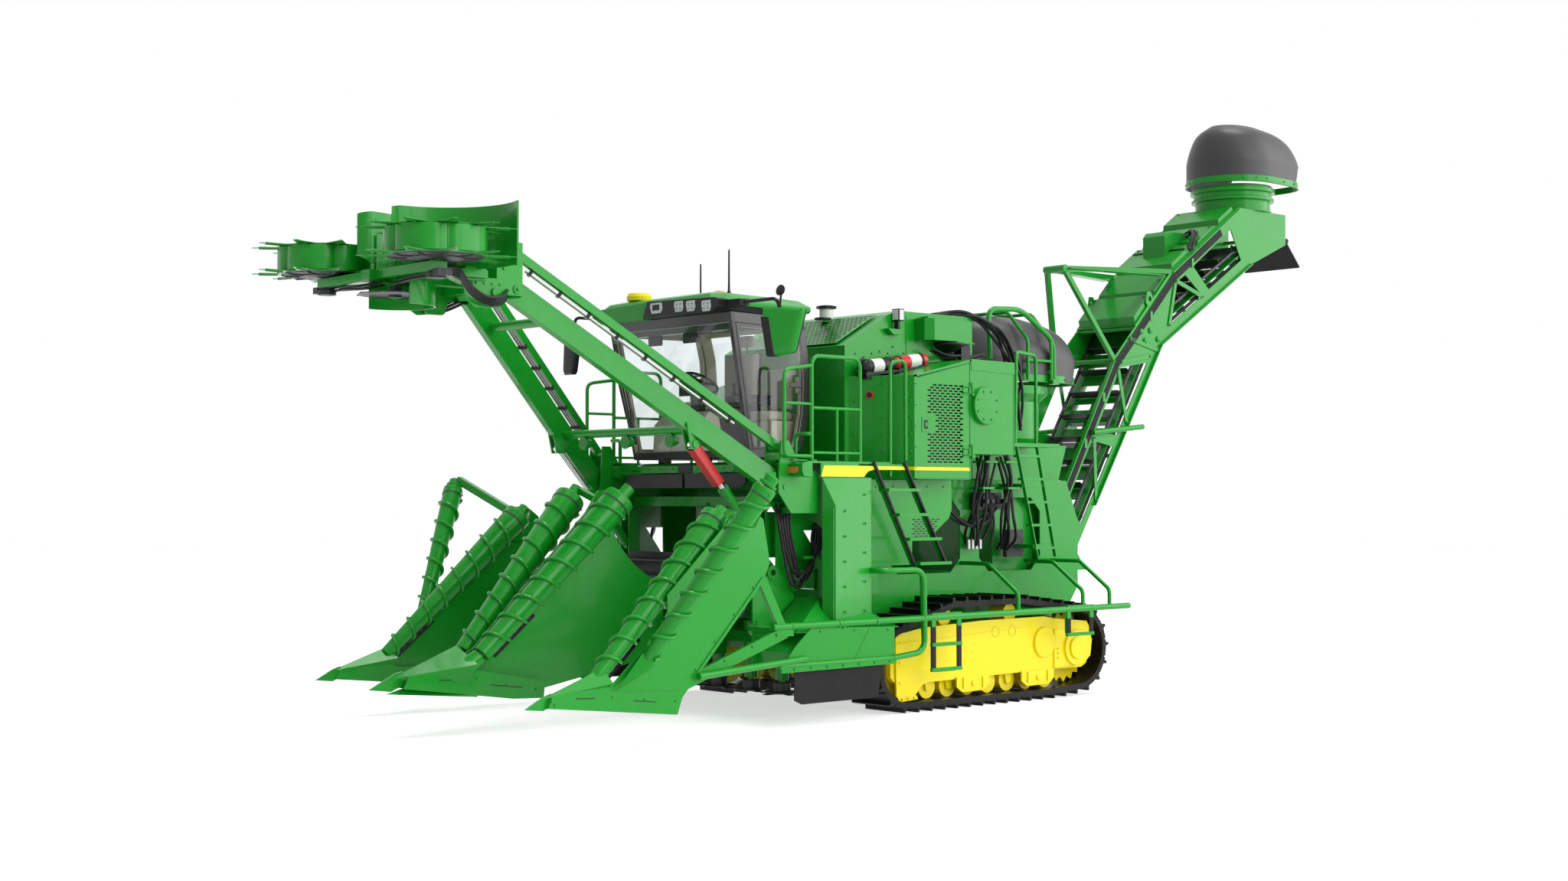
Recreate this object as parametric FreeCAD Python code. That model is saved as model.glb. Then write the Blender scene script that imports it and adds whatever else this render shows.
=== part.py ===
"""Two-row tracked sugarcane harvester, one STEP file per named piece.

Millimetres.  +X is forward, +Y is the machine's left, +Z is up.
The origin is on the ground under the middle of the machine.
"""
import FreeCAD, Part
import math
import os

os.makedirs("parts", exist_ok=True)
V = FreeCAD.Vector
UP = V(0, 0, 1)
LEFT = V(0, 1, 0)

# Driving dimensions ---------------------------------------------------------
REACH = 7240.0                  # half of the overall length

TRACK_OUT = 1600.0              # outer face of the track shoes
TRACK_IN = 1050.0               # inner face of the track shoes
SPROCKET = (-1150.0, 520.0)     # centres in the XZ plane
IDLER = (1480.0, 461.0)
CARRIER_X = (800.0, -200.0)
CARRIER_Z = 930.0
ROLLER_X = [1060.0 - 303.0 * i for i in range(7)]
ROLLER_Z = 225.0
LUG = 62.0                      # height of the lugs over the track's pitch line
SHOES = 42

FRAME_Y = 950.0                 # outer face of the side frame plates
PLATE = 20.0                    # heavy plate
RAIL_Y = 830.0                  # inner face of the rails and sills
CHAMBER_Y = 825.0               # outer face of the cleaning chamber
DECK_Z = 2500.0
HOUSING_Y = 950.0
HOUSING_TOP = 4100.0
SIDE_BOX_Y = 1550.0

CAB_FLOOR = 2540.0
CAB_TOP = 3950.0
CAB_WALL = 50.0

ARM_PIVOT = V(3080, 1450, 2250)
ARM_HEAD = V(5400, 350, 4050)
LINK_RISE = 370.0               # upper links lie this far above the arms
ARM_SWEEP = 985.0               # the cross tube passes within this radius
CYLINDER_FOOT = V(2950, 1088, 1650)
CYLINDER_EYE = V(3850, 1088, 2650)
CROSS_TUBE = (3780.0, 2790.0)   # between the topper arms, carries the lamps
PIN_R = 25.0
ARM_WALL = 12.0                 # the arms are box sections
BOX_WALL = 10.0                 # plate of the welded box sections

DRUM = (6557.0, 950.0)          # gathering drum centre, mirrored for the right
DRUM_LOW = 4210.0
DRUM_HIGH = 4460.0
STAR_R = REACH - DRUM[0]

DIVIDER_PIVOT = V(3250, 0, 900)
SIDE_DIVIDER_Y = 1750.0
SCROLLS = {                     # upper end, lower end, upper radius, lower radius
    "inner": (V(3985, 1600, 1970), V(5450, 1750, 600), 140.0, 65.0),
    "centre": (V(4180, 410, 2150), V(5570, 160, 720), 150.0, 85.0),
    "outer": (V(4190, 2530, 2240), V(5000, 1900, 750), 100.0, 60.0),
}

SCROLL_PITCH = 230.0
SCROLL_RIDGE = 20.0
SCROLL_WALL = 16.0              # drums are sheet, closed by thick ends

DRUM_AXIS_X = -1400.0           # primary extractor
DRUM_R = 610.0
SLEW_X = -2300.0                # elevator slew axis and lift hinge
LIFT_HINGE = V(-2300, 0, 1500)
ELEVATOR_Y = 460.0
PRIMARY_HOOD = (DRUM_AXIS_X, 740.0, 3460.0, 760.0, 1080.0, 16.0)
SECOND_X = -6250.0              # secondary extractor axis
SECOND_R = 485.0
SECOND_HOOD = (SECOND_X, 600.0, 6260.0, 790.0, REACH + SECOND_X, 14.0)
KNOCKDOWN = (3000.0, 1430.0)    # axis of the knockdown roller in XZ
BASECUTTER_X = 2400.0
BASECUTTER_Y = (-720.0, -250.0, 250.0, 720.0)


# Shape helpers --------------------------------------------------------------
def box(x0, x1, y0, y1, z0, z1):
    return Part.makeBox(x1 - x0, y1 - y0, z1 - z0, V(x0, y0, z0))


def face_of(points):
    return Part.Face(Part.makePolygon([*points, points[0]]))


def plate_y(outline, y0, y1):
    """An outline in XZ, thick from y0 to y1."""
    return face_of([V(x, y0, z) for x, z in outline]).extrude(V(0, y1 - y0, 0))


def plate_x(outline, x0, x1):
    """An outline in YZ, thick from x0 to x1."""
    return face_of([V(x0, y, z) for y, z in outline]).extrude(V(x1 - x0, 0, 0))


def plate_z(outline, z0, z1):
    """An outline in XY, thick from z0 to z1."""
    return face_of([V(x, y, z0) for x, y in outline]).extrude(V(0, 0, z1 - z0))


def rod(start, end, radius):
    axis = end - start
    return Part.makeCylinder(radius, axis.Length, start, axis)


def post(x, y, z0, z1, radius):
    return Part.makeCylinder(radius, z1 - z0, V(x, y, z0), UP)


def axle(x, z, y0, y1, radius):
    return Part.makeCylinder(radius, y1 - y0, V(x, y0, z), LEFT)


def cone_bar(start, end, r0, r1):
    axis = end - start
    return Part.makeCone(r0, r1, axis.Length, start, axis)


def beam(start, end, width, depth, side=LEFT):
    """A square bar: width along `side`, depth across it."""
    along = (end - start).normalize()
    across = along.cross(side).normalize() * (depth / 2)
    flat = along.cross(across).normalize() * (width / 2)
    corners = [start + across + flat, start + across - flat,
               start - across - flat, start - across + flat]
    return face_of(corners).extrude(end - start)


def bent_tube(points, radius, bend):
    """A round tube along straight runs joined by tangent arcs."""
    edges = []
    last = points[0]
    for before, corner, after in zip(points, points[1:], points[2:]):
        inward = (before - corner).normalize()
        outward = (after - corner).normalize()
        half = inward.getAngle(outward) / 2
        back = bend / math.tan(half)
        start = corner + inward * back
        end = corner + outward * back
        middle_dir = (inward + outward).normalize()
        centre = corner + middle_dir * (bend / math.sin(half))
        edges.append(Part.LineSegment(last, start).toShape())
        edges.append(Part.Arc(start, centre - middle_dir * bend, end).toShape())
        last = end
    edges.append(Part.LineSegment(last, points[-1]).toShape())
    path = Part.Wire(edges)
    direction = (points[1] - points[0]).normalize()
    ring = Part.Wire(Part.makeCircle(radius, points[0], direction))
    return path.makePipeShell([ring], True, False)


def turned(profile, x, y):
    """An (r, z) outline revolved about the vertical axis through x, y."""
    face = face_of([V(x + r, y, z) for r, z in profile])
    return face.revolve(V(x, y, 0), UP, 360)


def mirrored(shape):
    return shape.mirror(V(0, 0, 0), LEFT)


def both(shape):
    return [shape, mirrored(shape)]


def fuse(shapes):
    if len(shapes) == 1:
        return shapes[0]
    return shapes[0].multiFuse(shapes[1:])


def hollow_box(x0, x1, y0, y1, z0, z1):
    """A welded box section with a drain slot in its underside."""
    outer = box(x0, x1, y0, y1, z0, z1)
    inner = box(x0 + BOX_WALL, x1 - BOX_WALL, y0 + BOX_WALL, y1 - BOX_WALL,
                z0 + BOX_WALL, z1 - BOX_WALL)
    x, y = (x0 + x1) / 2, (y0 + y1) / 2
    return outer.cut(inner.fuse(box(x - 12, x + 12, y - 60, y + 60, z0 - 5, z0 + BOX_WALL + 5)))


def save(name, *shapes):
    solid = fuse(list(shapes))
    solid.exportStep(f"parts/{name}.step")


# Tracks ---------------------------------------------------------------------
def belt(pulleys, offset):
    """Pieces of an open-sided belt round circles listed anticlockwise in XZ.

    Each piece is ("line", start, end) or ("arc", centre, radius, angle, turn).
    """
    grown = [(x, z, r + offset) for x, z, r in pulleys]
    normals = []
    for (x0, z0, r0), (x1, z1, r1) in zip(grown, grown[1:] + grown[:1]):
        length = math.hypot(x1 - x0, z1 - z0)
        heading = math.atan2(z1 - z0, x1 - x0)
        normals.append(heading - math.acos((r0 - r1) / length))
    pieces = []
    for i, (x, z, r) in enumerate(grown):
        begin = normals[i - 1]
        turn = (normals[i] - begin) % (2 * math.pi)
        pieces.append(("arc", (x, z), r, begin, turn))
        x1, z1, r1 = grown[(i + 1) % len(grown)]
        out = (math.cos(normals[i]), math.sin(normals[i]))
        start = (x + r * out[0], z + r * out[1])
        end = (x1 + r1 * out[0], z1 + r1 * out[1])
        pieces.append(("line", start, end))
    return pieces


def belt_point(pieces, distance):
    """The point at a distance along the belt and its outward normal."""
    for piece in pieces:
        if piece[0] == "line":
            (x0, z0), (x1, z1) = piece[1:]
            length = math.hypot(x1 - x0, z1 - z0)
            if distance <= length:
                ux, uz = (x1 - x0) / length, (z1 - z0) / length
                return (x0 + ux * distance, z0 + uz * distance), (uz, -ux)
        else:
            (x, z), r, begin, turn = piece[1:]
            length = r * turn
            if distance <= length:
                angle = begin + distance / r
                out = (math.cos(angle), math.sin(angle))
                return (x + r * out[0], z + r * out[1]), out
        distance -= length
    return belt_point(pieces, 0.0)


def belt_length(pieces):
    total = 0.0
    for piece in pieces:
        if piece[0] == "line":
            total += math.dist(piece[1], piece[2])
        else:
            total += piece[2] * piece[4]
    return total


TRACK_PULLEYS = [
    (ROLLER_X[-1], ROLLER_Z, ROLLER_Z - LUG),
    (ROLLER_X[0], ROLLER_Z, ROLLER_Z - LUG),
    (*IDLER, 398.0),
    (CARRIER_X[0], CARRIER_Z, 140.0),
    (CARRIER_X[1], CARRIER_Z, 140.0),
    (*SPROCKET, 428.0),
]
LINK_DEPTH = 40.0               # pitch line to the inside of the track chain
SHOE_OUTLINE = (                # along the track, out from the pitch line
    (-88, 0), (-88, 20), (-60, 20), (-52, LUG), (-30, LUG), (-22, 20), (88, 20), (88, 0),
)


def belt_outline(pieces, step):
    """Corner points of a belt, its arcs in steps of about `step` radians."""
    points = []
    for piece in pieces:
        if piece[0] == "arc":
            (x, z), r, begin, turn = piece[1:]
            count = max(1, round(turn / step))
            for i in range(count + 1):
                angle = begin + turn * i / count
                points.append((x + r * math.cos(angle), z + r * math.sin(angle)))
    return points


def track():
    """One closed loop of shoes, each with its grouser, round the pulleys."""
    pitch = belt(TRACK_PULLEYS, 0.0)
    total = belt_length(pitch)
    outline = []
    for shoe in range(SHOES):
        middle = (shoe + 0.5) * total / SHOES
        for along, out in SHOE_OUTLINE:
            (x, z), (nx, nz) = belt_point(pitch, (middle + along) % total)
            outline.append((x + nx * out, z + nz * out))
    inside = belt_outline(belt(TRACK_PULLEYS, -LINK_DEPTH), math.radians(12))
    shoes = plate_y(outline, TRACK_IN, TRACK_OUT)
    return shoes.cut(plate_y(inside, TRACK_IN - 10, TRACK_OUT + 10))


def sprocket_rim(teeth, root, tip):
    """A toothed ring outline round the sprocket's centre."""
    rim = []
    for i in range(teeth * 4):
        radius = tip if i % 4 < 2 else root
        angle = 2 * math.pi * (i + 0.3 * (-1) ** i) / (teeth * 4)
        rim.append((SPROCKET[0] + radius * math.cos(angle), SPROCKET[1] + radius * math.sin(angle)))
    return rim


def track_frame():
    """The yellow frame with idler, sprocket, rollers and their shafts."""
    rear, front = SPROCKET[0] - 250, IDLER[0] + 170
    outer = plate_y([(rear + 30, 340), (rear + 110, 300), (front - 60, 300), (front, 360),
                     (front, 560), (front - 90, 635), (1180, 655), (1090, 790), (-700, 790),
                     (-860, 700), (rear + 60, 700), (rear, 640), (rear, 400)], 1440, 1500)
    crease = plate_y([(-760, 560), (1120, 560), (1080, 640), (-720, 640)], 1500, 1512)
    boss = axle(-900, 540, 1500, 1520, 130)
    guards = [box(x - 140, x + 140, 1500, 1512, 320, 440) for x in (-450, 450)]
    core = plate_y([(-700, 300), (1080, 300), (1080, 700), (980, 790), (-700, 790)], 1180, 1440)
    inner = plate_y([(rear, 380), (front - 40, 380), (front - 40, 560), (1100, 760),
                     (rear, 760)], 1130, 1180)
    idler = axle(*IDLER, 1230, 1420, 355).fuse(axle(*IDLER, 1150, 1460, 80))
    dish = axle(*IDLER, 1390, 1421, 290).cut(axle(*IDLER, 1380, 1430, 120))
    idler = idler.cut(dish)
    hub = axle(*SPROCKET, 1150, 1560, 190)
    cap = axle(*SPROCKET, 1560, 1580, 120)
    sprocket = plate_y(sprocket_rim(19, 335, 384), 1290, 1350)
    roller_r = ROLLER_Z - LUG - LINK_DEPTH - 3
    rollers = []
    for x in ROLLER_X:
        rollers.append(axle(x, ROLLER_Z, 1222, 1428, roller_r))
        rollers.append(axle(x, ROLLER_Z, 1195, 1456, 38))
    for x in CARRIER_X:
        rollers.append(axle(x, CARRIER_Z, 1222, 1428, 97))
        rollers.append(box(x - 45, x + 45, 1280, 1370, 780, CARRIER_Z))
    lugs = [plate_y([(x - 60, 310), (x + 60, 310), (x + 35, 190), (x - 35, 190)], y, y + 25)
            for x in ROLLER_X for y in (1195, 1431)]
    axles = [box(x - 110, x + 110, FRAME_Y, 1190, 400, 640) for x in (-500, 850)]
    return fuse([core, outer, crease, boss, *guards, inner, idler, hub, cap, sprocket, *rollers,
                 *lugs, *axles])


# Chassis --------------------------------------------------------------------
def window(x0, x1, z0, z1, corner=60.0):
    """A cutter with chamfered corners, right through both side plates."""
    c = corner
    outline = [(x0 + c, z0), (x1 - c, z0), (x1, z0 + c), (x1, z1 - c),
               (x1 - c, z1), (x0 + c, z1), (x0, z1 - c), (x0, z0 + c)]
    return plate_y(outline, -2000, 2000)


def main_frame():
    """Side plates with their rails, cross members, floor and slew ring seat."""
    inside = FRAME_Y - PLATE
    side = plate_y([(-1900, 1150), (-1500, 620), (2060, 620), (2160, 1000), (2160, 2340),
                    (-1700, 2340), (-1900, 1900)], inside, FRAME_Y)
    side = side.cut(window(-1250, -250, 1350, 2150, 150))
    side = side.cut(window(50, 1150, 1350, 2150, 150))
    rails = box(-1700, 2160, RAIL_Y, inside, 2200, 2340)
    sills = box(-1480, 2060, RAIL_Y, inside, 620, 720)
    crosses = [box(x - 60, x + 60, -inside, inside, 2220, 2330) for x in (-200, 400, 1200, 2080)]
    belly = [box(x - 70, x + 70, -inside, inside, 630, 710) for x in (-1300, -500, 850)]
    floor = box(-1480, 1000, -inside, inside, 700, 712)
    ring = turned([(300, 1200), (470, 1200), (470, 1290), (300, 1290)], SLEW_X, 0)
    rear_plate = box(-1900, -1880, -inside, inside, 1120, 1280)
    tail = plate_z([(-1880, -inside), (-1880, inside), (SLEW_X, 480), (SLEW_X - 400, 220),
                    (SLEW_X - 400, -220), (SLEW_X, -480)], 1150, 1200)
    tail = tail.cut(post(SLEW_X, 0, 1100, 1250, 250))
    eye = box(-2960, -2560, -60, 60, 1090, 1150).cut(post(-2900, 0, 1000, 1200, 25))
    struts = both(beam(V(-1780, 900, 1440), V(-2250, 380, 1190), 60, 60))
    return fuse([*both(side), *both(rails), *both(sills), *crosses, *belly, floor, ring,
                 rear_plate, tail, eye, *struts])


def mast():
    """The pair of ears that holds a topper arm and its upper link."""
    ears = []
    for y in (1300, 1510):
        ears.append(plate_y([(2650, 2000), (3000, 2000), (3160, 2200), (3160, 2300),
                             (3130, 2690), (3030, 2690), (2900, 2480), (2650, 2380)], y, y + PLATE))
    foot = box(2650, 2960, 1260, 1530, 2000, 2060)
    back = box(2650, 2720, 1260, 1530, 2060, 2380)
    pins = [axle(ARM_PIVOT.x, ARM_PIVOT.z + rise, 1300, 1540, PIN_R) for rise in (0, LINK_RISE)]
    return [*ears, foot, back, *pins]


def cylinder_foot():
    """Two lugs on a back plate, with the pin of the lift cylinder."""
    lugs = [box(2900, 3000, y, y + PLATE, 1570, 2010) for y in (1010, 1146)]
    back = box(2860, 2900, 1010, 1240, 1570, 2010)
    pin = axle(CYLINDER_FOOT.x, CYLINDER_FOOT.z, 1010, 1166, PIN_R)
    return [*lugs, back, pin]


def tow_eye():
    hook = plate_y([(2600, 1360), (2600, 1280), (2760, 1240), (2800, 1300), (2760, 1360)], 1260, 1290)
    return hook.cut(axle(2730, 1300, 1200, 1300, 25))


def throat_side():
    """One side wall with its column, mast, cylinder foot and hinges."""
    wall = plate_y([(2030, 560), (3250, 560), (3250, 1250), (2950, 1500), (2950, 2100),
                    (2650, 2380), (1760, 2380), (1560, 1180), (2030, 1180)], 1240, 1260)
    wall = wall.cut(plate_y([(2600, 1830), (2360, 1520), (2360, 1830)], 1200, 1300))
    wall = wall.cut(plate_y([(2820, 1450), (2400, 1450), (2400, 1130), (2700, 1130)], 1200, 1300))
    brace = plate_y([(2374, 2375), (1760, 2375), (1747, 2073)], 1260, 1272)
    column = hollow_box(1760, 1820, 1100, 1240, 1180, 2380)
    sill = box(2180, 2320, FRAME_Y, 1240, 1000, 1120)
    shelf = box(1760, 2650, FRAME_Y, 1240, 2340, 2380)
    tie = box(2040, 2180, FRAME_Y, 1240, 620, 700)
    hinge = axle(DIVIDER_PIVOT.x, DIVIDER_PIVOT.z, 1240, 1420, 30)
    hinge_seat = box(3150, 3205, 1260, 1272, 820, 980)
    bearing = axle(*KNOCKDOWN, 1228, 1275, 70)
    return fuse([wall, brace, column, sill, shelf, tie, *mast(), *cylinder_foot(), tow_eye(),
                 hinge, hinge_seat, bearing])


def throat_walls():
    """Both side walls, the centre wall and the beams between them."""
    centre = plate_y([(2530, 560), (3200, 560), (3290, 800), (3290, 1000), (3200, 1300),
                      (2760, 2100), (2650, 2100), (2200, 1240), (2200, 1130), (2530, 900)],
                     -PLATE, PLATE)
    front_beam = hollow_box(2160, 2320, -1240, 1240, 1120, 1240)
    low_beam = hollow_box(2080, 2180, -1240, 1240, 590, 690)
    top_beam = hollow_box(2650, 2760, -1240, 1240, 2060, 2160)
    hinge = axle(DIVIDER_PIVOT.x, DIVIDER_PIVOT.z, -60, 60, 30)
    bearing = axle(*KNOCKDOWN, -40, 40, 70)
    walls = fuse([*both(throat_side()), centre, front_beam, low_beam, top_beam, hinge, bearing])
    return walls.cut(axle(*KNOCKDOWN, -1300, 1300, 31))


def basecutter_box():
    """Gear case between the sills with the four spindle housings."""
    case = plate_y([(1700, 690), (2120, 690), (2120, 830), (2060, 880), (1760, 880), (1700, 830)],
                   -RAIL_Y, RAIL_Y)
    over = box(2120, BASECUTTER_X + 110, -RAIL_Y, RAIL_Y, 690, 800)
    inside = plate_y([(1725, 715), (2095, 715), (2095, 820), (2050, 855), (1770, 855), (1725, 820)],
                     25 - RAIL_Y, RAIL_Y - 25)
    front = box(2090, BASECUTTER_X + 85, 25 - RAIL_Y, RAIL_Y - 25, 715, 775)
    drain = box(1890, 1914, -60, 60, 680, 720)
    gears = fuse([case, over]).cut(fuse([inside, front, drain]))
    legs = [post(BASECUTTER_X, y, 330, 700, 70) for y in BASECUTTER_Y]
    motors = [post(BASECUTTER_X, y, 800, 900, 80) for y in BASECUTTER_Y]
    spindles = [post(BASECUTTER_X, y, 190, 340, 30) for y in BASECUTTER_Y]
    return fuse([gears, *legs, *motors, *spindles])


def basecutter(y):
    disc = post(BASECUTTER_X, y, 200, 215, 180).fuse(post(BASECUTTER_X, y, 215, 300, 90))
    blades = []
    for i in range(5):
        blade = box(BASECUTTER_X + 120, BASECUTTER_X + 228, y - 35, y + 35, 192, 200)
        blade.rotate(V(BASECUTTER_X, y, 0), UP, 72 * i)
        blades.append(blade)
    body = fuse([disc, *blades])
    return body.cut(post(BASECUTTER_X, y, 150, 350, 31))


def knockdown_roller():
    """Two finned drums on one shaft, one in each throat."""
    x, z = KNOCKDOWN
    parts = [axle(x, z, -1225, 1225, 30)]
    for y0, y1 in ((-1000, -60), (60, 1000)):
        parts.append(axle(x, z, y0, y1, 110).cut(axle(x, z, y0 - 10, y1 - 12, 98)))
        for i in range(6):
            fin = box(x - 8, x + 8, y0, y1, z + 100, z + 165)
            fin.rotate(V(x, 0, z), LEFT, 60 * i)
            parts.append(fin)
    return fuse(parts)


def cleaning_chamber():
    """Chamber under the primary extractor, open below and on top."""
    outer = [(-1700, 1330), (-1700, 2300), (-1855, 2740), (-170, 2740), (-170, 2350),
             (-600, 2350), (-600, 1330)]
    inner = [(-1680, 1300), (-1680, 2290), (-1835, 2720), (-190, 2720), (-190, 2370),
             (-620, 2370), (-620, 1300)]
    chamber = plate_y(outer, -CHAMBER_Y, CHAMBER_Y)
    chamber = chamber.cut(plate_y(inner, -CHAMBER_Y + 15, CHAMBER_Y - 15))
    chamber = chamber.cut(post(DRUM_AXIS_X, 0, 2690, 2800, DRUM_R - 60))
    hangers = both(box(-1500, -700, CHAMBER_Y, RAIL_Y, 2210, 2330))
    return fuse([chamber, *hangers])


def extractor_drum():
    """The fan's round casing with its motor on a crossed spider."""
    low, high, rim = 2740, 3240, DRUM_R + 100
    profile = [(DRUM_R - 50, low), (DRUM_R, 2820), (DRUM_R, high), (rim, 3330), (rim, 3420),
               (rim - 20, 3420), (rim - 20, 3345), (DRUM_R - 20, high + 10), (DRUM_R - 20, 2830),
               (DRUM_R - 70, low)]
    shell = turned(profile, DRUM_AXIS_X, 0)
    spider = [box(DRUM_AXIS_X - rim + 10, DRUM_AXIS_X + rim - 10, -30, 30, 3345, 3405),
              box(DRUM_AXIS_X - 30, DRUM_AXIS_X + 30, -rim + 10, rim - 10, 3345, 3405)]
    motor = post(DRUM_AXIS_X, 0, 3300, 3480, 110)
    shaft = post(DRUM_AXIS_X, 0, 3080, 3300, 30)
    return fuse([shell, *spider, motor, shaft])


def fan(x, z0, z1, reach, hub_r, bore, blades=4):
    """Hub and pitched blades of an extractor fan."""
    hub = post(x, 0, z0, z1, hub_r)
    wings = []
    for i in range(blades):
        wing = box(x + hub_r - 20, x + reach, -90, 90, (z0 + z1) / 2 - 5, (z0 + z1) / 2 + 5)
        wing.rotate(V(x, 0, (z0 + z1) / 2), V(1, 0, 0), 28)
        wing.rotate(V(x, 0, 0), UP, 360 / blades * i)
        wings.append(wing)
    return fuse([hub, *wings]).cut(post(x, 0, z0 - 10, z1 + 10, bore))


HOOD_RINGS = (                  # height, reach forward, reach back, half width
    (0.0, 1.0, 1.46, 1.0),
    (0.38, 1.0, 1.46, 1.0),
    (0.71, 0.92, 1.26, 0.86),
    (0.88, 0.81, 0.92, 0.70),
    (1.0, 0.61, 0.47, 0.41),
)


def hood_ring(x, z, front, back, half):
    """A closed outline: round to the front, squarer to the back."""
    points = []
    for i in range(24):
        c, s = math.cos(math.pi * i / 12), math.sin(math.pi * i / 12)
        if c >= 0:
            points.append(V(x + front * c, half * s, z))
        else:
            points.append(V(x - back * abs(c) ** 0.6, half * math.copysign(abs(s) ** 0.6, s), z))
    return Part.makePolygon([*points, points[0]])


def hood_skin(x, radius, z0, height, back, inset, drop):
    """The hood's closed form, drawn in by `inset`, its foot lowered by `drop`."""
    rings = []
    for level, front, behind, half in HOOD_RINGS:
        z = z0 + level * (height - inset) - (drop if level == 0 else 0)
        rings.append(hood_ring(x, z, front * radius - inset, behind * back / HOOD_RINGS[0][2] - inset,
                               half * radius - inset))
    return Part.makeLoft(rings, True, True)


def hood(x, radius, z0, height, back, wall):
    """A lofted discharge hood, open below and through its rear mouth."""
    shell = hood_skin(x, radius, z0, height, back, 0, 0)
    shell = shell.cut(hood_skin(x, radius, z0, height, back, wall, 10))
    tip = x - back - 50
    low, mouth = z0 - 20, z0 + HOOD_RINGS[1][0] * height
    side = radius + 50
    mouth_cut = plate_y([(tip, low), (x - radius - 20, low), (x - radius - 20, z0 + 20),
                         (x - radius - 160, mouth), (tip, mouth)], -side, side)
    ring = turned([(radius, z0 - 34), (radius, z0), (radius - 24, z0), (radius - 24, z0 - 34)], x, 0)
    return shell.cut(mouth_cut).fuse(ring)


def hood_frame():
    """Bent tubes over the primary hood, each on clips to its skin."""
    r = 20
    outer, top = 740 + 2 * r, 4220 + 2 * r
    skin = hood_skin(*PRIMARY_HOOD[:5], 0, 0)
    parts = []
    for x in (-1250, -1650):
        parts.append(bent_tube([V(x, -outer, 3480), V(x, -outer, 3930), V(x, -480, top),
                                V(x, 480, top), V(x, outer, 3930), V(x, outer, 3480)], r, 120))
        parts += [clip.cut(skin) for clip in both(box(x - 25, x + 25, 690, outer, 3560, 3600))]
    parts += both(rod(V(-1650, outer, 3700), V(-1250, outer, 3700), r - 3))
    parts += both(rod(V(-1650, 200, top), V(-1250, 200, top), r - 3))
    return fuse(parts)


# Upper structure ------------------------------------------------------------
def deck():
    """Floor under the cab, the two side platforms and the beams below them."""
    low = DECK_Z - PLATE
    outline = [(1750, -1600), (2850, -1600), (2850, -1200), (2960, -1200), (2960, 1200),
               (2850, 1200), (2850, 1600), (1750, 1600)]
    floor = plate_z(outline, low, DECK_Z)
    edges = both(box(2180, 2680, 1580, 1600, 2345, low))
    beams = both(box(1760, 2640, 1120, 1180, 2380, low))
    inner_beams = both(box(1760, 2950, 570, 630, 2380, low))
    tie = box(2100, 2160, -1120, 1120, 2380, low)
    feet = both(box(2100, 2160, RAIL_Y, FRAME_Y, 2340, 2380))
    skirt = box(2900, 2960, -1200, 1200, 2380, low)
    bumper = Part.makeLoft([nose_ring(2960, 0), nose_ring(3060, 60)], True, True)
    return fuse([floor, *edges, *beams, *inner_beams, tie, *feet, skirt, bumper])


def nose_ring(x, shrink):
    """Outline in YZ of the bumper in front of the cab."""
    corners = [(-800 + shrink, 2340 + shrink), (800 - shrink, 2340 + shrink),
               (860 - shrink, DECK_Z - shrink / 2), (-860 + shrink, DECK_Z - shrink / 2)]
    points = [V(x, y, z) for y, z in corners]
    return Part.makePolygon([*points, points[0]])


def engine_housing():
    """Sheet housing over the engine, open below, its front slope a screen."""
    outer = [(1750, DECK_Z), (1750, 3700), (1130, 4050), (980, HOUSING_TOP), (-150, HOUSING_TOP),
             (-150, 2340), (1710, 2340), (1710, DECK_Z)]
    inner = [(1730, DECK_Z), (1730, 3690), (1120, 4030), (970, HOUSING_TOP - 20),
             (-130, HOUSING_TOP - 20), (-130, 2300), (1690, 2300), (1690, DECK_Z)]
    shell = plate_y(outer, -HOUSING_Y, HOUSING_Y)
    shell = shell.cut(plate_y(inner, -HOUSING_Y + 20, HOUSING_Y - 20))
    frame = beam(V(1440, 0, 3876), V(1440 - 31, 0, 3876 - 55), 1500, 560)
    return shell.cut(frame)


def screen_bars():
    """Bars across the housing's front slope."""
    bars = []
    for i in range(1, 9):
        t = i / 9
        x, z = 1690 - 520 * t, 3712 + 294 * t
        bars.append(rod(V(x, -755, z), V(x, 755, z), 8))
    return bars


def engine_block():
    return box(-50, 1250, -420, 420, 2330, 3300)


HINGE_Y = SIDE_BOX_Y + 18       # hinge line of the grille door
SIDE_TOP = [(1750, 2335), (1750, 3375), (1310, 3390), (520, 3580), (-150, 3570), (-150, 2600),
            (520, 2600), (520, 2335)]
COVER = (250, 3100)
GRILLE_LEAF = [(535, 2345), (1315, 2345), (1315, 3358), (535, 3540)]
GRILLE_REBATE = [(530, 2340), (1320, 2340), (1320, 3374), (530, 3560)]


def side_box():
    """The left box: a recess behind the grille door and a round cover."""
    solid = plate_y(SIDE_TOP, HOUSING_Y, SIDE_BOX_Y)
    recess = box(560, 1280, 1300, SIDE_BOX_Y + 10, 2400, 3340)
    rebate = plate_y(GRILLE_REBATE, SIDE_BOX_Y - 30, SIDE_BOX_Y + 10)
    cooler = box(590, 1250, 1300, 1400, 2430, 3310)
    rings = [axle(*COVER, SIDE_BOX_Y, SIDE_BOX_Y + 12, r) for r in (205, 150)]
    cover = rings[0].cut(rings[1]).fuse(axle(*COVER, SIDE_BOX_Y, SIDE_BOX_Y + 16, 110))
    pins = [post(520, HINGE_Y, z, z + 140, 9) for z in (2560, 3200)]
    lugs = [box(480, 520, SIDE_BOX_Y, HINGE_Y + 9, z, z + 30) for z in (2560, 3200)]
    return fuse([solid.cut(fuse([recess, rebate])), cooler, cover, *pins, *lugs])


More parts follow.
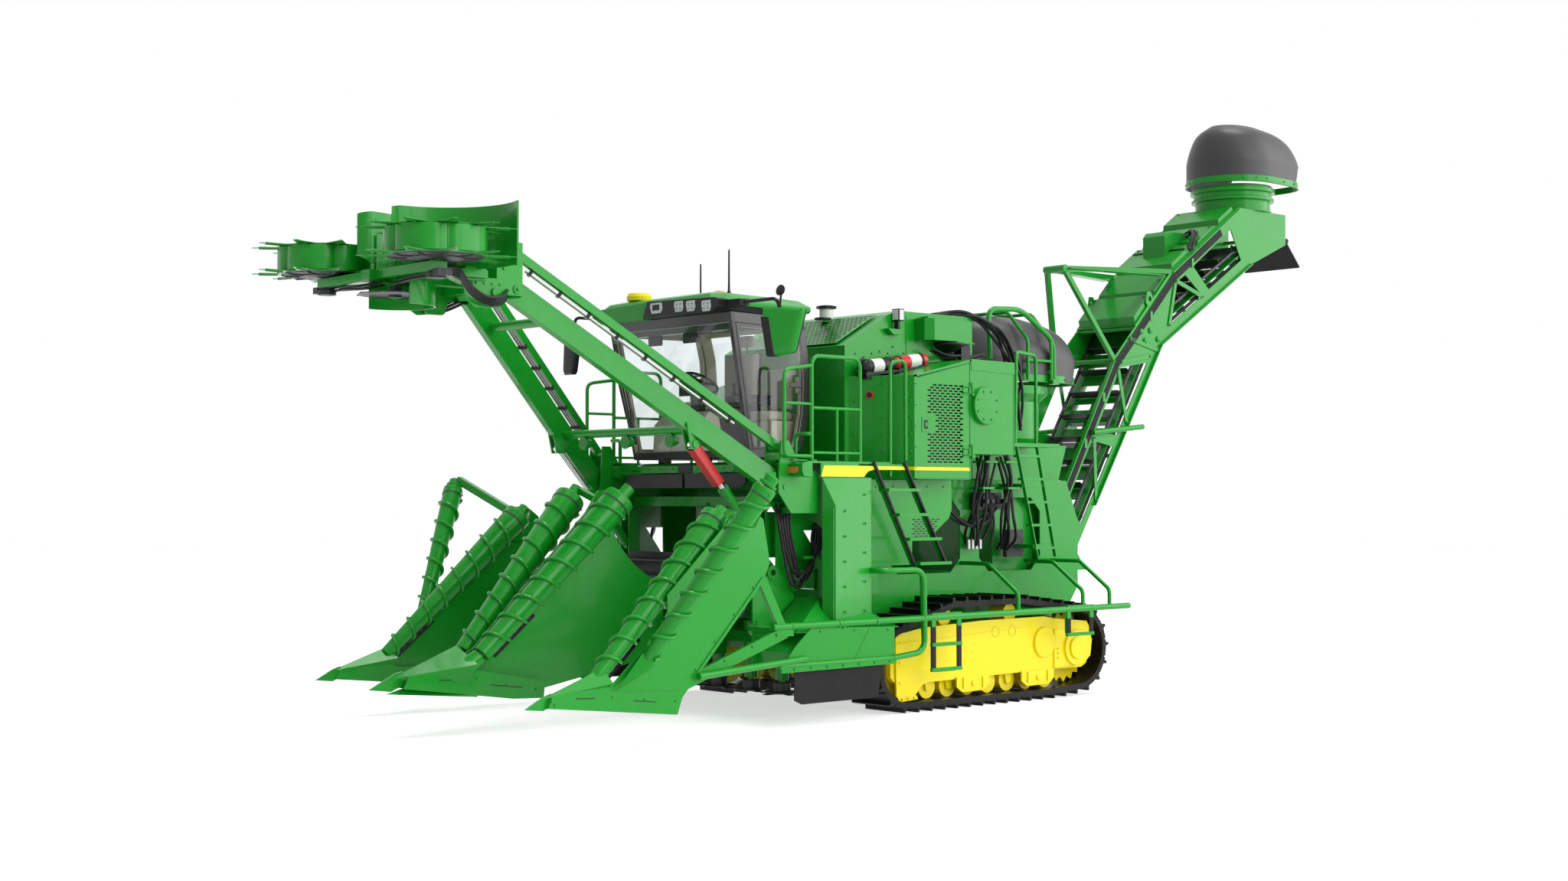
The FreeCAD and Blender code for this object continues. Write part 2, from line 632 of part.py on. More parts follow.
def slot(x, z, length, height):
    """A round-ended slot in XZ, cut through the door leaf."""
    r = height / 2
    start, end = V(x + r, 1500, z), V(x + length - r, 1500, z)
    edges = [Part.LineSegment(start + V(0, 0, r), end + V(0, 0, r)).toShape(),
             Part.Arc(end + V(0, 0, r), end + V(r, 0, 0), end - V(0, 0, r)).toShape(),
             Part.LineSegment(end - V(0, 0, r), start - V(0, 0, r)).toShape(),
             Part.Arc(start - V(0, 0, r), start - V(r, 0, 0), start + V(0, 0, r)).toShape()]
    return Part.Face(Part.Wire(edges)).extrude(V(0, 100, 0))


def grille_door():
    """Slotted door over the coolers, hinged on its rear edge."""
    leaf = plate_y(GRILLE_LEAF, SIDE_BOX_Y - 24, SIDE_BOX_Y - 4)
    leaf = leaf.cut(plate_y(grown(GRILLE_LEAF, -30), SIDE_BOX_Y - 30, SIDE_BOX_Y - 12))
    rows, columns = 16, 4
    row_pitch, column_pitch = 54.0, 132.0
    slots = []
    for row in range(rows):
        shift = column_pitch / 2 * (row % 2)
        for column in range(columns - row % 2):
            slots.append(slot(640 + shift + column_pitch * column, 2500 + row_pitch * row, 104.0, 22.0))
    leaf = leaf.cut(Part.makeCompound(slots))
    knuckles = []
    for z in (2600, 3240):
        strap = box(545, 620, SIDE_BOX_Y - 4, SIDE_BOX_Y + 6, z, z + 40)
        knuckle = post(520, HINGE_Y, z, z + 40, 16)
        web = box(518, 560, SIDE_BOX_Y + 2, HINGE_Y, z, z + 40)
        knuckles.append(fuse([strap, knuckle, web]).cut(post(520, HINGE_Y, z - 50, z + 90, 9.5)))
    latch = box(1190, 1230, SIDE_BOX_Y - 4, SIDE_BOX_Y + 12, 2860, 2940)
    return fuse([leaf, *knuckles, latch])


# Cab ------------------------------------------------------------------------
def cab_half_width(x):
    """The cab widens towards the windscreen."""
    return 760 + (x - 2000) * 0.17


def cab_loft(inset):
    """The cab's closed outer form, drawn in by `inset` on every side."""
    def ring(x0, x1, z):
        a, b = x0 + inset, x1 - inset
        ya, yb = cab_half_width(a) - inset, cab_half_width(b) - inset
        pts = [V(a, -ya, z), V(b, -yb, z), V(b, yb, z), V(a, ya, z)]
        return Part.makePolygon([*pts, pts[0]])
    low = ring(2000, 3000, CAB_FLOOR + inset)
    high = ring(2150, 3300, CAB_TOP - inset)
    return Part.makeLoft([low, high], True, True)


DOOR_OUTLINE = [(2130, 2600), (2950, 2600), (3205, 3850), (2250, 3850)]


def grown(outline, amount):
    cx = sum(x for x, z in outline) / len(outline)
    cz = sum(z for x, z in outline) / len(outline)
    return [(x + (amount if x > cx else -amount), z + (amount if z > cz else -amount))
            for x, z in outline]


def window_cutters():
    screen = plate_x([(-800, 2700), (800, 2700), (850, 3850), (-850, 3850)], 2750, 3500)
    side = plate_y(grown(DOOR_OUTLINE, -70), -1200, -600)
    rear = plate_x([(-600, 2900), (600, 2900), (620, 3800), (-620, 3800)], 1900, 2350)
    return screen, side, rear


def cab_wall():
    return cab_loft(0).cut(cab_loft(CAB_WALL))


def cab_frame():
    screen, side, rear = window_cutters()
    door_hole = plate_y(grown(DOOR_OUTLINE, 8), 600, 1200)
    shell = cab_wall().cut(fuse([screen, side, rear, door_hole]))
    mounts = [box(x - 50, x + 50, y - 50, y + 50, DECK_Z, CAB_FLOOR)
              for x in (2150, 2850) for y in (-600, 600)]
    return fuse([shell, *mounts])


def glass_layer():
    return cab_loft(22).cut(cab_loft(30))


def cab_glass():
    screen, side, rear = window_cutters()
    layer = glass_layer()
    return Part.makeCompound([layer.common(screen), layer.common(side), layer.common(rear)])


def cab_door():
    opening = plate_y(grown(DOOR_OUTLINE, 0), 600, 1200)
    hole = plate_y(grown(DOOR_OUTLINE, -70), 600, 1200)
    leaf = cab_loft(0).cut(cab_loft(45)).cut(hole).common(opening)
    y = cab_half_width(2210)
    handle = box(2195, 2225, y - 20, y + 35, 3050, 3200)
    return leaf.fuse(handle)


def door_glass():
    return glass_layer().common(plate_y(grown(DOOR_OUTLINE, -70), 600, 1200))


def roof_ring(corners, z):
    """A closed outline at height z from its left-hand corners."""
    right = [V(x, -y, z) for x, y in corners]
    left = [V(x, y, z) for x, y in reversed(corners)]
    return Part.makePolygon([*right, *left, right[0]])


ROOF_INSIDE_LOW = [(2195, 720), (2235, 755), (3220, 900), (3260, 870)]
ROOF_INSIDE_HIGH = [(2250, 650), (2300, 705), (3210, 805), (3270, 740)]


def cab_roof():
    """Roof shell with the lamp panel in front and the beacon on top."""
    low = [(2080, 780), (2180, 870), (3330, 990), (3460, 900)]
    high = [(2200, 700), (2280, 760), (3250, 860), (3350, 780)]
    slab = Part.makeLoft([roof_ring(low, CAB_TOP), roof_ring(low, CAB_TOP + 60)], True, True)
    crown = Part.makeLoft([roof_ring(low, CAB_TOP + 60), roof_ring(high, 4150)], True, True)
    hollow = Part.makeLoft([roof_ring(ROOF_INSIDE_LOW, CAB_TOP - 10),
                            roof_ring(ROOF_INSIDE_HIGH, 4120)], True, True)
    panel = box(3330, 3420, -700, 700, CAB_TOP - 70, CAB_TOP)
    lamps = [Part.makeCylinder(48, 24, V(3420, y, CAB_TOP - 20), V(1, 0, 0))
             for y in (-520, -190, 190, 520)]
    beacon = turned([(0, 4150), (70, 4150), (70, 4175), (52, 4180), (48, 4270), (0, 4290)],
                    2450, 480)
    receiver = turned([(0, 4150), (60, 4150), (150, 4165), (150, 4200), (110, 4235), (0, 4245)],
                      3120, -480)
    aerials = [post(2350, y, 4150, 4650, 8) for y in (-500, 620)]
    return fuse([slab, crown, panel, *lamps, beacon, receiver, *aerials]).cut(hollow)


def cab_interior():
    """Seat on its pedestal, armrest console, and the wheel on its column."""
    floor = CAB_FLOOR + CAB_WALL
    cushion = box(2250, 2740, -260, 260, 2950, 3060)
    backrest = plate_y([(2250, 3060), (2370, 3060), (2330, 3650), (2240, 3650)], -250, 250)
    neck = box(2270, 2300, -60, 60, 3650, 3690)
    headrest = box(2240, 2330, -150, 150, 3690, 3830)
    pedestal = plate_y([(2320, floor), (2640, floor), (2580, 2800), (2660, 2950), (2300, 2950),
                        (2380, 2800)], -180, 180)
    arm = box(2300, 2780, 300, 440, 3090, 3190)
    arm_post = box(2380, 2480, 260, 380, 2970, 3090)
    stick = post(2730, 370, 3190, 3300, 22)
    column = plate_y([(2810, floor), (2910, floor), (2850, 3150), (2750, 3150)], -55, 55)
    shaft = rod(V(2805, 0, 3120), V(2770, 0, 3230), 24)
    wheel = Part.makeTorus(185, 14, V(2770, 0, 3235), V(-0.5, 0, 0.87))
    spoke = beam(V(2770, -183, 3235), V(2770, 183, 3235), 26, 14, V(0.87, 0, 0.5))
    return fuse([cushion, backrest, neck, headrest, pedestal, arm, arm_post, stick, column,
                 shaft, wheel, spoke])


# Topper ---------------------------------------------------------------------
def topper_side_bar(rise, width, depth, sleeve_r, wall=0):
    """One side's bar between the masts and the head, with bored ends."""
    start = ARM_PIVOT + V(0, 0, rise)
    end = ARM_HEAD + V(0, 0, rise)
    bar = beam(start, end, width, depth)
    if wall:
        past = (end - start).normalize() * 10
        bar = bar.cut(beam(start - past, end + past, width - 2 * wall, depth - 2 * wall))
    ends = [axle(start.x, start.z, 1330, 1500, sleeve_r), axle(end.x, end.z, 290, 430, sleeve_r)]
    bores = [axle(start.x, start.z, 1290, 1600, PIN_R + 0.5),
             axle(end.x, end.z, 200, 500, PIN_R + 0.5)]
    return fuse([bar, *ends]).cut(fuse(bores))


def cylinder_ears():
    """Plates under an arm, with bosses where the lift cylinder's pin seats."""
    outline = [(3740, 2720), (3800, 2600), (3900, 2600), (3960, 2860)]
    ears = [plate_y(outline, y, y + 16) for y in (1040, 1120)]
    bosses = [axle(CYLINDER_EYE.x, CYLINDER_EYE.z, y, y + 12, 40) for y in (1028, 1136)]
    return [*ears, *bosses]


def work_lamp(y):
    """A round lamp under the cross tube, with a wire guard in front."""
    x, z = CROSS_TUBE[0] + 10, CROSS_TUBE[1] - 95
    body = cone_bar(V(x - 60, y, z), V(x + 20, y, z), 40, 62)
    rim = Part.makeCylinder(68, 14, V(x + 20, y, z), V(1, 0, 0))
    bracket = box(x - 30, x - 10, y - 15, y + 15, z, z + 70)
    wires = [box(x + 34, x + 40, y - 60, y + 60, z + dz - 3, z + dz + 3) for dz in (-30, 0, 30)]
    return [body, rim, bracket, *wires]


def topper_arms():
    """Both deep-plate arms with the tubes between them."""
    arm = fuse([topper_side_bar(0, 90, 210, 60, ARM_WALL), *cylinder_ears()])
    tube = axle(*CROSS_TUBE, -1095, 1095, 42)
    stay = axle(5050, 3780, -520, 520, 45)
    lamps = [piece for y in (-700, 0, 700) for piece in work_lamp(y)]
    return fuse([*both(arm), tube, stay, *lamps])


def topper_links():
    return Part.makeCompound(both(topper_side_bar(LINK_RISE, 50, 80, 42)))


def lift_barrel():
    """Outer tube of a lift cylinder, with its eye on the foot pin."""
    along = (CYLINDER_EYE - CYLINDER_FOOT).normalize()
    barrel = rod(CYLINDER_FOOT + along * 40, CYLINDER_FOOT + along * 770, 48)
    gland = rod(CYLINDER_FOOT + along * 740, CYLINDER_FOOT + along * 790, 56)
    eye = axle(CYLINDER_FOOT.x, CYLINDER_FOOT.z, 1060, 1116, 46)
    bore = rod(CYLINDER_FOOT + along * 60, CYLINDER_FOOT + along * 800, 34)
    eye_bore = axle(CYLINDER_FOOT.x, CYLINDER_FOOT.z, 1000, 1200, PIN_R + 0.5)
    return fuse([barrel, gland, eye]).cut(fuse([bore, eye_bore]))


def lift_rod():
    """Rod of a lift cylinder, its eye and pin held between the arm's ears."""
    along = (CYLINDER_EYE - CYLINDER_FOOT).normalize()
    shaft = rod(CYLINDER_FOOT + along * 530, CYLINDER_EYE - along * 30, 28)
    eye = axle(CYLINDER_EYE.x, CYLINDER_EYE.z, 1064, 1112, 50)
    pin = axle(CYLINDER_EYE.x, CYLINDER_EYE.z, 1059, 1117, PIN_R)
    return fuse([shaft, eye, pin])


HEAD_X = 6480.0
BEAM_TOP = 4170.0


def topper_head():
    ears = []
    for y in (255, 437):
        ears.append(plate_y([(5340, 3990), (5560, 3990), (5620, 4100), (5620, 4480),
                             (5340, 4480)], y, y + 20))
    pins = [axle(ARM_HEAD.x, ARM_HEAD.z, 255, 457, PIN_R),
            axle(ARM_HEAD.x, ARM_HEAD.z + LINK_RISE, 255, 457, 16)]
    cross = box(5540, 5620, -457, 457, 4040, 4400)
    spine = box(5620, 6700, -70, 70, 4080, BEAM_TOP)
    spread = box(HEAD_X, HEAD_X + 150, -1000, 1000, 4090, BEAM_TOP)
    inside = [box(5550, 5610, -447, 447, 4050, 4390), box(5605, 6690, -60, 60, 4090, BEAM_TOP - 10),
              box(HEAD_X + 10, HEAD_X + 140, -990, 990, 4100, BEAM_TOP - 10),
              box(5570, 5590, -60, 60, 4030, 4060)]
    beams = fuse([cross, spine, spread]).cut(fuse(inside))
    stays = both(beam(V(5700, 60, 4125), V(6500, 880, 4125), 60, 80, UP))
    spindles = both(post(*DRUM, BEAM_TOP, DRUM_HIGH + 40, 30))
    shields = both(drum_shield())
    guard = turned([(350, 3860), (362, 3860), (362, 4080), (350, 4080)], 6400, 0)
    guard = guard.cut(box(6460, 6800, -400, 400, 3800, 4200))
    rib = box(6030, 6400, -30, 30, 4050, 4090)
    motor = post(6400, 0, BEAM_TOP, BEAM_TOP + 180, 70)
    shaft = post(6400, 0, 3930, 4090, 22)
    return fuse([*both(fuse([*ears, *pins])), beams, *stays, *spindles, *shields, guard, rib, motor,
                 shaft])


def drum_shield():
    """Curved sheet round the inner and rear side of a gathering drum."""
    x, y = DRUM
    ring = turned([(705, 4180), (717, 4180), (717, 4600), (705, 4600)], x, y)
    keep = plate_z([(x, y), (x - 1500, y + 300), (x - 1500, y - 1500), (x - 100, y - 1500)],
                   4000, 4700)
    sheet = ring.common(keep)
    foot = box(x - 720, x - 500, y - 400, y - 330, 4080, 4200)
    arm = box(x - 705, x - 20, y - 350, y - 280, 4100, 4170)
    return fuse([sheet, foot, arm])


def star(x, y, z0, z1, teeth, outer, inner):
    outline = []
    step = 2 * math.pi / teeth
    for i in range(teeth):
        base = step * (i - 0.35)
        outline.append((x + inner * math.cos(base), y + inner * math.sin(base)))
        outline.append((x + outer * math.cos(base + 0.35 * step),
                        y + outer * math.sin(base + 0.35 * step)))
        outline.append((x + outer * math.cos(base + 0.5 * step),
                        y + outer * math.sin(base + 0.5 * step)))
        outline.append((x + inner * math.cos(base + 0.6 * step),
                        y + inner * math.sin(base + 0.6 * step)))
    return plate_z(outline, z0, z1)


def drum_body(x, y, z0, z1):
    """The drum's casing: five bulging lobes that meet in sharp valleys."""
    edges = []
    lobes = 5
    for i in range(lobes):
        corners = []
        for share, r in ((0.0, 425.0), (0.5, 465.0), (1.0, 425.0)):
            angle = 2 * math.pi * (i + share) / lobes
            corners.append(V(x + r * math.cos(angle), y + r * math.sin(angle), z0))
        edges.append(Part.Arc(*corners).toShape())
    return Part.Face(Part.Wire(edges)).extrude(V(0, 0, z1 - z0))


def gathering_drum(side):
    """Casing between two knife plates, open below, on its motor hub."""
    x, y = DRUM[0], DRUM[1] * side
    body = drum_body(x, y, DRUM_LOW, DRUM_HIGH)
    plates = [star(x, y, z, z + 8, 10, STAR_R, 440) for z in (DRUM_LOW, DRUM_HIGH - 8)]
    hollow = post(x, y, DRUM_LOW - 10, DRUM_HIGH - 20, 395)
    hub = post(x, y, BEAM_TOP + 5, DRUM_HIGH + 10, 60)
    drum = fuse([fuse([body, *plates]).cut(hollow), hub])
    return drum.cut(post(x, y, BEAM_TOP, DRUM_HIGH + 50, 31))


def topper_disc():
    disc = post(6400, 0, 3960, 3970, 320)
    teeth = []
    for i in range(8):
        tooth = box(6400 + 290, 6400 + 342, -22, 22, 3960, 3970)
        tooth.rotate(V(6400, 0, 0), UP, 45 * i)
        teeth.append(tooth)
    hub = post(6400, 0, 3940, 4040, 60)
    return fuse([disc, hub, *teeth]).cut(post(6400, 0, 3900, 4100, 23))


# Crop dividers --------------------------------------------------------------
def helix_solid(start, end, r0, r1, pitch, ridge):
    """A tapering drum with a helical ridge, as one closed faceted solid.

    Three rows of points follow the helix: the ridge's foot, its crest and
    its other foot.  Rows that run past an end are held on that end's rim.
    """
    axis = end - start
    length = axis.Length
    along = axis.normalize()
    across = along.cross(LEFT).normalize()
    other = along.cross(across)
    sides = 12
    half = 1.6 * ridge
    turns = math.ceil(length / pitch) + 1
    columns = range(-sides, turns * sides + 1)

    def point(row, column):
        wanted = pitch * column / sides + (row - 1) * half
        s = min(max(wanted, 0.0), length)
        on_rim = s != wanted
        r = r0 + (r1 - r0) * s / length + (ridge if row == 1 and not on_rim else 0)
        angle = 2 * math.pi * (column % sides) / sides
        return start + along * s + across * (r * math.cos(angle)) + other * (r * math.sin(angle))

    faces = []

    def patch(*corners):
        distinct = [c for i, c in enumerate(corners) if not c.isEqual(corners[i - 1], 1e-6)]
        for i in range(1, len(distinct) - 1):
            trio = [distinct[0], distinct[i], distinct[i + 1]]
            if (trio[1] - trio[0]).cross(trio[2] - trio[0]).Length > 1e-3:
                faces.append(face_of(trio))

    for column in columns:
        for row, next_row, step in ((0, 1, 0), (1, 2, 0), (2, 0, sides)):
            patch(point(row, column), point(row, column + 1),
                  point(next_row, column + 1 + step), point(next_row, column + step))
    for column in (-sides, (turns + 1) * sides):
        faces.append(face_of([point(0, column + i) for i in range(sides)]))
    shell = Part.makeShell(faces)
    shell.sewShape()
    return Part.makeSolid(shell)


def scroll(key, side):
    """One crop-lifting scroll, bored at both ends for its stub shafts."""
    top, low, r_top, r_low = SCROLLS[key]
    along = (low - top).normalize()
    body = helix_solid(top, low, r_top, r_low, SCROLL_PITCH, SCROLL_RIDGE)
    bores = fuse([rod(top - along * 10, top + along * 62, 31),
                  rod(low - along * 62, low + along * 10, 31),
                  cone_bar(top + along * 60, low - along * 60, r_top - SCROLL_WALL,
                           r_low - SCROLL_WALL)])
    shape = body.cut(bores)
    return shape if side > 0 else mirrored(shape)


def scroll_ends(key):
    """Stub shafts and end brackets that carry one scroll."""
    top, low, r_top, r_low = SCROLLS[key]
    along = (low - top).normalize()
    upper = rod(top - along * 60, top + along * 55, 30)
    motor = rod(top - along * 130, top - along * 8, 62)
    lower = rod(low - along * 55, low + along * 40, 30)
    return [upper, motor, lower]


def divider_shoe(x, y, half, tip):
    """A pointed shoe that floats over the ground."""
    base = [V(x, y + half, 330), V(x, y - half, 330), V(x, y, 330 + 2 * half)]
    return Part.makeLoft([Part.makePolygon([*base, base[0]]), Part.Vertex(tip)], True, True)


def side_divider():
    """Left divider: side sheet, shoe, hinge arms and the scrolls' carriers."""
    y, sheet_y = SIDE_DIVIDER_Y, SIDE_DIVIDER_Y + 50
    sheet = plate_y([(3350, 560), (4700, 330), (5500, 330), (5500, 430), (5300, 560),
                     (5000, 820), (4720, 1100), (4720, 1290), (4000, 1950), (3750, 2080),
                     (3600, 1960), (3350, 1300)], sheet_y, sheet_y + 15)
    toe = plate_y([(4700, 330), (6150, 310), (6150, 350), (5500, 450), (5200, 580), (4700, 800)],
                  y - 20, y + 20)
    spacer = plate_y([(4760, 360), (5100, 360), (5060, 560), (4760, 680)], y + 20, sheet_y)
    shoe = divider_shoe(5500, y, 110, V(6150, y, 320))
    arm = box(3210, 3420, 1440, sheet_y, 860, 940)
    link = box(3230, 3300, 1275, 1440, 870, 930)
    eye = axle(DIVIDER_PIVOT.x, DIVIDER_PIVOT.z, 1275, 1410, 60)
    inner_top, inner_low = SCROLLS["inner"][:2]
    outer_top, outer_low = SCROLLS["outer"][:2]
    crown = beam(V(3740, sheet_y, 1950), inner_top + V(-60, 0, 60), 60, 60)
    outrigger = beam(V(3750, sheet_y, 1900), outer_top + V(-60, 0, 120), 70, 90, UP)
    toe_in = beam(V(5480, y, 430), inner_low + V(20, 0, -30), 50, 50)
    toe_out = beam(V(5060, sheet_y, 520), outer_low + V(22, -10, -40), 50, 50, UP)
    ribs = [box(x, x + 12, y + 20, sheet_y, 600, 1500) for x in (3500, 4100)]
    knife = plate_y([(4420, 1260), (4470, 1310), (5260, 560), (5210, 510)], sheet_y + 15, sheet_y + 27)
    parts = [sheet, toe, spacer, shoe, arm, link, eye, crown, outrigger, toe_in, toe_out, *ribs,
             knife, *scroll_ends("inner"), *scroll_ends("outer")]
    return fuse(parts).cut(axle(DIVIDER_PIVOT.x, DIVIDER_PIVOT.z, 1200, 1500, 30.5))


def centre_divider():
    """Middle divider between the rows, with a scroll on each side."""
    sheet = plate_y([(3350, 600), (4900, 330), (5700, 330), (5700, 700), (5570, 760),
                     (4300, 2000), (4150, 2220), (3350, 2220)], -12, 12)
    swept = axle(ARM_PIVOT.x, ARM_PIVOT.z, -100, 100, ARM_SWEEP)
    shoe = divider_shoe(5600, 0, 145, V(6470, 0, 400))
    eyes = [axle(DIVIDER_PIVOT.x, DIVIDER_PIVOT.z, y, y + 25, 60) for y in (-90, 65)]
    links = [box(3245, 3420, y, y + 25, 865, 935) for y in (-90, 65)]
    web = box(3380, 3440, -90, 90, 860, 940)
    top, low = SCROLLS["centre"][:2]
    crown = both(beam(V(4090, 10, 2100), top + V(-85, 0, 80), 60, 60, UP))
    toe = both(beam(V(5640, 10, 600), low + V(25, 0, -25), 50, 50, UP))
    ends = [end for near in scroll_ends("centre") for end in both(near)]
    pivot = axle(DIVIDER_PIVOT.x, DIVIDER_PIVOT.z, -120, 120, 30.5)
    return fuse([sheet.cut(swept), shoe, *eyes, *links, web, *crown, *toe, *ends]).cut(pivot)


# Elevator -------------------------------------------------------------------
LOW_CHORD = [(-2360, 1400), (-4090, 4030), (-6000, 5180)]
TOP_CHORD = [(-2000, 1900), (-3150, 3800), (-3600, 4240), (-4310, 4950), (-5720, 5880)]
FLOOR_PATH = [(-2330, 1620), (-3960, 4200), (-5950, 5400)]
ELEVATOR_SIDE = [*LOW_CHORD, (-6780, 5500), (-6780, 5880), *reversed(TOP_CHORD), (-2080, 1420)]
ELEVATOR_HOLES = [
    [(-2560, 1850), (-3150, 2760), (-2760, 2830), (-2250, 2010)],
    [(-3230, 2900), (-3820, 3800), (-3300, 3720), (-2830, 2940)],
    [(-4250, 4280), (-4950, 4700), (-4600, 4940), (-4350, 4800)],
    [(-5080, 4790), (-5780, 5220), (-5560, 5600), (-4760, 5060)],
]
SIDE_PLATE = 14.0
CHAIN_RISE = 75.0               # the strands run this far above and below the floor
SLAT_TIP = 130.0


def strip_side(path, offset):
    """The path moved sideways by offset, its corners mitred."""
    normals = []
    for (x0, z0), (x1, z1) in zip(path, path[1:]):
        length = math.hypot(x1 - x0, z1 - z0)
        normals.append(((z1 - z0) / length, (x0 - x1) / length))
    moved = []
    for i, (x, z) in enumerate(path):
        before, after = normals[max(i - 1, 0)], normals[min(i, len(normals) - 1)]
        nx, nz = before[0] + after[0], before[1] + after[1]
        scale = 2 * offset / (nx * nx + nz * nz)
        moved.append((x + nx * scale, z + nz * scale))
    return moved


def strip_outline(path, offset):
    """A closed band outline round the path, with rounded ends."""
    outline = []
    for side, line in ((1, path), (-1, list(reversed(path)))):
        outline += strip_side(line, offset)
        (x0, z0), (x, z) = line[-2:]
        heading = math.atan2(z - z0, x - x0)
        for i in range(1, 8):
            angle = heading - math.pi / 2 + math.pi * i / 8
            outline.append((x + offset * math.cos(angle), z + offset * math.sin(angle)))
    return outline


def elevator_turntable():
    """Slew ring with the two ears that hold the elevator's foot."""
    ring = turned([(300, 1295), (470, 1295), (470, 1345), (300, 1345)], SLEW_X, 0)
    ears = both(plate_y([(-2150, 1300), (-2600, 1300), (-2380, 1580), (-2220, 1580)],
                        ELEVATOR_Y + 8, ELEVATOR_Y + 34))
    wings = both(box(-2560, -2180, 164, ELEVATOR_Y + 34, 1300, 1345))
    pins = both(axle(LIFT_HINGE.x, LIFT_HINGE.z, ELEVATOR_Y - 30, ELEVATOR_Y + 34, 30))
    return fuse([ring, *ears, *wings, *pins]).cut(post(SLEW_X, 0, 1200, 1400, 250))


def elevator_side():
    """One truss side cut from plate, with a flange along its chords."""
    side = plate_y(ELEVATOR_SIDE, ELEVATOR_Y - SIDE_PLATE, ELEVATOR_Y)
    for hole in ELEVATOR_HOLES:
        side = side.cut(plate_y(hole, ELEVATOR_Y - 50, ELEVATOR_Y + 50))
    boss = axle(LIFT_HINGE.x, LIFT_HINGE.z, ELEVATOR_Y - 34, ELEVATOR_Y - SIDE_PLATE, 55)
    flanges = []
    clear_of_ears = [(-2790, 2055), *LOW_CHORD[1:]]
    for chord, sign in ((clear_of_ears, 1), (TOP_CHORD[:2], -1), (TOP_CHORD[3:], -1)):
        band = list(chord) + list(reversed(strip_side(chord, 14 * sign)))
        flanges.append(plate_y(band, ELEVATOR_Y, ELEVATOR_Y + 36))
    tube = rod(V(-2700, ELEVATOR_Y + 64, 2920), V(-3640, ELEVATOR_Y + 64, 3010), 32)
    seats = [box(x - 25, x + 25, ELEVATOR_Y, ELEVATOR_Y + 64, z - 25, z + 25)
             for x, z in ((-2835, 2927), (-3300, 2976))]
    eye = plate_y([(-3800, 4540), (-3900, 4440), (-3990, 4530), (-3900, 4680), (-3830, 4680)],
                  ELEVATOR_Y - SIDE_PLATE, ELEVATOR_Y).cut(axle(-3880, 4590, 0, 600, 32))
    rider = fuse([side, boss, *flanges, tube, *seats, eye])
    return rider.cut(axle(LIFT_HINGE.x, LIFT_HINGE.z, 0, 600, 30.5))


def floor_slots():
    """Long slots through the floor, across the elevator."""
    slots = []
    for (x0, z0), (x1, z1) in zip(FLOOR_PATH, FLOOR_PATH[1:]):
        length = math.hypot(x1 - x0, z1 - z0)
        count = int(length // 260)
        for i in range(1, count):
            t = i / count
            centre = V(x0 + (x1 - x0) * t, 0, z0 + (z1 - z0) * t)
            along = V(x1 - x0, 0, z1 - z0).normalize()
            for y in (-200, 200):
                slots.append(beam(centre + V(0, y - 140, 0), centre + V(0, y + 140, 0), 90, 90,
                                  along))
    return Part.makeCompound(slots)


def elevator_frame():
    """Sides, slotted floor, cross tubes, shafts, A-frame and covers."""
    inside = ELEVATOR_Y - SIDE_PLATE
    floor = plate_y([*FLOOR_PATH, *reversed(strip_side(FLOOR_PATH, -8))], -inside, inside)
    ends = [axle(*FLOOR_PATH[i], -inside, inside, SLAT_TIP + 10) for i in (0, -1)]
    floor = floor.cut(fuse(ends)).cut(floor_slots())
    crosses = [axle(x, z, -inside, inside, 26)
               for x, z in ((-3120, 2650), (-4240, 4170), (-5240, 4770), (-6020, 5240),
                            (-6700, 5600), (-3200, 3800), (-3620, 4215), (-4390, 4960))]
    shafts = [axle(*FLOOR_PATH[i], -inside, inside, 25) for i in (0, -1)]
    wheels = [axle(*FLOOR_PATH[i], y, y + 24, CHAIN_RISE - 17) for i in (0, -1) for y in (-412, 388)]
    apex = V(-2650, 130, 4900)
    legs = both(beam(V(-3170, ELEVATOR_Y - 7, 3820), apex, 50, 60))
    arms = both(beam(V(-4300, ELEVATOR_Y - 7, 4958), apex, 50, 60))
    head = axle(apex.x, apex.z, -160, 160, 45)
    top = box(-6780, -5740, -ELEVATOR_Y, ELEVATOR_Y, 5880, 5900)
    top = top.cut(post(SECOND_X, 0, 5800, 6000, SECOND_R - 60))
    return fuse([*both(elevator_side()), floor, *crosses, *shafts, *wheels, *legs, *arms, head,
                 top, *elevator_covers(), secondary_ring()])


def elevator_chain():
    """Two endless strands round the floor with the slats between them."""
    strands = []
    for y in (-415, 385):
        strand = plate_y(strip_outline(FLOOR_PATH, CHAIN_RISE + 15), y, y + 30)
        gap = plate_y(strip_outline(FLOOR_PATH, CHAIN_RISE - 15), y - 5, y + 35)
        strands.append(strand.cut(gap))
    slats = []
    pitch = 330.0
    for side in (1, -1):
        run = strip_side(FLOOR_PATH, -side * (14 + SLAT_TIP) / 2)
        for (x0, z0), (x1, z1) in zip(run, run[1:]):
            length = math.hypot(x1 - x0, z1 - z0)
            along = V(x1 - x0, 0, z1 - z0).normalize()
            for i in range(int((length - 120) // pitch) + 1):
                middle = V(x0, 0, z0) + along * (100 + pitch * i)
                slats.append(beam(middle + V(0, -385, 0), middle + V(0, 385, 0), 12,
                                  SLAT_TIP - 14, along))
    return fuse([*strands, *slats])


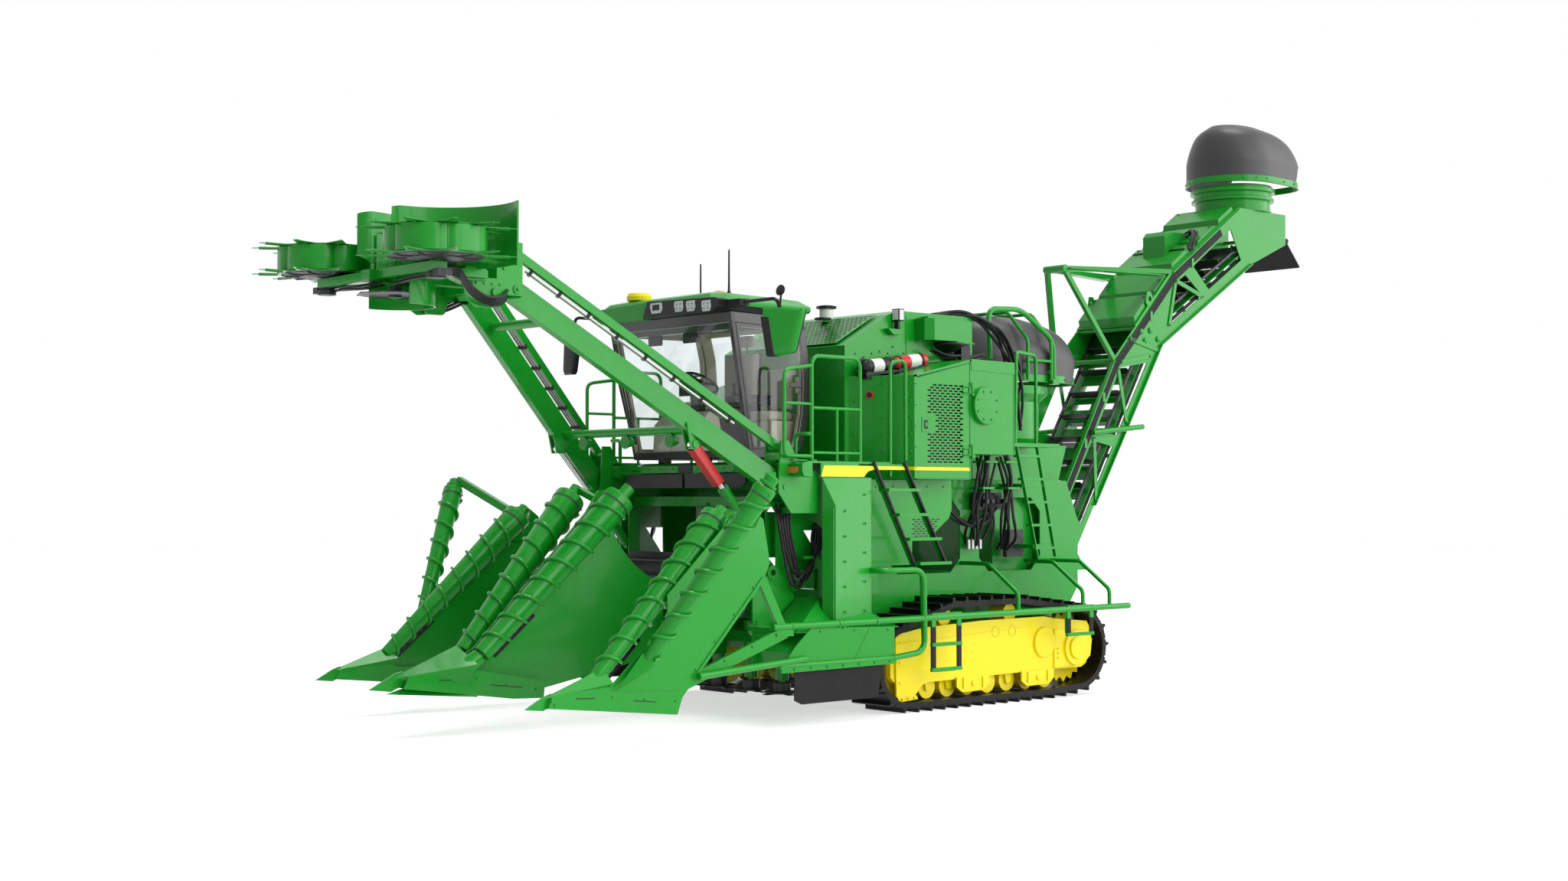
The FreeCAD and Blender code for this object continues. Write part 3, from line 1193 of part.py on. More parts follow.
def secondary_ring():
    """Round casing over the elevator's head with its fan motor."""
    low, lip = 5900, 6200
    shell = turned([(SECOND_R, low), (SECOND_R, lip), (SECOND_R + 50, lip),
                    (SECOND_R + 50, lip + 18), (SECOND_R - 15, lip + 18), (SECOND_R - 15, low)],
                   SECOND_X, 0)
    seat = turned([(SECOND_R - 60, low), (SECOND_R + 20, low), (SECOND_R + 20, low + 14),
                   (SECOND_R - 60, low + 14)], SECOND_X, 0)
    bars = box(SECOND_X - SECOND_R + 10, SECOND_X + SECOND_R - 10, -25, 25, 6150, 6200)
    motor = post(SECOND_X, 0, 6120, 6290, 90)
    shaft = post(SECOND_X, 0, 5960, 6120, 25)
    return fuse([shell, seat, bars, motor, shaft])


def elevator_covers():
    """Sheets over the elevator's upper part and the box on them."""
    low = plate_y([*TOP_CHORD[2:], *reversed(strip_side(TOP_CHORD[2:], 14))],
                  -ELEVATOR_Y, ELEVATOR_Y)
    case = plate_y([(-4560, 5125), (-4980, 5402), (-4980, 5520), (-4620, 5520), (-4560, 5460)],
                   -170, 170)
    return [low, case]


def elevator_hoses():
    """Hoses that lie on the left side plate, along the upper chord."""
    r = 10
    hoses = []
    for i in range(4):
        line = strip_side([(-2060, 2000), *TOP_CHORD[1:4], (-5300, 5605)], -(42 + 24 * i))
        hoses.append(bent_tube([V(x, ELEVATOR_Y + r, z) for x, z in line], r, 250))
    return hoses


def elevator_flap():
    """The swinging deflector under the elevator's head."""
    hinge = axle(-6840, 5560, -430, 430, 18)
    sheet = plate_y([(-6850, 5550), (-6835, 5545), (-7140, 5230), (-7152, 5245)], -430, 430)
    eyes = [axle(-6840, 5560, y, y + 12, 34) for y in (-442, 430)]
    return fuse([hinge, sheet, *eyes])


# Trim on the chassis --------------------------------------------------------
def handrails():
    """Rails along both platforms, standing on the deck."""
    r = 19
    y = TRACK_OUT - 22
    tall = bent_tube([V(2140, y, DECK_Z), V(2140, y, 3510), V(2780, y, 3510),
                      V(2780, y, DECK_Z)], r, 90)
    middle = rod(V(2140, y, 3010), V(2780, y, 3010), r - 4)
    front = bent_tube([V(2780, y, 2760), V(2830, y - 20, 2760), V(2828, 1400, 2760),
                       V(2828, 1400, DECK_Z)], r, 40)
    return both(fuse([tall, middle, front]))


def fender():
    """Box before the track, open below, with a sloped top."""
    front = plate_y([(1980, 560), (3180, 560), (3200, 700), (2900, 900), (2100, 900),
                     (1980, 760)], 1260, 1750)
    hollow = plate_y([(2000, 540), (3160, 540), (3160, 690), (2880, 880), (2110, 880),
                      (2000, 750)], 1280, 1730)
    return front.cut(hollow)


def mud_flaps():
    """Rubber skirts below the front boxes."""
    return both(plate_y([(2000, 560), (3150, 560), (3150, 250), (3060, 210), (2060, 210)],
                        1734, 1746))


STRAP_STEPS = ((946, 1336, 420), (-1130, -715, 680))    # rear, front, lowest


def guard_tubes():
    """Tube along the outside of a track, on arms that reach over it."""
    y, z = 1768, 960
    tube = bent_tube([V(2540, y, 900), V(2540, y, z), V(-1700, y, z)], 24, 40)
    arms = [bent_tube([V(x, FRAME_Y, 1450), V(x, 1350, 1450), V(x, y, 1150), V(x, y, z)], 22, 90)
            for x in (-1450, -1000, 40)]
    front = bent_tube([V(2000, 1260, 1437), V(2000, y, 1437), V(1480, y, 1437),
                       V(1450, y, 630), V(1970, y, 585)], 20, 80)
    tab = box(1930, 2080, 1750, y, 570, 600)
    straps = []
    for x0, x1, low in STRAP_STEPS:
        straps.append(bent_tube([V(x0, y, z), V(x0, y, low), V(x1, y, low), V(x1, y, z)], 11, 50))
    return fuse([tube, *arms, front, tab, *straps])


def front_steps():
    """Sloping steps up to the left platform, between the track and the deck."""
    parts = []
    for x_top, x_low in ((1975, 1421), (1549, 967)):
        rail = beam(V(x_top, 1570, 2466), V(x_low, 1570, 1490), 40, 14)
        parts.append(rail.common(box(900, 2100, 1500, 1700, 1400, DECK_Z - PLATE)))
    for i in range(4):
        z = 1490 + 245 * i
        shift = (z - 1490) * (1549 - 967) / (2466 - 1490)
        parts.append(box(967 + shift, 1421 + shift, 1552, 1700, z - 15, z + 15))
    parts.append(box(1500, 1990, 1550, 1600, 2440, DECK_Z - PLATE))
    return parts


def rear_ladder():
    """Ladder behind the engine, on links to the frame, with a hooped rail."""
    y = 1280
    parts = []
    for (x_top, z_top), (x_low, z_low) in (((-473, 2752), (-828, 1484)), ((-810, 2752), (-1120, 1503))):
        parts.append(beam(V(x_top, y, z_top), V(x_low, y, z_low), 40, 14))
    for i in range(5):
        z = 2600 - 250 * i
        shift = (2752 - z) * 0.27
        parts.append(box(-815 - shift, -468 - shift, y - 60, y + 20, z - 14, z + 14))
    for z, x in ((2260, -770), (1600, -950)):
        parts.append(box(x - 190, x + 190, FRAME_Y, y, z, z + 40))
    platform = box(-1180, -440, CHAMBER_Y, y + 20, 2700, 2740)
    rail = bent_tube([V(-470, y, 2740), V(-560, y - 60, 3735), V(-1130, 1000, 3735),
                      V(-1130, 1000, 2740)], 19, 90)
    return [*parts, platform, rail]


def ladders():
    return fuse(front_steps()), fuse(rear_ladder())


def mirrors():
    """Both outside mirrors on bent arms from the cab's roof edge."""
    parts = []
    for x, y, z in ((3210, 1460, 3720), (3500, -1310, 3690)):
        side = math.copysign(1, y)
        root = V(min(x, 3300), side * 900, 3980)
        shell = Part.makeLoft([mirror_ring(x - 35, y, z, 95, 225), mirror_ring(x, y, z, 95, 225),
                               mirror_ring(x + 35, y, z, 70, 190)], True, True)
        arm = bent_tube([root, V(x, y - side * 120, 4000), V(x, y - side * 60, z + 90)], 14, 60)
        foot = rod(V(x, y - side * 60, z + 90), V(x, y, z + 90), 14)
        parts.append(fuse([shell, arm, foot]).cut(cab_roof()))
    return parts


def mirror_ring(x, y, z, half_width, half_height):
    corner = 35
    w, h = half_width, half_height
    outline = [(w, h - corner), (w - corner, h), (corner - w, h), (-w, h - corner),
               (-w, corner - h), (corner - w, -h), (w - corner, -h), (w, corner - h)]
    points = [V(x, y + dy, z + dz) for dy, dz in outline]
    return Part.makePolygon([*points, points[0]])


FRONT_HOSE = [V(3934, 1533, 2018), V(3934, 1400, 2018), V(3740, 1400, 1500),
              V(3700, 1400, 1030), V(3440, 1400, 1030), V(3430, 1400, 1830),
              V(3660, 1800, 1880)]


def front_hose():
    """Hanging hose of the left inner scroll's motor."""
    return bent_tube(FRONT_HOSE, 17, 105)


def air_intake():
    """Pre-cleaner bowl on a short stack through the housing's top."""
    x = 850
    stack = post(x, 0, HOUSING_TOP, HOUSING_TOP + 70, 95)
    bowl = turned([(0, HOUSING_TOP + 70), (120, HOUSING_TOP + 70), (140, HOUSING_TOP + 95),
                   (140, HOUSING_TOP + 165), (90, HOUSING_TOP + 195), (0, HOUSING_TOP + 200)], x, 0)
    return fuse([stack, bowl])


# Save every piece -----------------------------------------------------------
left_track = track()
save("track_left", left_track)
save("track_right", mirrored(left_track))
left_frame = track_frame()
save("track_frame_left", left_frame)
save("track_frame_right", mirrored(left_frame))
save("main_frame", main_frame())
save("throat_walls", throat_walls())
save("basecutter_box", basecutter_box())
for number, y in enumerate(BASECUTTER_Y, 1):
    save(f"basecutter_{number}", basecutter(y))
save("knockdown_roller", knockdown_roller())
save("cleaning_chamber", cleaning_chamber())
save("extractor_drum", extractor_drum())
save("primary_fan", fan(DRUM_AXIS_X, 3100, 3200, DRUM_R - 40, 90, 31))
save("primary_hood", hood(*PRIMARY_HOOD))
save("hood_frame", hood_frame())
save("deck", deck())
save("engine_housing", engine_housing(), *screen_bars())
save("engine_block", engine_block())
save("side_boxes", side_box(), mirrored(plate_y(SIDE_TOP, HOUSING_Y, SIDE_BOX_Y)))
save("grille_door", grille_door())
save("cab_frame", cab_frame())
save("cab_roof", cab_roof())
save("cab_glass", cab_glass())
save("cab_door", cab_door())
save("door_glass", door_glass())
save("cab_interior", cab_interior())
save("topper_arms", topper_arms())
save("topper_links", topper_links())
save("lift_barrels", *both(lift_barrel()))
save("lift_rods", *both(lift_rod()))
save("topper_head", topper_head())
save("drum_left", gathering_drum(1))
save("drum_right", gathering_drum(-1))
save("topper_disc", topper_disc())
left_divider = side_divider()
save("divider_left", left_divider)
save("divider_right", mirrored(left_divider))
save("divider_centre", centre_divider())
for key in SCROLLS:
    save(f"scroll_{key}_left", scroll(key, 1))
    save(f"scroll_{key}_right", scroll(key, -1))
save("elevator_turntable", elevator_turntable())
save("elevator_frame", elevator_frame())
save("elevator_chain", elevator_chain())
save("elevator_flap", elevator_flap())
save("secondary_fan", fan(SECOND_X, 5970, 6050, 450, 70, 26, 4))
save("secondary_hood", hood(*SECOND_HOOD))
save("handrails", *handrails())
save("fenders", *both(fender()))
save("mud_flaps", *mud_flaps())
save("guard_tubes", *both(guard_tubes()))
save("ladders", *ladders())
save("mirrors", *mirrors())
save("air_intake", air_intake())
save("elevator_hoses", *elevator_hoses())
save("front_hose", front_hose().cut(left_divider))
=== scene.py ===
"""Two-row tracked sugarcane harvester: finishes and fittings round its frame.

Metres.  +X is forward, +Y is the machine's left, +Z is up.
"""

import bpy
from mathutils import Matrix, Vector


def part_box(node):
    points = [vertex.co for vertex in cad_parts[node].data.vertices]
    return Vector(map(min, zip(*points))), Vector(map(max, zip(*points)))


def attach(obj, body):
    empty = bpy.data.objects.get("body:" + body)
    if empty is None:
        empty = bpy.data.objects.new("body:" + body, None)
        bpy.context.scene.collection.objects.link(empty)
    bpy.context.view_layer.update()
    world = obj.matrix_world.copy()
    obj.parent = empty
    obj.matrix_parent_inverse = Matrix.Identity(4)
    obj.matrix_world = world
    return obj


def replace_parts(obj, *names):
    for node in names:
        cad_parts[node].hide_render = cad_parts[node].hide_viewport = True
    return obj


bl_info = {
    "name": "Sugarcane Harvester",
    "version": (1, 0, 0),
    "blender": (4, 5, 0),
    "location": "3D View > Sidebar > Harvester",
    "description": "Finishes and fittings of a two-row tracked sugarcane harvester",
    "category": "Add Mesh",
}

import math

import bmesh
import bpy
from bpy.props import FloatProperty, FloatVectorProperty, IntProperty, PointerProperty
from mathutils import Vector

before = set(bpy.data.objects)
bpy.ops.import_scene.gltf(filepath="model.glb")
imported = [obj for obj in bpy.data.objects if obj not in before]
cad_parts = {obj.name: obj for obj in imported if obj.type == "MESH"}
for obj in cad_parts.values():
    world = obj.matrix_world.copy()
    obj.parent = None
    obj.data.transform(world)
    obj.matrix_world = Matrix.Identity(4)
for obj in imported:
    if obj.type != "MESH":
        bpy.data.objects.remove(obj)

UP = Vector((0, 0, 1))
LEFT = Vector((0, 1, 0))
AHEAD = Vector((1, 0, 0))


# Sizes and colours that a user may change -------------------------------------
def colour(name, description, default):
    return FloatVectorProperty(name=name, description=description, default=default, subtype="COLOR",
                               size=3, min=0.0, max=1.0)


def length(name, description, default):
    return FloatProperty(name=name, description=description, default=default, unit="LENGTH",
                         min=0.0005)


class HarvesterColours(bpy.types.PropertyGroup):
    """Colours of the paints, rubber, plastic and cloth"""
    green: colour("Green", "Paint of the sheet metal", (0.006, 0.32, 0.018))
    yellow: colour("Yellow", "Paint of the track frames and stripes", (0.96, 0.79, 0.004))
    red: colour("Red", "Lacquer of the lock bar and the extinguishers", (0.7, 0.022, 0.03))
    hood: colour("Hood", "Moulded plastic of the extractor hoods", (0.034, 0.034, 0.035))
    trim: colour("Trim", "Black paint and plastic of the cab", (0.012, 0.012, 0.013))
    rubber: colour("Rubber", "Tracks, flaps and hoses", (0.006, 0.006, 0.006))
    steel: colour("Steel", "Dark working parts", (0.028, 0.029, 0.031))
    seat: colour("Seat", "Woven cloth of the seat", (0.52, 0.465, 0.37))
    lining: colour("Lining", "Inner trim of the cab", (0.56, 0.5, 0.4))
    glass: colour("Glass", "Tint of the cab's glass", (0.935, 0.955, 0.955))
    floor: colour("Floor", "The pale ground under the machine", (0.8, 0.8, 0.8))


class HarvesterSizes(bpy.types.PropertyGroup):
    """Sizes of small fittings"""
    bolt: length("Bolt", "Width of a bolt head", 0.024)
    pipe: length("Pipe", "Diameter of a hydraulic pipe", 0.024)
    stripe: length("Stripe", "Height of the yellow stripe", 0.036)
    guard_tube: length("Guard tube", "Radius of the tubes beside the tracks", 0.033)
    weave: length("Weave", "Spacing of the threads in the seat's cloth", 0.004)
    cloth_steps: IntProperty(name="Cloth steps", description="Frames that a cushion swells for",
                             default=16, min=1, max=40)


def colours():
    return bpy.context.scene.harvester_colours


def sizes():
    return bpy.context.scene.harvester_sizes


# Shader maths -----------------------------------------------------------------
class Value:
    """A shader socket that takes part in arithmetic."""

    def __init__(self, recipe, socket):
        self.recipe = recipe
        self.socket = socket

    def _math(self, operation, first, second):
        return self.recipe.node("ShaderNodeMath", {"operation": operation}, {0: first, 1: second})

    def __add__(self, other):
        return self._math("ADD", self, other)

    def __radd__(self, other):
        return self._math("ADD", other, self)

    def __sub__(self, other):
        return self._math("SUBTRACT", self, other)

    def __rsub__(self, other):
        return self._math("SUBTRACT", other, self)

    def __mul__(self, other):
        return self._math("MULTIPLY", self, other)

    def __rmul__(self, other):
        return self._math("MULTIPLY", other, self)

    def over(self, edge):
        """1 where the value is greater than the edge, else 0."""
        return self._math("GREATER_THAN", self, edge)

    def sine(self):
        return self.recipe.node("ShaderNodeMath", {"operation": "SINE"}, {0: self})

    def rise(self, low, high, start=0.0, end=1.0):
        """Runs smoothly from start to end as the value goes from low to high."""
        return self.recipe.node("ShaderNodeMapRange", {"interpolation_type": "SMOOTHSTEP"},
                                {0: self, 1: low, 2: high, 3: start, 4: end})


class Recipe:
    """One material or world: its node tree and the surface that feeds the output."""

    def __init__(self, name, for_world=False):
        self.made = (bpy.data.worlds if for_world else bpy.data.materials).new(name)
        self.made.use_nodes = True
        self.tree = self.made.node_tree
        self.tree.nodes.clear()
        kind = "World" if for_world else "Material"
        self.output = self.tree.nodes.new("ShaderNodeOutput" + kind)
        self.point = self.node("ShaderNodeTexCoord", output="Object")

    def feed(self, socket, value):
        """Links a wrapped socket, or sets a plain value."""
        if isinstance(value, Value):
            self.tree.links.new(value.socket, socket)
        else:
            socket.default_value = value

    def node(self, kind, settings=None, inputs=None, output=0):
        """Adds a node: its settings first, then what its sockets hold or link to."""
        made = self.tree.nodes.new(kind)
        for key, value in (settings or {}).items():
            if key == "stops":
                ramp = made.color_ramp
                while len(ramp.elements) < len(value):
                    ramp.elements.new(0.5)
                for element, (place, shade) in zip(ramp.elements, value):
                    element.position = place
                    element.color = (*shade, 1)
            else:
                setattr(made, key, value)
        for key, value in (inputs or {}).items():
            self.feed(made.inputs[key], value)
        return Value(self, made.outputs[output])

    def noise(self, scale, detail=2.0):
        """Cloudy values from 0 to 1, finer for a larger scale."""
        return self.node("ShaderNodeTexNoise", {},
                         {"Vector": self.point, "Scale": scale, "Detail": detail}, "Fac")

    def mix(self, share, first, second):
        """A colour between two, by share."""
        def rgba(c):
            return c if isinstance(c, Value) else (*c, 1)
        return self.node("ShaderNodeMix", {"data_type": "RGBA"},
                         {0: share, 6: rgba(first), 7: rgba(second)}, 2)

    def part(self, axis):
        """One coordinate of the point, X, Y or Z."""
        return self.node("ShaderNodeSeparateXYZ", {}, {0: self.point}, axis)

    def rounded_edge(self, radius):
        """A normal that turns softly over an edge."""
        return self.node("ShaderNodeBevel", {"samples": 4}, {"Radius": radius})

    def edge_share(self, radius):
        """Goes to 1 along sharp edges."""
        flat = self.node("ShaderNodeNewGeometry", output="True Normal")
        agree = self.node("ShaderNodeVectorMath", {"operation": "DOT_PRODUCT"},
                          {0: self.rounded_edge(radius), 1: flat}, "Value")
        return (1 - agree).rise(0.02, 0.35)

    def bump(self, height, distance, strength, normal=None):
        """A normal that follows a height."""
        inputs = {"Height": height, "Distance": distance, "Strength": strength}
        if normal is not None:
            inputs["Normal"] = normal
        return self.node("ShaderNodeBump", {}, inputs)

    def finish(self, **sockets):
        """A Principled surface with the sockets named as in Base_Color."""
        surface = self.node("ShaderNodeBsdfPrincipled", {},
                            {key.replace("_", " "): (*value, 1) if isinstance(value, tuple) and
                             len(value) == 3 else value for key, value in sockets.items()})
        return self.wear(surface)

    def wear(self, surface):
        """Feeds the output and gives back the finished material or world."""
        self.feed(self.output.inputs["Surface"], surface)
        return self.made

    def seen_share(self):
        """1 for rays seen straight, in a mirror or through glass, else 0."""
        camera, glossy, through = (self.node("ShaderNodeLightPath", output=f"Is {kind} Ray")
                                   for kind in ("Camera", "Glossy", "Transmission"))
        return camera + glossy + through


def darker(shade, share):
    return tuple(c * share for c in shade)


def paler(shade, share):
    return tuple(c + (1 - c) * share for c in shade)


# Finishes ---------------------------------------------------------------------
def paint(name, shade, gloss=0.24):
    """Machine paint: slight colour drift, pale dust specks, painted highlights on the edges."""
    recipe = Recipe(name)
    drift = recipe.noise(0.9, 3.0)
    speck = recipe.noise(14.0, 4.0)
    edge = recipe.edge_share(0.007)
    base = recipe.mix(drift, darker(shade, 0.9), shade)
    base = recipe.mix(speck.rise(0.55, 0.8) * 0.05, base, paler(shade, 0.08))
    # Paler along sharp edges: a painted highlight.
    base = recipe.mix(edge * 0.3, base, paler(shade, 0.22))
    peel = recipe.noise(160.0, 1.0)
    return recipe.finish(Base_Color=base, Roughness=speck.rise(0.2, 0.8, gloss, gloss + 0.14),
                         Coat_Weight=0.22, Coat_Roughness=0.09, Specular_IOR_Level=0.22,
                         Normal=recipe.bump(peel, 0.0004, 0.35, recipe.rounded_edge(0.006)))


def moulded_plastic():
    """Rotation-moulded hood plastic with a fine grain and a faint bloom."""
    shade = tuple(colours().hood)
    recipe = Recipe("hood_plastic")
    bloom = recipe.noise(1.6, 3.0)
    grain = recipe.noise(420.0, 2.0)
    base = recipe.mix(bloom, darker(shade, 0.85), paler(shade, 0.035))
    return recipe.finish(Base_Color=base, Roughness=grain.rise(0.3, 0.7, 0.4, 0.52),
                         Specular_IOR_Level=0.35, Coat_Weight=0.1, Coat_Roughness=0.3,
                         Normal=recipe.bump(grain, 0.0006, 0.5, recipe.rounded_edge(0.01)))


def black_trim():
    """Satin black paint and plastic."""
    shade = tuple(colours().trim)
    recipe = Recipe("black_trim")
    grain = recipe.noise(260.0, 2.0)
    edge = recipe.edge_share(0.006)
    # Paler along sharp edges: a painted highlight.
    base = recipe.mix(edge * 0.5, shade, paler(shade, 0.08))
    return recipe.finish(Base_Color=base, Roughness=grain.rise(0.3, 0.7, 0.3, 0.42),
                         Specular_IOR_Level=0.2, Coat_Weight=0.08, Coat_Roughness=0.2,
                         Normal=recipe.bump(grain, 0.0004, 0.4, recipe.rounded_edge(0.006)))


def cab_shell():
    """Black outside, pale trim on the faces that look into the cab."""
    outside, inside = tuple(colours().trim), tuple(colours().lining)
    recipe = Recipe("cab_shell")
    low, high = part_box("cab_frame")
    centre = (low + high) / 2
    inward = recipe.node("ShaderNodeVectorMath", {"operation": "SUBTRACT"},
                         {0: tuple(centre), 1: recipe.point})
    facing = recipe.node("ShaderNodeVectorMath", {"operation": "DOT_PRODUCT"},
                         {0: inward, 1: recipe.node("ShaderNodeNewGeometry", output="True Normal")},
                         "Value")
    lined = facing.over(0.0)
    grain = recipe.noise(240.0, 2.0)
    base = recipe.mix(lined, outside, recipe.mix(recipe.noise(3.0), darker(inside, 0.85), inside))
    return recipe.finish(Base_Color=base, Roughness=0.3 + lined * 0.35,
                         Normal=recipe.bump(grain, 0.0005, 0.4, recipe.rounded_edge(0.006)))


def track_rubber():
    """Black shoes with darker random scuffs, and painted highlights on the edges."""
    shade = tuple(colours().rubber)
    recipe = Recipe("track_rubber")
    scuff_and_highlight_noise = recipe.noise(9.0, 5.0)
    edge = recipe.edge_share(0.01)
    # Paler along sharp edges, broken up by noise: a painted highlight.
    base = recipe.mix(edge * scuff_and_highlight_noise.rise(0.35, 0.7) * 0.8, shade, paler(shade, 0.1))
    base = recipe.mix(scuff_and_highlight_noise.rise(0.5, 0.75) * 0.4, base, darker(shade, 0.5))
    return recipe.finish(Base_Color=base, Roughness=scuff_and_highlight_noise.rise(0.3, 0.7, 0.3, 0.5),
                         Specular_IOR_Level=0.16,
                         Normal=recipe.bump(recipe.noise(120.0, 3.0), 0.0012, 0.5,
                                            recipe.rounded_edge(0.008)))


def hose_rubber():
    """Smooth black hose with a soft shine and fine marks."""
    shade = tuple(colours().rubber)
    recipe = Recipe("hose_rubber")
    marks = recipe.noise(90.0, 3.0)
    base = recipe.mix(marks.rise(0.4, 0.7), shade, paler(shade, 0.03))
    return recipe.finish(Base_Color=base, Roughness=marks.rise(0.3, 0.7, 0.27, 0.4),
                         Specular_IOR_Level=0.2, Coat_Weight=0.05, Coat_Roughness=0.2,
                         Normal=recipe.bump(marks, 0.0006, 0.4))


def flap_rubber():
    """Dull sheet rubber with faint ripples."""
    shade = tuple(colours().rubber)
    recipe = Recipe("flap_rubber")
    ripple = recipe.noise(5.0, 2.0)
    base = recipe.mix(ripple, shade, paler(shade, 0.008))
    return recipe.finish(Base_Color=base, Roughness=recipe.noise(60.0).rise(0.3, 0.7, 0.42, 0.58),
                         Specular_IOR_Level=0.14,
                         Normal=recipe.bump(ripple, 0.01, 0.5))


def worn_steel():
    """Dark working steel with rubbed, more metallic edges that also carry a painted highlight."""
    shade = tuple(colours().steel)
    recipe = Recipe("worn_steel")
    scale = recipe.noise(22.0, 5.0)
    edge = recipe.edge_share(0.006)
    base = recipe.mix(scale, darker(shade, 0.7), shade)
    # Brighter and more metallic along sharp edges: rubbed metal, and a painted highlight in the
    # colour.
    base = recipe.mix(edge * 0.6, base, (0.3, 0.3, 0.31))
    return recipe.finish(Base_Color=base, Metallic=0.35 + edge * 0.4,
                         Roughness=scale.rise(0.3, 0.7, 0.34, 0.55),
                         Normal=recipe.bump(scale, 0.0012, 0.5, recipe.rounded_edge(0.005)))


def bright_steel(name="bright_steel", shade=(0.62, 0.63, 0.64), rough=0.16):
    """Ground or zinc-plated steel with fine marks."""
    recipe = Recipe(name)
    marks = recipe.noise(180.0, 3.0)
    return recipe.finish(Base_Color=recipe.mix(marks, darker(shade, 0.86), shade), Metallic=0.95,
                         Roughness=marks.rise(0.3, 0.7, rough, rough + 0.12),
                         Normal=recipe.bump(marks, 0.0003, 0.3))


def cab_glass_finish():
    """Clear tinted pane: mirror-like at a slant, clear straight through."""
    tint = tuple(colours().glass)
    recipe = Recipe("cab_glass_clear")
    smear = recipe.noise(2.2, 3.0)
    clear = recipe.node("ShaderNodeBsdfTransparent", {}, {"Color": (*tint, 1)})
    shine = recipe.node("ShaderNodeBsdfPrincipled", {},
                        {"Base Color": (0.95, 0.97, 0.97, 1), "Metallic": 1.0,
                         "Roughness": smear.rise(0.3, 0.7, 0.015, 0.05)})
    slant = recipe.node("ShaderNodeFresnel", {}, {"IOR": 1.4})
    behind = recipe.node("ShaderNodeNewGeometry", output="Backfacing")
    share = slant * (1 - behind) * 0.7 + smear * 0.012
    return recipe.wear(recipe.node("ShaderNodeMixShader", {}, {0: share, 1: clear, 2: shine}))


def lens_finish(name, shade):
    """Ribbed lamp lens."""
    recipe = Recipe(name)
    ribs = (recipe.part("Y") * 900.0).sine() * 0.5 + 0.5
    base = recipe.mix(ribs, darker(shade, 0.72), shade)
    return recipe.finish(Base_Color=base, Roughness=0.1, Coat_Weight=0.6, Coat_Roughness=0.03,
                         Specular_IOR_Level=0.6, Normal=recipe.bump(ribs, 0.001, 0.4))


def woven_cloth():
    """Seat cloth: two crossing sets of threads with a soft sheen."""
    shade = tuple(colours().seat)
    recipe = Recipe("woven_cloth")
    turns = 2 * math.pi / sizes().weave
    across = (recipe.part("Y") * turns).sine()
    upward = ((recipe.part("Z") + recipe.part("X")) * turns).sine()
    weave = across * upward * 0.5 + 0.5
    mottle = recipe.noise(30.0, 4.0)
    base = recipe.mix(weave * 0.5 + mottle * 0.3, darker(shade, 0.62), shade)
    return recipe.finish(Base_Color=base, Roughness=mottle.rise(0.2, 0.8, 0.78, 0.92),
                         Sheen_Weight=0.35, Sheen_Roughness=0.45,
                         Normal=recipe.bump(weave, 0.0012, 0.6))


def soft_trim():
    """Grained beige lining."""
    shade = tuple(colours().lining)
    recipe = Recipe("soft_trim")
    grain = recipe.noise(200.0, 3.0)
    base = recipe.mix(recipe.noise(2.5, 2.0), darker(shade, 0.8), shade)
    return recipe.finish(Base_Color=base, Roughness=grain.rise(0.3, 0.7, 0.5, 0.66),
                         Normal=recipe.bump(grain, 0.001, 0.5, recipe.rounded_edge(0.006)))


def ground_finish():
    """Pale ground that keeps the machine's shadow and shows white elsewhere."""
    shade = tuple(colours().floor)
    recipe = Recipe("pale_ground")
    plain = recipe.node("ShaderNodeBsdfDiffuse", {}, {"Color": (*shade, 1)})
    white = recipe.node("ShaderNodeEmission", {}, {"Color": (1, 1, 1, 1), "Strength": 0.6})
    shown = recipe.node("ShaderNodeMixShader", {}, {0: recipe.seen_share(), 2: white})
    return recipe.wear(recipe.node("ShaderNodeAddShader", {}, {0: plain, 1: shown}))


FINISHES = {
    "green": lambda: paint("green_enamel", tuple(colours().green)),
    "yellow": lambda: paint("yellow_enamel", tuple(colours().yellow), 0.26),
    "red": lambda: paint("red_lacquer", tuple(colours().red), 0.2),
    "white": lambda: paint("white_enamel", (0.8, 0.8, 0.78), 0.22),
    "grey": lambda: paint("grey_enamel", (0.2, 0.205, 0.21), 0.34),
    "hood": moulded_plastic,
    "black": black_trim,
    "cab": cab_shell,
    "track": track_rubber,
    "hose": hose_rubber,
    "flap": flap_rubber,
    "dark": worn_steel,
    "chrome": lambda: bright_steel("ground_rod", (0.7, 0.71, 0.72), 0.08),
    "zinc": lambda: bright_steel("zinc_plate", (0.5, 0.5, 0.48), 0.26),
    "glass": cab_glass_finish,
    "lens": lambda: lens_finish("clear_lens", (0.74, 0.76, 0.78)),
    "amber": lambda: lens_finish("amber_lens", (0.8, 0.21, 0.015)),
    "cloth": woven_cloth,
    "lining": soft_trim,
}
MADE = {}


def finish(name):
    """The material of that name, made when it is first asked for."""
    if name not in MADE:
        MADE[name] = FINISHES[name]()
    return MADE[name]


# Meshes -----------------------------------------------------------------------
def smooth_path(points, steps=6):
    """Points along a soft curve through the given ones."""
    ends = [points[0] * 2 - points[1], *points, points[-1] * 2 - points[-2]]
    path = []
    for a, b, c, d in zip(ends, ends[1:], ends[2:], ends[3:]):
        for i in range(steps):
            t = i / steps
            path.append(0.5 * (2 * b + (c - a) * t + (2 * a - 5 * b + 4 * c - d) * t * t
                               + (3 * b - a - 3 * c + d) * t * t * t))
    path.append(points[-1].copy())
    return path


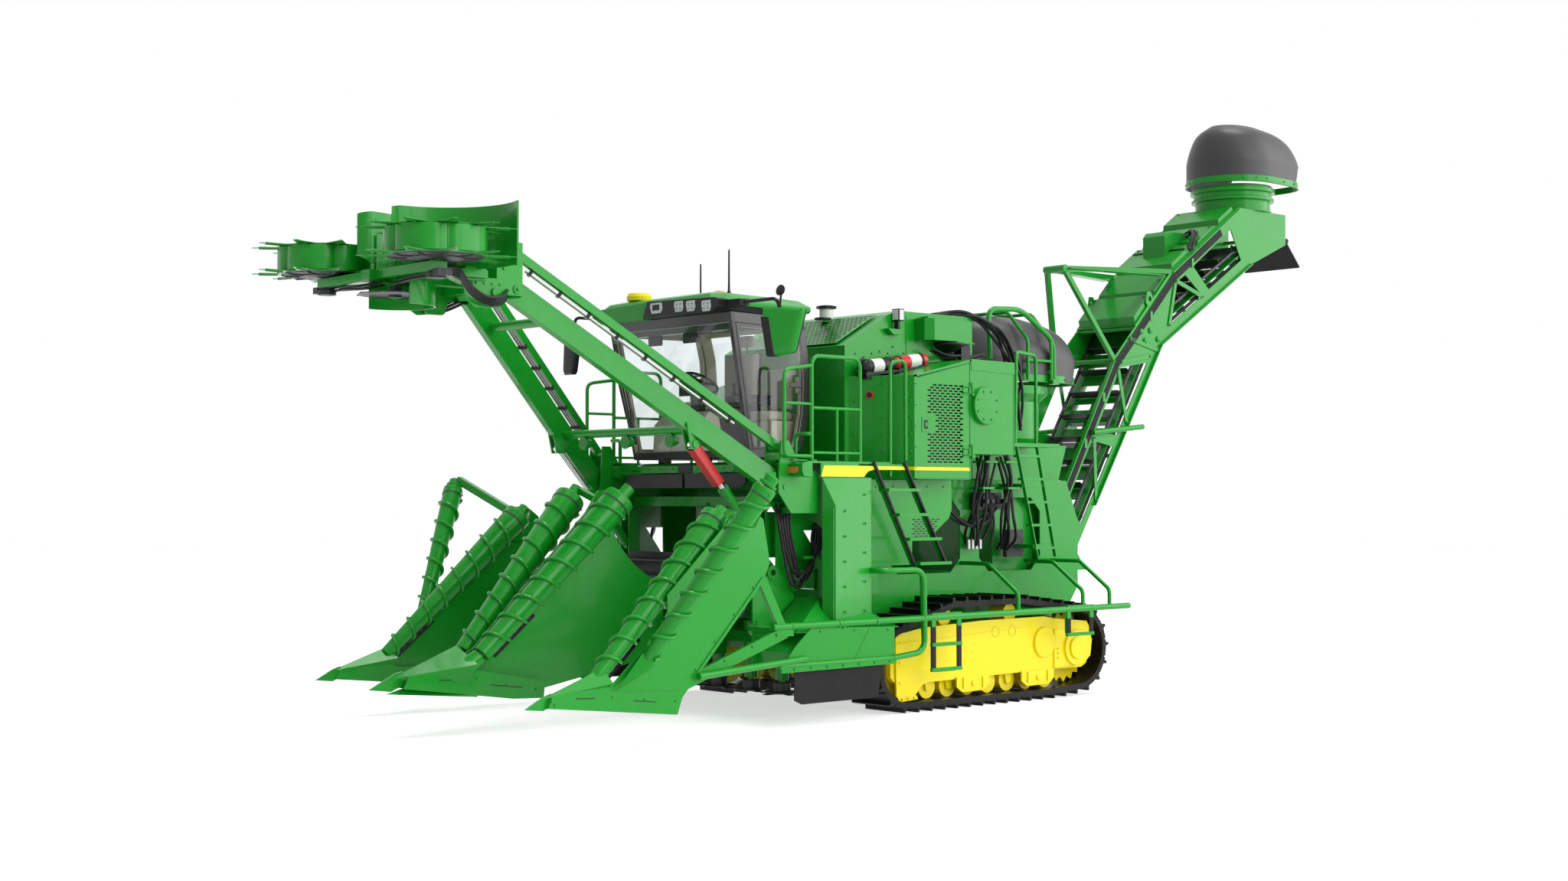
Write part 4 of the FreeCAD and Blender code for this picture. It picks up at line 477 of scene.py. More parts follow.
def round_corners(points, bend, steps=6):
    """The straight runs between points, each corner rounded to an arc."""
    path = [points[0]]
    for before, corner, after in zip(points, points[1:], points[2:]):
        inward = (before - corner).normalized()
        outward = (after - corner).normalized()
        for i in range(steps + 1):
            t = i / steps
            start, end = corner + inward * bend, corner + outward * bend
            path.append(start * (1 - t) ** 2 + corner * 2 * t * (1 - t) + end * t ** 2)
    path.append(points[-1])
    return path


def side_of(axis):
    """Two unit vectors square to the axis and to each other."""
    helper = UP if abs(axis.z) < 0.9 else AHEAD
    first = axis.cross(helper).normalized()
    return first, axis.cross(first).normalized()


class Shape:
    """Gathers the faces of one piece before it becomes an object."""

    def __init__(self, first="green"):
        self.mesh = bmesh.new()
        self.finishes = []
        self.use(first)

    def use(self, name):
        """The faces that follow take this finish."""
        if name not in self.finishes:
            self.finishes.append(name)
        self.index = self.finishes.index(name)

    def face(self, corners):
        """One face in the finish of the moment."""
        self.mesh.faces.new(corners).material_index = self.index

    def loft(self, rings, capped=True, looped=False):
        """Faces from ring to ring, closed by caps or back to the first ring."""
        rows = [[self.mesh.verts.new(p) for p in ring] for ring in rings]
        pairs = list(zip(rows, rows[1:]))
        if looped:
            pairs.append((rows[-1], rows[0]))
        for near, far in pairs:
            for i in range(len(near)):
                j = (i + 1) % len(near)
                self.face([near[i], near[j], far[j], far[i]])
        if capped and not looped:
            self.face(list(reversed(rows[0])))
            self.face(rows[-1])

    def box(self, low, high):
        (x0, y0, z0), (x1, y1, z1) = low, high
        self.loft([[Vector((x0, y0, z)), Vector((x1, y0, z)), Vector((x1, y1, z)),
                    Vector((x0, y1, z))] for z in (z0, z1)])

    def plate(self, axis, outline, low, high):
        """An outline in the plane square to the axis, thick from low to high."""
        def place(a, b, c):
            return Vector({"x": (c, a, b), "y": (a, c, b), "z": (a, b, c)}[axis])
        self.loft([[place(a, b, c) for a, b in outline] for c in (low, high)])

    def beam(self, start, end, width, depth, side=LEFT):
        """A bar from start to end, its width square to the side vector."""
        start, end = Vector(start), Vector(end)
        along = (end - start).normalized()
        across = along.cross(Vector(side)).normalized()
        flat = along.cross(across).normalized() * (width / 2)
        across = across * (depth / 2)
        self.loft([[p + across + flat, p + across - flat, p - across - flat, p - across + flat]
                   for p in (start, end)])

    def rod(self, start, end, r0, r1=None, sides=16):
        """A round bar, tapered when a second radius is given."""
        run = Vector(end) - Vector(start)
        self.turned(start, run, [(r0, 0.0), (r1 or r0, run.length)], sides)

    def turned(self, base, axis, profile, sides=24):
        """(radius, height) pairs turned about an axis from its base."""
        base, axis = Vector(base), Vector(axis).normalized()
        u, v = side_of(axis)
        rings = []
        for radius, height in profile:
            rings.append([base + axis * height + u * (radius * math.cos(2 * math.pi * i / sides))
                          + v * (radius * math.sin(2 * math.pi * i / sides)) for i in range(sides)])
        self.loft(rings)

    def hoop(self, centre, axis, radius, thick, sides=32, around=8):
        """A round bar bent to a closed ring."""
        centre, axis = Vector(centre), Vector(axis).normalized()
        u, v = side_of(axis)
        rings = []
        for i in range(sides):
            a = 2 * math.pi * i / sides
            out = u * math.cos(a) + v * math.sin(a)
            rings.append([centre + out * (radius + thick * math.cos(b))
                          + axis * (thick * math.sin(b))
                          for b in (2 * math.pi * j / around for j in range(around))])
        self.loft(rings, looped=True)

    def tube(self, path, radius, sides=10):
        """A round tube along a path, turned as little as possible on the way."""
        u = side_of((path[1] - path[0]).normalized())[0]
        rings = []
        for i, point in enumerate(path):
            along = (path[min(i + 1, len(path) - 1)] - path[max(i - 1, 0)]).normalized()
            u = (u - along * u.dot(along)).normalized()
            v = along.cross(u)
            rings.append([point + u * (radius * math.cos(a)) + v * (radius * math.sin(a))
                          for a in (2 * math.pi * j / sides for j in range(sides))])
        self.loft(rings)

    def bolt(self, at, normal, width=None):
        """A six-sided head on its washer."""
        width = width or sizes().bolt
        at, normal = Vector(at), Vector(normal).normalized()
        self.turned(at, normal, [(width * 0.72, 0), (width * 0.72, width * 0.12)], 12)
        self.turned(at + normal * width * 0.12, normal,
                    [(width * 0.56, 0), (width * 0.56, width * 0.42), (width * 0.46, width * 0.5)],
                    6)

    def bolt_row(self, start, end, count, normal, width=None):
        """Evenly spaced bolts from start to end."""
        start, end = Vector(start), Vector(end)
        for i in range(count):
            self.bolt(start.lerp(end, i / (count - 1)), normal, width)

    def bolt_ring(self, centre, normal, radius, count, width=None):
        """Evenly spaced bolts on a circle."""
        u, v = side_of(Vector(normal).normalized())
        for i in range(count):
            a = 2 * math.pi * (i + 0.5) / count
            self.bolt(Vector(centre) + u * (radius * math.cos(a)) + v * (radius * math.sin(a)),
                      normal, width)

    def copy_across(self):
        """Adds the mirror image on the machine's other side."""
        known = {v: self.mesh.verts.new((v.co.x, -v.co.y, v.co.z)) for v in list(self.mesh.verts)}
        for face in list(self.mesh.faces):
            made = self.mesh.faces.new([known[v] for v in reversed(face.verts)])
            made.material_index = face.material_index

    def to_side(self, side):
        """Keeps the left side for 1, and swaps to the right side for -1."""
        for vertex in self.mesh.verts:
            vertex.co.y *= side

    def into_mesh(self, name):
        """The gathered faces as a mesh, which uses the shape up."""
        mesh = bpy.data.meshes.new(name)
        self.mesh.to_mesh(mesh)
        self.mesh.free()
        return mesh


def add_object(name, data):
    """A new object for the data, linked to the scene."""
    made = bpy.data.objects.new(name, data)
    bpy.context.scene.collection.objects.link(made)
    return made


def make_piece(name, body, shape, edge=0.0, sharp=32.0):
    """Turns the gathered faces into an object that rides on a body."""
    bmesh.ops.recalc_face_normals(shape.mesh, faces=shape.mesh.faces)
    finishes = shape.finishes
    mesh = shape.into_mesh(name)
    mesh.polygons.foreach_set("use_smooth", [True] * len(mesh.polygons))
    mesh.set_sharp_from_angle(angle=math.radians(sharp))
    for each in finishes:
        mesh.materials.append(finish(each))
    piece = add_object(name, mesh)
    if edge:
        rounding = piece.modifiers.new("edges", "BEVEL")
        rounding.width = edge
        rounding.segments = 2
        rounding.limit_method = "ANGLE"
        rounding.angle_limit = math.radians(40)
    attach(piece, body)
    return piece


def points(*rows):
    return [Vector(row) for row in rows]


def heading(turn):
    """The level unit vector at an angle from straight ahead."""
    return Vector((math.cos(turn), math.sin(turn), 0))


def hose_bundle(shape, route, count, spread, radius, seed=0):
    """Hoses side by side along a route, each wandering a little."""
    for k in range(count):
        angle = 2 * math.pi * k / count + seed
        moved = []
        for i, point in enumerate(route):
            sway = 1.0 + 0.7 * math.sin(1.7 * i + 2.1 * k + seed)
            moved.append(point
                         + Vector((math.cos(angle), math.sin(angle),
                                   0.4 * math.sin(angle * 2))) * spread * sway)
        shape.tube(smooth_path(moved), radius)


# The frame's own nodes ----------------------------------------------------------
NODE_FINISHES = {
    "yellow": ("track_frame_left", "track_frame_right"),
    "track": ("track_left", "track_right"),
    "hood": ("primary_hood", "secondary_hood"),
    "flap": ("mud_flaps", "elevator_flap"),
    "hose": ("elevator_hoses", "front_hose"),
    "dark": ("engine_block", "primary_fan", "secondary_fan", "topper_disc", "elevator_chain",
             "knockdown_roller", "basecutter_1", "basecutter_2", "basecutter_3", "basecutter_4"),
    "chrome": ("lift_rods",),
    "glass": ("cab_glass", "door_glass"),
    "cab": ("cab_frame", "cab_door"),
    "black": ("mirrors", "cab_interior"),
    "white": ("air_intake",),
}


def dress_nodes():
    """Every node gets its own finish; what isn't named is green."""
    named = {node: key for key, nodes in NODE_FINISHES.items() for node in nodes}
    for node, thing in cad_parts.items():
        for place in thing.material_slots:
            place.material = finish(named.get(node, "green"))


# Stage --------------------------------------------------------------------------
GROUND_RADIUS = 60.0
SOFT_LIGHT = 0.2
SUNS = (                        # name, the way it shines, strength, width in radians
    ("overhead", (0.1, -0.05, -1.0), 1.8, 0.5),
    ("rear_left", (0.66, -0.75, -0.16), 2.6, 1.2),
    ("left", (-0.12, -1.0, -0.42), 0.95, 0.6),
)
CAMERA_PLACE = (15.45, 15.4, 2.15)
CAMERA_AIM = (-0.6649, -0.7463, 0.0291)
CAMERA_LENS = 45.0


def aim(holder, way):
    """Turns a lamp or camera to look along a vector."""
    holder.rotation_euler = Vector(way).to_track_quat("-Z", "Y").to_euler()


def stage(scene):
    """The pale ground, the white world, three suns and the camera."""
    floor = Shape()
    floor.turned((0, 0, -0.02), UP, [(GROUND_RADIUS, 0.0), (GROUND_RADIUS, 0.02)], 64)
    mesh = floor.into_mesh("ground")
    mesh.materials.append(ground_finish())
    ground = add_object("ground", mesh)

    world = Recipe("studio", for_world=True)
    soft, white = (world.node("ShaderNodeBackground", {},
                              {"Color": (1, 1, 1, 1), "Strength": strength})
                   for strength in (SOFT_LIGHT, 1.0))
    scene.world = world.wear(world.node("ShaderNodeMixShader", {},
                                        {0: world.seen_share(), 1: soft, 2: white}))

    for name, way, strength, width in SUNS:
        lamp = bpy.data.lights.new(name, "SUN")
        lamp.energy = strength
        lamp.angle = width
        aim(add_object(name, lamp), way)

    camera = bpy.data.cameras.new("camera")
    camera.lens = CAMERA_LENS
    camera.sensor_width = 36.0
    camera.clip_end = 300.0
    holder = add_object("camera", camera)
    holder.location = CAMERA_PLACE
    aim(holder, CAMERA_AIM)
    scene.camera = holder
    scene.view_settings.view_transform = "Standard"


# Front hose ---------------------------------------------------------------------
FRONT_HOSE = ((3.934, 1.533, 2.018), (3.934, 1.4, 2.018), (3.74, 1.4, 1.5), (3.7, 1.4, 1.03),
              (3.44, 1.4, 1.03), (3.43, 1.4, 1.83), (3.66, 1.8, 1.88))


def front_hose():
    """The hanging loop that feeds the left inner scroll's motor."""
    curve = bpy.data.curves.new("front_hose_loop", "CURVE")
    curve.dimensions = "3D"
    curve.bevel_depth = 0.017
    curve.bevel_resolution = 4
    curve.resolution_u = 16
    line = curve.splines.new("NURBS")
    line.points.add(len(FRONT_HOSE) - 1)
    for point, place in zip(line.points, FRONT_HOSE):
        point.co = (*place, 1.0)
    line.order_u = 3
    line.use_endpoint_u = True
    curve.materials.append(finish("hose"))
    hose = add_object("front_hose_loop", curve)
    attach(hose, "divider_left_body")
    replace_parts(hose, "front_hose")


# Cab ------------------------------------------------------------------------------
CUSHION_STEP = 0.012            # size of the mesh's cells, and how far the block starts inside
CUSHION_SWELL = 0.01           # furthest that the pressure moves a point
CUSHION_PRESSURE = 4.0


def cushion(name, low, high, crown, channels=()):
    """A stuffed block: swollen by cloth pressure, its seams pressed in after."""
    low, high = Vector(low), Vector(high)
    inside = Vector((CUSHION_STEP,) * 3)
    shape = Shape()
    shape.box(low + inside, high - inside)
    bmesh.ops.recalc_face_normals(shape.mesh, faces=shape.mesh.faces)
    bmesh.ops.bevel(shape.mesh, geom=shape.mesh.edges[:], offset=0.025, segments=3,
                    affect="EDGES", profile=0.6)
    pad = add_object(name, shape.into_mesh(name))
    scene = bpy.context.scene
    remesh = pad.modifiers.new("remesh", "REMESH")
    remesh.mode = "VOXEL"
    remesh.voxel_size = CUSHION_STEP
    bake_modifiers(pad)
    start = [v.co.copy() for v in pad.data.vertices]
    cloth = pad.modifiers.new("cloth", "CLOTH")
    cloth.settings.use_pressure = True
    cloth.settings.uniform_pressure_force = CUSHION_PRESSURE
    cloth.settings.effector_weights.gravity = 0.0
    cloth.settings.quality = 4
    cloth.point_cache.frame_start = 1
    cloth.point_cache.frame_end = sizes().cloth_steps
    for step in range(1, sizes().cloth_steps + 1):
        scene.frame_set(step)
    bake_modifiers(pad)
    scene.frame_set(1)
    centre = (low + high) / 2
    half = (high - low) / 2
    axis = min(range(3), key=lambda k: half[k])
    for vertex, first in zip(pad.data.vertices, start):
        moved = vertex.co - first
        if moved.length > CUSHION_SWELL:
            vertex.co = first + moved.normalized() * CUSHION_SWELL
        share = [(vertex.co[k] - centre[k]) / half[k] for k in range(3)]
        swell = max(0.0, 1 - share[1] ** 2) * crown
        vertex.co[axis] += swell * (1 if share[axis] > 0 else -0.2)
        for place, width, depth in channels:
            gap = abs(vertex.co[place[0]] - place[1]) / width
            if gap < 1 and share[axis] > 0:
                vertex.co[axis] -= depth * (1 - gap * gap) ** 2
        for k in range(3):
            vertex.co[k] = min(max(vertex.co[k], low[k] + 0.001), high[k] - 0.001)
    pad.data.polygons.foreach_set("use_smooth", [True] * len(pad.data.polygons))
    finer = pad.modifiers.new("finer", "SUBSURF")
    finer.levels = finer.render_levels = 1
    pad.data.materials.append(finish("cloth"))
    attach(pad, "chassis")


def bake_modifiers(thing):
    """Gives the object the mesh that its modifiers make, and drops them."""
    graph = bpy.context.evaluated_depsgraph_get()
    baked = bpy.data.meshes.new_from_object(thing.evaluated_get(graph))
    old = thing.data
    thing.modifiers.clear()
    thing.data = baked
    bpy.data.meshes.remove(old)


def seats():
    """The driver's seat with its headrest, and the folding seat beside it."""
    cushion("seat_cushion", (2.25, -0.26, 2.95), (2.74, 0.26, 3.06), 0.01,
            (((1, 0.15), 0.016, 0.008), ((1, -0.15), 0.016, 0.008), ((0, 2.62), 0.016, 0.008)))
    cushion("seat_back", (2.25, -0.25, 3.06), (2.37, 0.25, 3.65), 0.008,
            (((1, 0.15), 0.016, 0.008), ((1, -0.15), 0.016, 0.008), ((2, 3.3), 0.016, 0.007)))
    cushion("jump_seat_cushion", (2.18, 0.32, 2.92), (2.56, 0.68, 3.02), 0.01,
            (((1, 0.5), 0.016, 0.008),))
    cushion("jump_seat_back", (2.18, 0.31, 3.02), (2.3, 0.69, 3.47), 0.01,
            (((1, 0.5), 0.018, 0.009), ((2, 3.25), 0.018, 0.009)))
    cushion("seat_headrest", (2.24, -0.15, 3.69), (2.33, 0.15, 3.83), 0.006)


def cab_fittings():
    """Pedestal, armrest, wheel, column and screen inside the cab."""
    shape = Shape("black")
    # Pedestal, seat pan, back plate and the headrest's stays
    shape.plate("y", [(2.32, 2.59), (2.64, 2.59), (2.58, 2.8), (2.66, 2.95), (2.3, 2.95),
                      (2.38, 2.8)], -0.18, 0.18)
    shape.box((2.27, -0.24, 2.935), (2.7, 0.24, 2.952))
    shape.plate("y", [(2.235, 3.05), (2.255, 3.05), (2.245, 3.64), (2.225, 3.64)], -0.22, 0.22)
    for y in (-0.05, 0.05):
        shape.rod((2.285, y, 3.63), (2.285, y, 3.71), 0.008, sides=8)
    # Armrest with its lever
    shape.plate("y", [(2.3, 3.09), (2.74, 3.09), (2.78, 3.13), (2.78, 3.17), (2.72, 3.19),
                      (2.3, 3.19)], 0.3, 0.44)
    shape.box((2.38, 0.26, 2.97), (2.48, 0.38, 3.09))
    shape.turned((2.73, 0.37, 3.19), UP, [(0.03, 0), (0.012, 0.03), (0.014, 0.06), (0.022, 0.08),
                                          (0.022, 0.1), (0.01, 0.11)], 14)
    # Column, screen and steering wheel
    shape.plate("y", [(2.84, 2.59), (2.94, 2.59), (2.91, 3.2), (2.88, 3.24), (2.81, 3.24),
                      (2.8, 3.2)], -0.095, 0.015)
    shape.box((2.7, -0.52, 3.2), (2.73, -0.3, 3.36))
    wheel_axis = Vector((-0.5, 0, 0.87)).normalized()
    centre = Vector((2.83, -0.04, 3.32))
    shape.rod(centre - wheel_axis * 0.12, centre, 0.03, 0.024)
    shape.hoop(centre, wheel_axis, 0.185, 0.014, 40, 8)
    shape.turned(centre - wheel_axis * 0.015, wheel_axis, [(0.03, 0), (0.058, 0.01), (0.05, 0.03)],
                 20)
    u, v = side_of(wheel_axis)
    for angle in (0.3, math.pi - 0.3, 1.5 * math.pi):
        out = u * math.cos(angle) + v * math.sin(angle)
        shape.beam(centre + out * 0.04, centre + out * 0.18, 0.03, 0.012, wheel_axis)
    piece = make_piece("cab_controls", "chassis", shape, edge=0.006)
    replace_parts(piece, "cab_interior")


def cab_lining():
    """Pale boxes and consoles along the cab's floor and right side."""
    shape = Shape("lining")
    shape.box((2.1, -0.74, 2.6), (2.6, -0.36, 2.98))
    shape.plate("y", [(2.6, 2.6), (2.8, 2.6), (2.62, 2.96), (2.6, 2.96)], -0.74, -0.4)
    shape.box((2.2, 0.32, 2.6), (2.5, 0.68, 2.92))
    shape.plate("y", [(2.36, 2.6), (2.98, 2.6), (2.96, 2.9), (2.7, 3.14), (2.36, 3.1)], -0.64,
                -0.32)
    shape.plate("y", [(2.72, 2.6), (2.99, 2.6), (3.02, 2.92), (2.92, 3.02), (2.8, 2.96)], -0.32,
                0.22)
    make_piece("cab_lining", "chassis", shape, edge=0.012)


# Topper ---------------------------------------------------------------------------
ARM_LOW = Vector((3.08, 1.45, 2.25))
ARM_HIGH = Vector((5.4, 0.35, 4.05))
LINK_RISE = 0.37                # the upper link's height above the arm


def on_link(share):
    """Centre line of the left upper link, 0 at the mast."""
    return ARM_LOW.lerp(ARM_HIGH, share) + UP * LINK_RISE


def link_pipes():
    """Hydraulic pipes under each upper link, held on blocks."""
    shape = Shape("zinc")
    along = (ARM_HIGH - ARM_LOW).normalized()
    across = along.cross(UP).normalized()
    drop = along.cross(across).normalized() * 0.075
    for k in (-1.0, 0.0, 1.0):
        shift = across * (0.03 * k) + drop
        shape.tube([on_link(t) + shift for t in (0.16, 0.5, 0.93)], sizes().pipe / 2)
    shape.use("black")
    for i in range(8):
        middle = on_link(0.18 + 0.105 * i) + drop
        shape.beam(middle - along * 0.016, middle + along * 0.016, 0.1, 0.044, across)
    shape.copy_across()
    make_piece("link_pipes", "topper_link_body", shape, edge=0.002)


def lock_bar():
    """Red channel that clips over the left lift rod to hold the topper up."""
    shape = Shape("red")
    foot, eye = Vector((2.95, 1.088, 1.65)), Vector((3.85, 1.088, 2.65))
    along = (eye - foot).normalized()
    out = along.cross(LEFT).normalized()
    start, end = foot + along * 0.86, eye - along * 0.03
    lip, back = out * 0.035, out * 0.055
    for cheek in ((-0.05, -0.044), (0.044, 0.05)):
        shape.loft([[p + LEFT * y for p in (start + lip, start - back, end - back, end + lip)]
                    for y in cheek])
    shape.beam(start - back, end - back, 0.1, 0.006)
    make_piece("lock_bar", "lift_rod_body", shape, edge=0.003)


# Scrolls --------------------------------------------------------------------------
SCROLLS = {                     # upper end, lower end, upper radius, lower radius
    "inner": ((3.985, 1.6, 1.97), (5.45, 1.75, 0.6), 0.14, 0.065),
    "centre": ((4.18, 0.41, 2.15), (5.57, 0.16, 0.72), 0.15, 0.085),
    "outer": ((4.19, 2.53, 2.24), (5.0, 1.9, 0.75), 0.1, 0.06),
}
SCROLL_PITCH = 0.23
SCROLL_BAR = 0.0165             # radius of the wound bar


def scroll(key, side):
    """A tapered drum with a round bar wound round it and a collar on top."""
    top, low, r_top, r_low = SCROLLS[key]
    top, low = Vector(top), Vector(low)
    along, reach = (low - top).normalized(), (low - top).length
    across = along.cross(LEFT).normalized()
    other = along.cross(across)
    shape = Shape()
    shape.turned(top, along, [(r_top * 0.4, 0.0), (r_top * 0.96, 0.0), (r_top, 0.006),
                              (r_low, reach - 0.006), (r_low * 0.94, reach), (0.032, reach)], 48)
    band = r_top + 0.004
    shape.turned(top + along * 0.016, along, [(band - 0.004, 0.0), (band, 0.002), (band, 0.068),
                                              (band - 0.004, 0.07)], 48)
    path = []
    steps = int(reach / SCROLL_PITCH * 32)
    for i in range(steps + 1):
        s = 0.1 + (reach - 0.13) * i / steps
        turn = 2 * math.pi * s / SCROLL_PITCH
        r = r_top + (r_low - r_top) * s / reach + 0.014
        path.append(top + along * s + across * (r * math.cos(turn)) + other * (r * math.sin(turn)))
    shape.tube(path, SCROLL_BAR, 8)
    for k in range(3):
        turn = 2 * math.pi * k / 3 + 0.5
        out = across * math.cos(turn) + other * math.sin(turn)
        shape.bolt(top + along * 0.05 + out * band, out, 0.016)
    shape.use("dark")
    shape.turned(top + along * 0.088, along, [(r_top - 0.001, 0.0), (r_top + 0.003, 0.001),
                                              (r_top + 0.003, 0.01), (r_top - 0.001, 0.011)], 48)
    shape.to_side(side)
    name = f"scroll_{key}_{'left' if side > 0 else 'right'}"
    piece = make_piece(f"{name}_wound", f"{name}_body", shape)
    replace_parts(piece, name)


# Dividers ---------------------------------------------------------------------------
def pointed_cap(shape, base, tip, wide, tall):
    """A folded four-sided cap that leads from a pointed tip up to a scroll."""
    base, tip = Vector(base), Vector(tip)
    along = (tip - base).normalized()
    across = along.cross(UP).normalized()
    up = across.cross(along)
    ring = [base + up * tall, base + across * wide - up * tall * 0.1, base - up * tall * 0.9,
            base - across * wide - up * tall * 0.1]
    shape.loft([ring, [tip + (p - base) * 0.06 for p in ring]])


def scroll_stubs(shape, key):
    """Shaft ends of a scroll and the motor flange on its top."""
    top, low = (Vector(place) for place in SCROLLS[key][:2])
    along = (low - top).normalized()
    shape.rod(top - along * 0.055, top + along * 0.05, 0.03)
    shape.turned(top - along * 0.115, along,
                 [(0.045, 0), (0.062, 0.012), (0.062, 0.07), (0.085, 0.075), (0.085, 0.1)], 20)
    shape.rod(low - along * 0.05, low + along * 0.04, 0.03)


def black_knife(shape, key, start, end, drop):
    """Slotted knife bar under the lower part of a scroll."""
    top, low = (Vector(place) for place in SCROLLS[key][:2])
    a, b = low.lerp(top, start) - UP * drop, low.lerp(top, end) - UP * (drop + 0.03)
    shape.use("black")
    shape.beam(a, b, 0.018, 0.06)
    shape.use("dark")
    for i in range(6):
        p, q = a.lerp(b, 0.08 + 0.15 * i), a.lerp(b, 0.16 + 0.15 * i)
        shape.beam(p, q, 0.022, 0.016)
    shape.use("green")


def side_divider(side):
    """Side sheet with its skirt, pointed caps, carriers and hinge arm."""
    shape = Shape()
    sheet, skirt = 1.815, 1.835         # outer faces, left of the middle
    shape.plate("y", [(5.42, 0.33), (5.42, 0.5), (5.3, 0.56), (5.0, 0.82), (4.72, 1.1),
                      (4.72, 1.29), (4.0, 1.95), (3.75, 2.06), (3.6, 1.95), (3.52, 1.55),
                      (3.6, 1.385), (4.403, 0.533), (4.6, 0.33)], 1.8, sheet)
    shape.plate("y", [(6.0, 0.385), (5.96, 0.475), (5.41, 0.59), (5.34, 0.475), (4.55, 0.425),
                      (4.62, 0.237)], 1.745, skirt)
    shape.plate("y", [(5.9, 0.42), (5.94, 0.505), (6.02, 0.48), (6.2, 0.385), (6.02, 0.365)], 1.772,
                1.795)
    shape.bolt_row((5.965, skirt, 0.445), (5.93, skirt, 0.415), 2, LEFT, 0.022)
    pointed_cap(shape, (5.37, 1.765, 0.575), (6.02, 1.785, 0.465), 0.125, 0.115)
    pointed_cap(shape, (5.0, 1.895, 0.735), (5.3, 1.86, 0.5), 0.095, 0.085)
    shape.bolt_row((5.33, skirt, 0.44), (4.64, skirt, 0.36), 3, LEFT, 0.02)
    shape.bolt_row((4.4, sheet, 0.62), (3.72, sheet, 1.33), 4, LEFT, 0.02)
    shape.beam((4.42, 1.822, 0.545), (3.6, 1.822, 1.415), 0.014, 0.03)
    # Hinge arm with its braces
    shape.box((3.21, 1.44, 0.86), (3.42, 1.8, 0.94))
    shape.box((3.23, 1.275, 0.87), (3.3, 1.45, 0.93))
    shape.rod((3.265, 1.275, 0.9), (3.265, 1.41, 0.9), 0.06, sides=24)
    shape.beam((3.3, 1.775, 0.9), (4.5, 1.785, 0.5), 0.045, 0.11)
    shape.beam((3.33, 1.775, 0.92), (3.66, 1.785, 1.5), 0.045, 0.09)
    for x, z in ((3.42, 0.88), (3.72, 0.79), (4.05, 0.68)):
        shape.bolt((x, 1.8, z), LEFT, 0.024)
    # Carriers of the scrolls, and their motor
    inner_top, outer_top = Vector(SCROLLS["inner"][0]), Vector(SCROLLS["outer"][0])
    shape.beam((3.74, 1.8, 1.93), inner_top + Vector((-0.06, 0, 0.06)), 0.06, 0.06)
    shape.beam((3.75, 1.8, 1.9), outer_top + Vector((-0.06, 0, 0.1)), 0.075, 0.085, UP)
    shape.turned((3.9, 1.74, 1.86), LEFT,
                 [(0.1, 0), (0.165, 0.01), (0.165, 0.055), (0.08, 0.06), (0.05, 0.085)], 28)
    shape.bolt_ring((3.9, 1.797, 1.86), LEFT, 0.125, 8, 0.018)
    for key in ("inner", "outer"):
        scroll_stubs(shape, key)
    black_knife(shape, "inner", 0.06, 0.34, 0.115)
    shape.use("black")
    for x0, x1, z0, z1 in ((5.72, 5.52, 0.452, 0.44), (5.1, 4.86, 0.392, 0.366)):
        shape.beam((x0, 1.836, z0), (x1, 1.836, z1), 0.004, 0.008)
    shape.to_side(side)
    name = "divider_left" if side > 0 else "divider_right"
    piece = make_piece(f"{name}_sheets", f"{name}_body", shape, edge=0.003)
    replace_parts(piece, name)


def centre_nose():
    """Wide folded nose and skirts of the middle divider."""
    shape = Shape()
    for side in (1, -1):
        shape.plate("y", [(6.36, 0.45), (6.3, 0.56), (5.72, 0.6), (4.84, 0.43), (4.86, 0.27),
                          (5.2, 0.285)], side * 0.1, side * 0.125)
        shape.bolt_row((5.6, side * 0.125, 0.5), (4.95, side * 0.125, 0.36), 3, LEFT * side, 0.02)
    shape.plate("y", [(6.28, 0.48), (6.3, 0.595), (6.38, 0.58), (6.64, 0.448), (6.42, 0.42)],
                -0.012, 0.012)
    shape.bolt_row((6.34, 0.012, 0.53), (6.37, 0.012, 0.48), 2, LEFT, 0.022)
    ring = [Vector(p)
            for p in ((5.74, 0.0, 0.8), (5.68, 0.275, 0.64), (5.7, 0.13, 0.44), (5.7, -0.13, 0.44),
                      (5.68, -0.275, 0.64))]
    tip = Vector((6.4, 0, 0.535))
    shape.loft([ring, [tip + (p - Vector((5.7, 0, 0.6))) * 0.05 for p in ring]])
    for side in (1, -1):
        shape.rod((5.6, side * 0.16, 0.7), (5.71, side * 0.14, 0.62), 0.075, 0.085, 16)
    black_knife(shape, "centre", 0.08, 0.36, 0.13)
    shape.use("black")
    for x0, x1, z0, z1 in ((6.0, 5.78, 0.505, 0.495), (5.45, 5.1, 0.43, 0.385)):
        for side in (1, -1):
            shape.beam((x0, side * 0.126, z0), (x1, side * 0.126, z1), 0.004, 0.008)
    make_piece("centre_nose", "divider_centre_body", shape, edge=0.003)


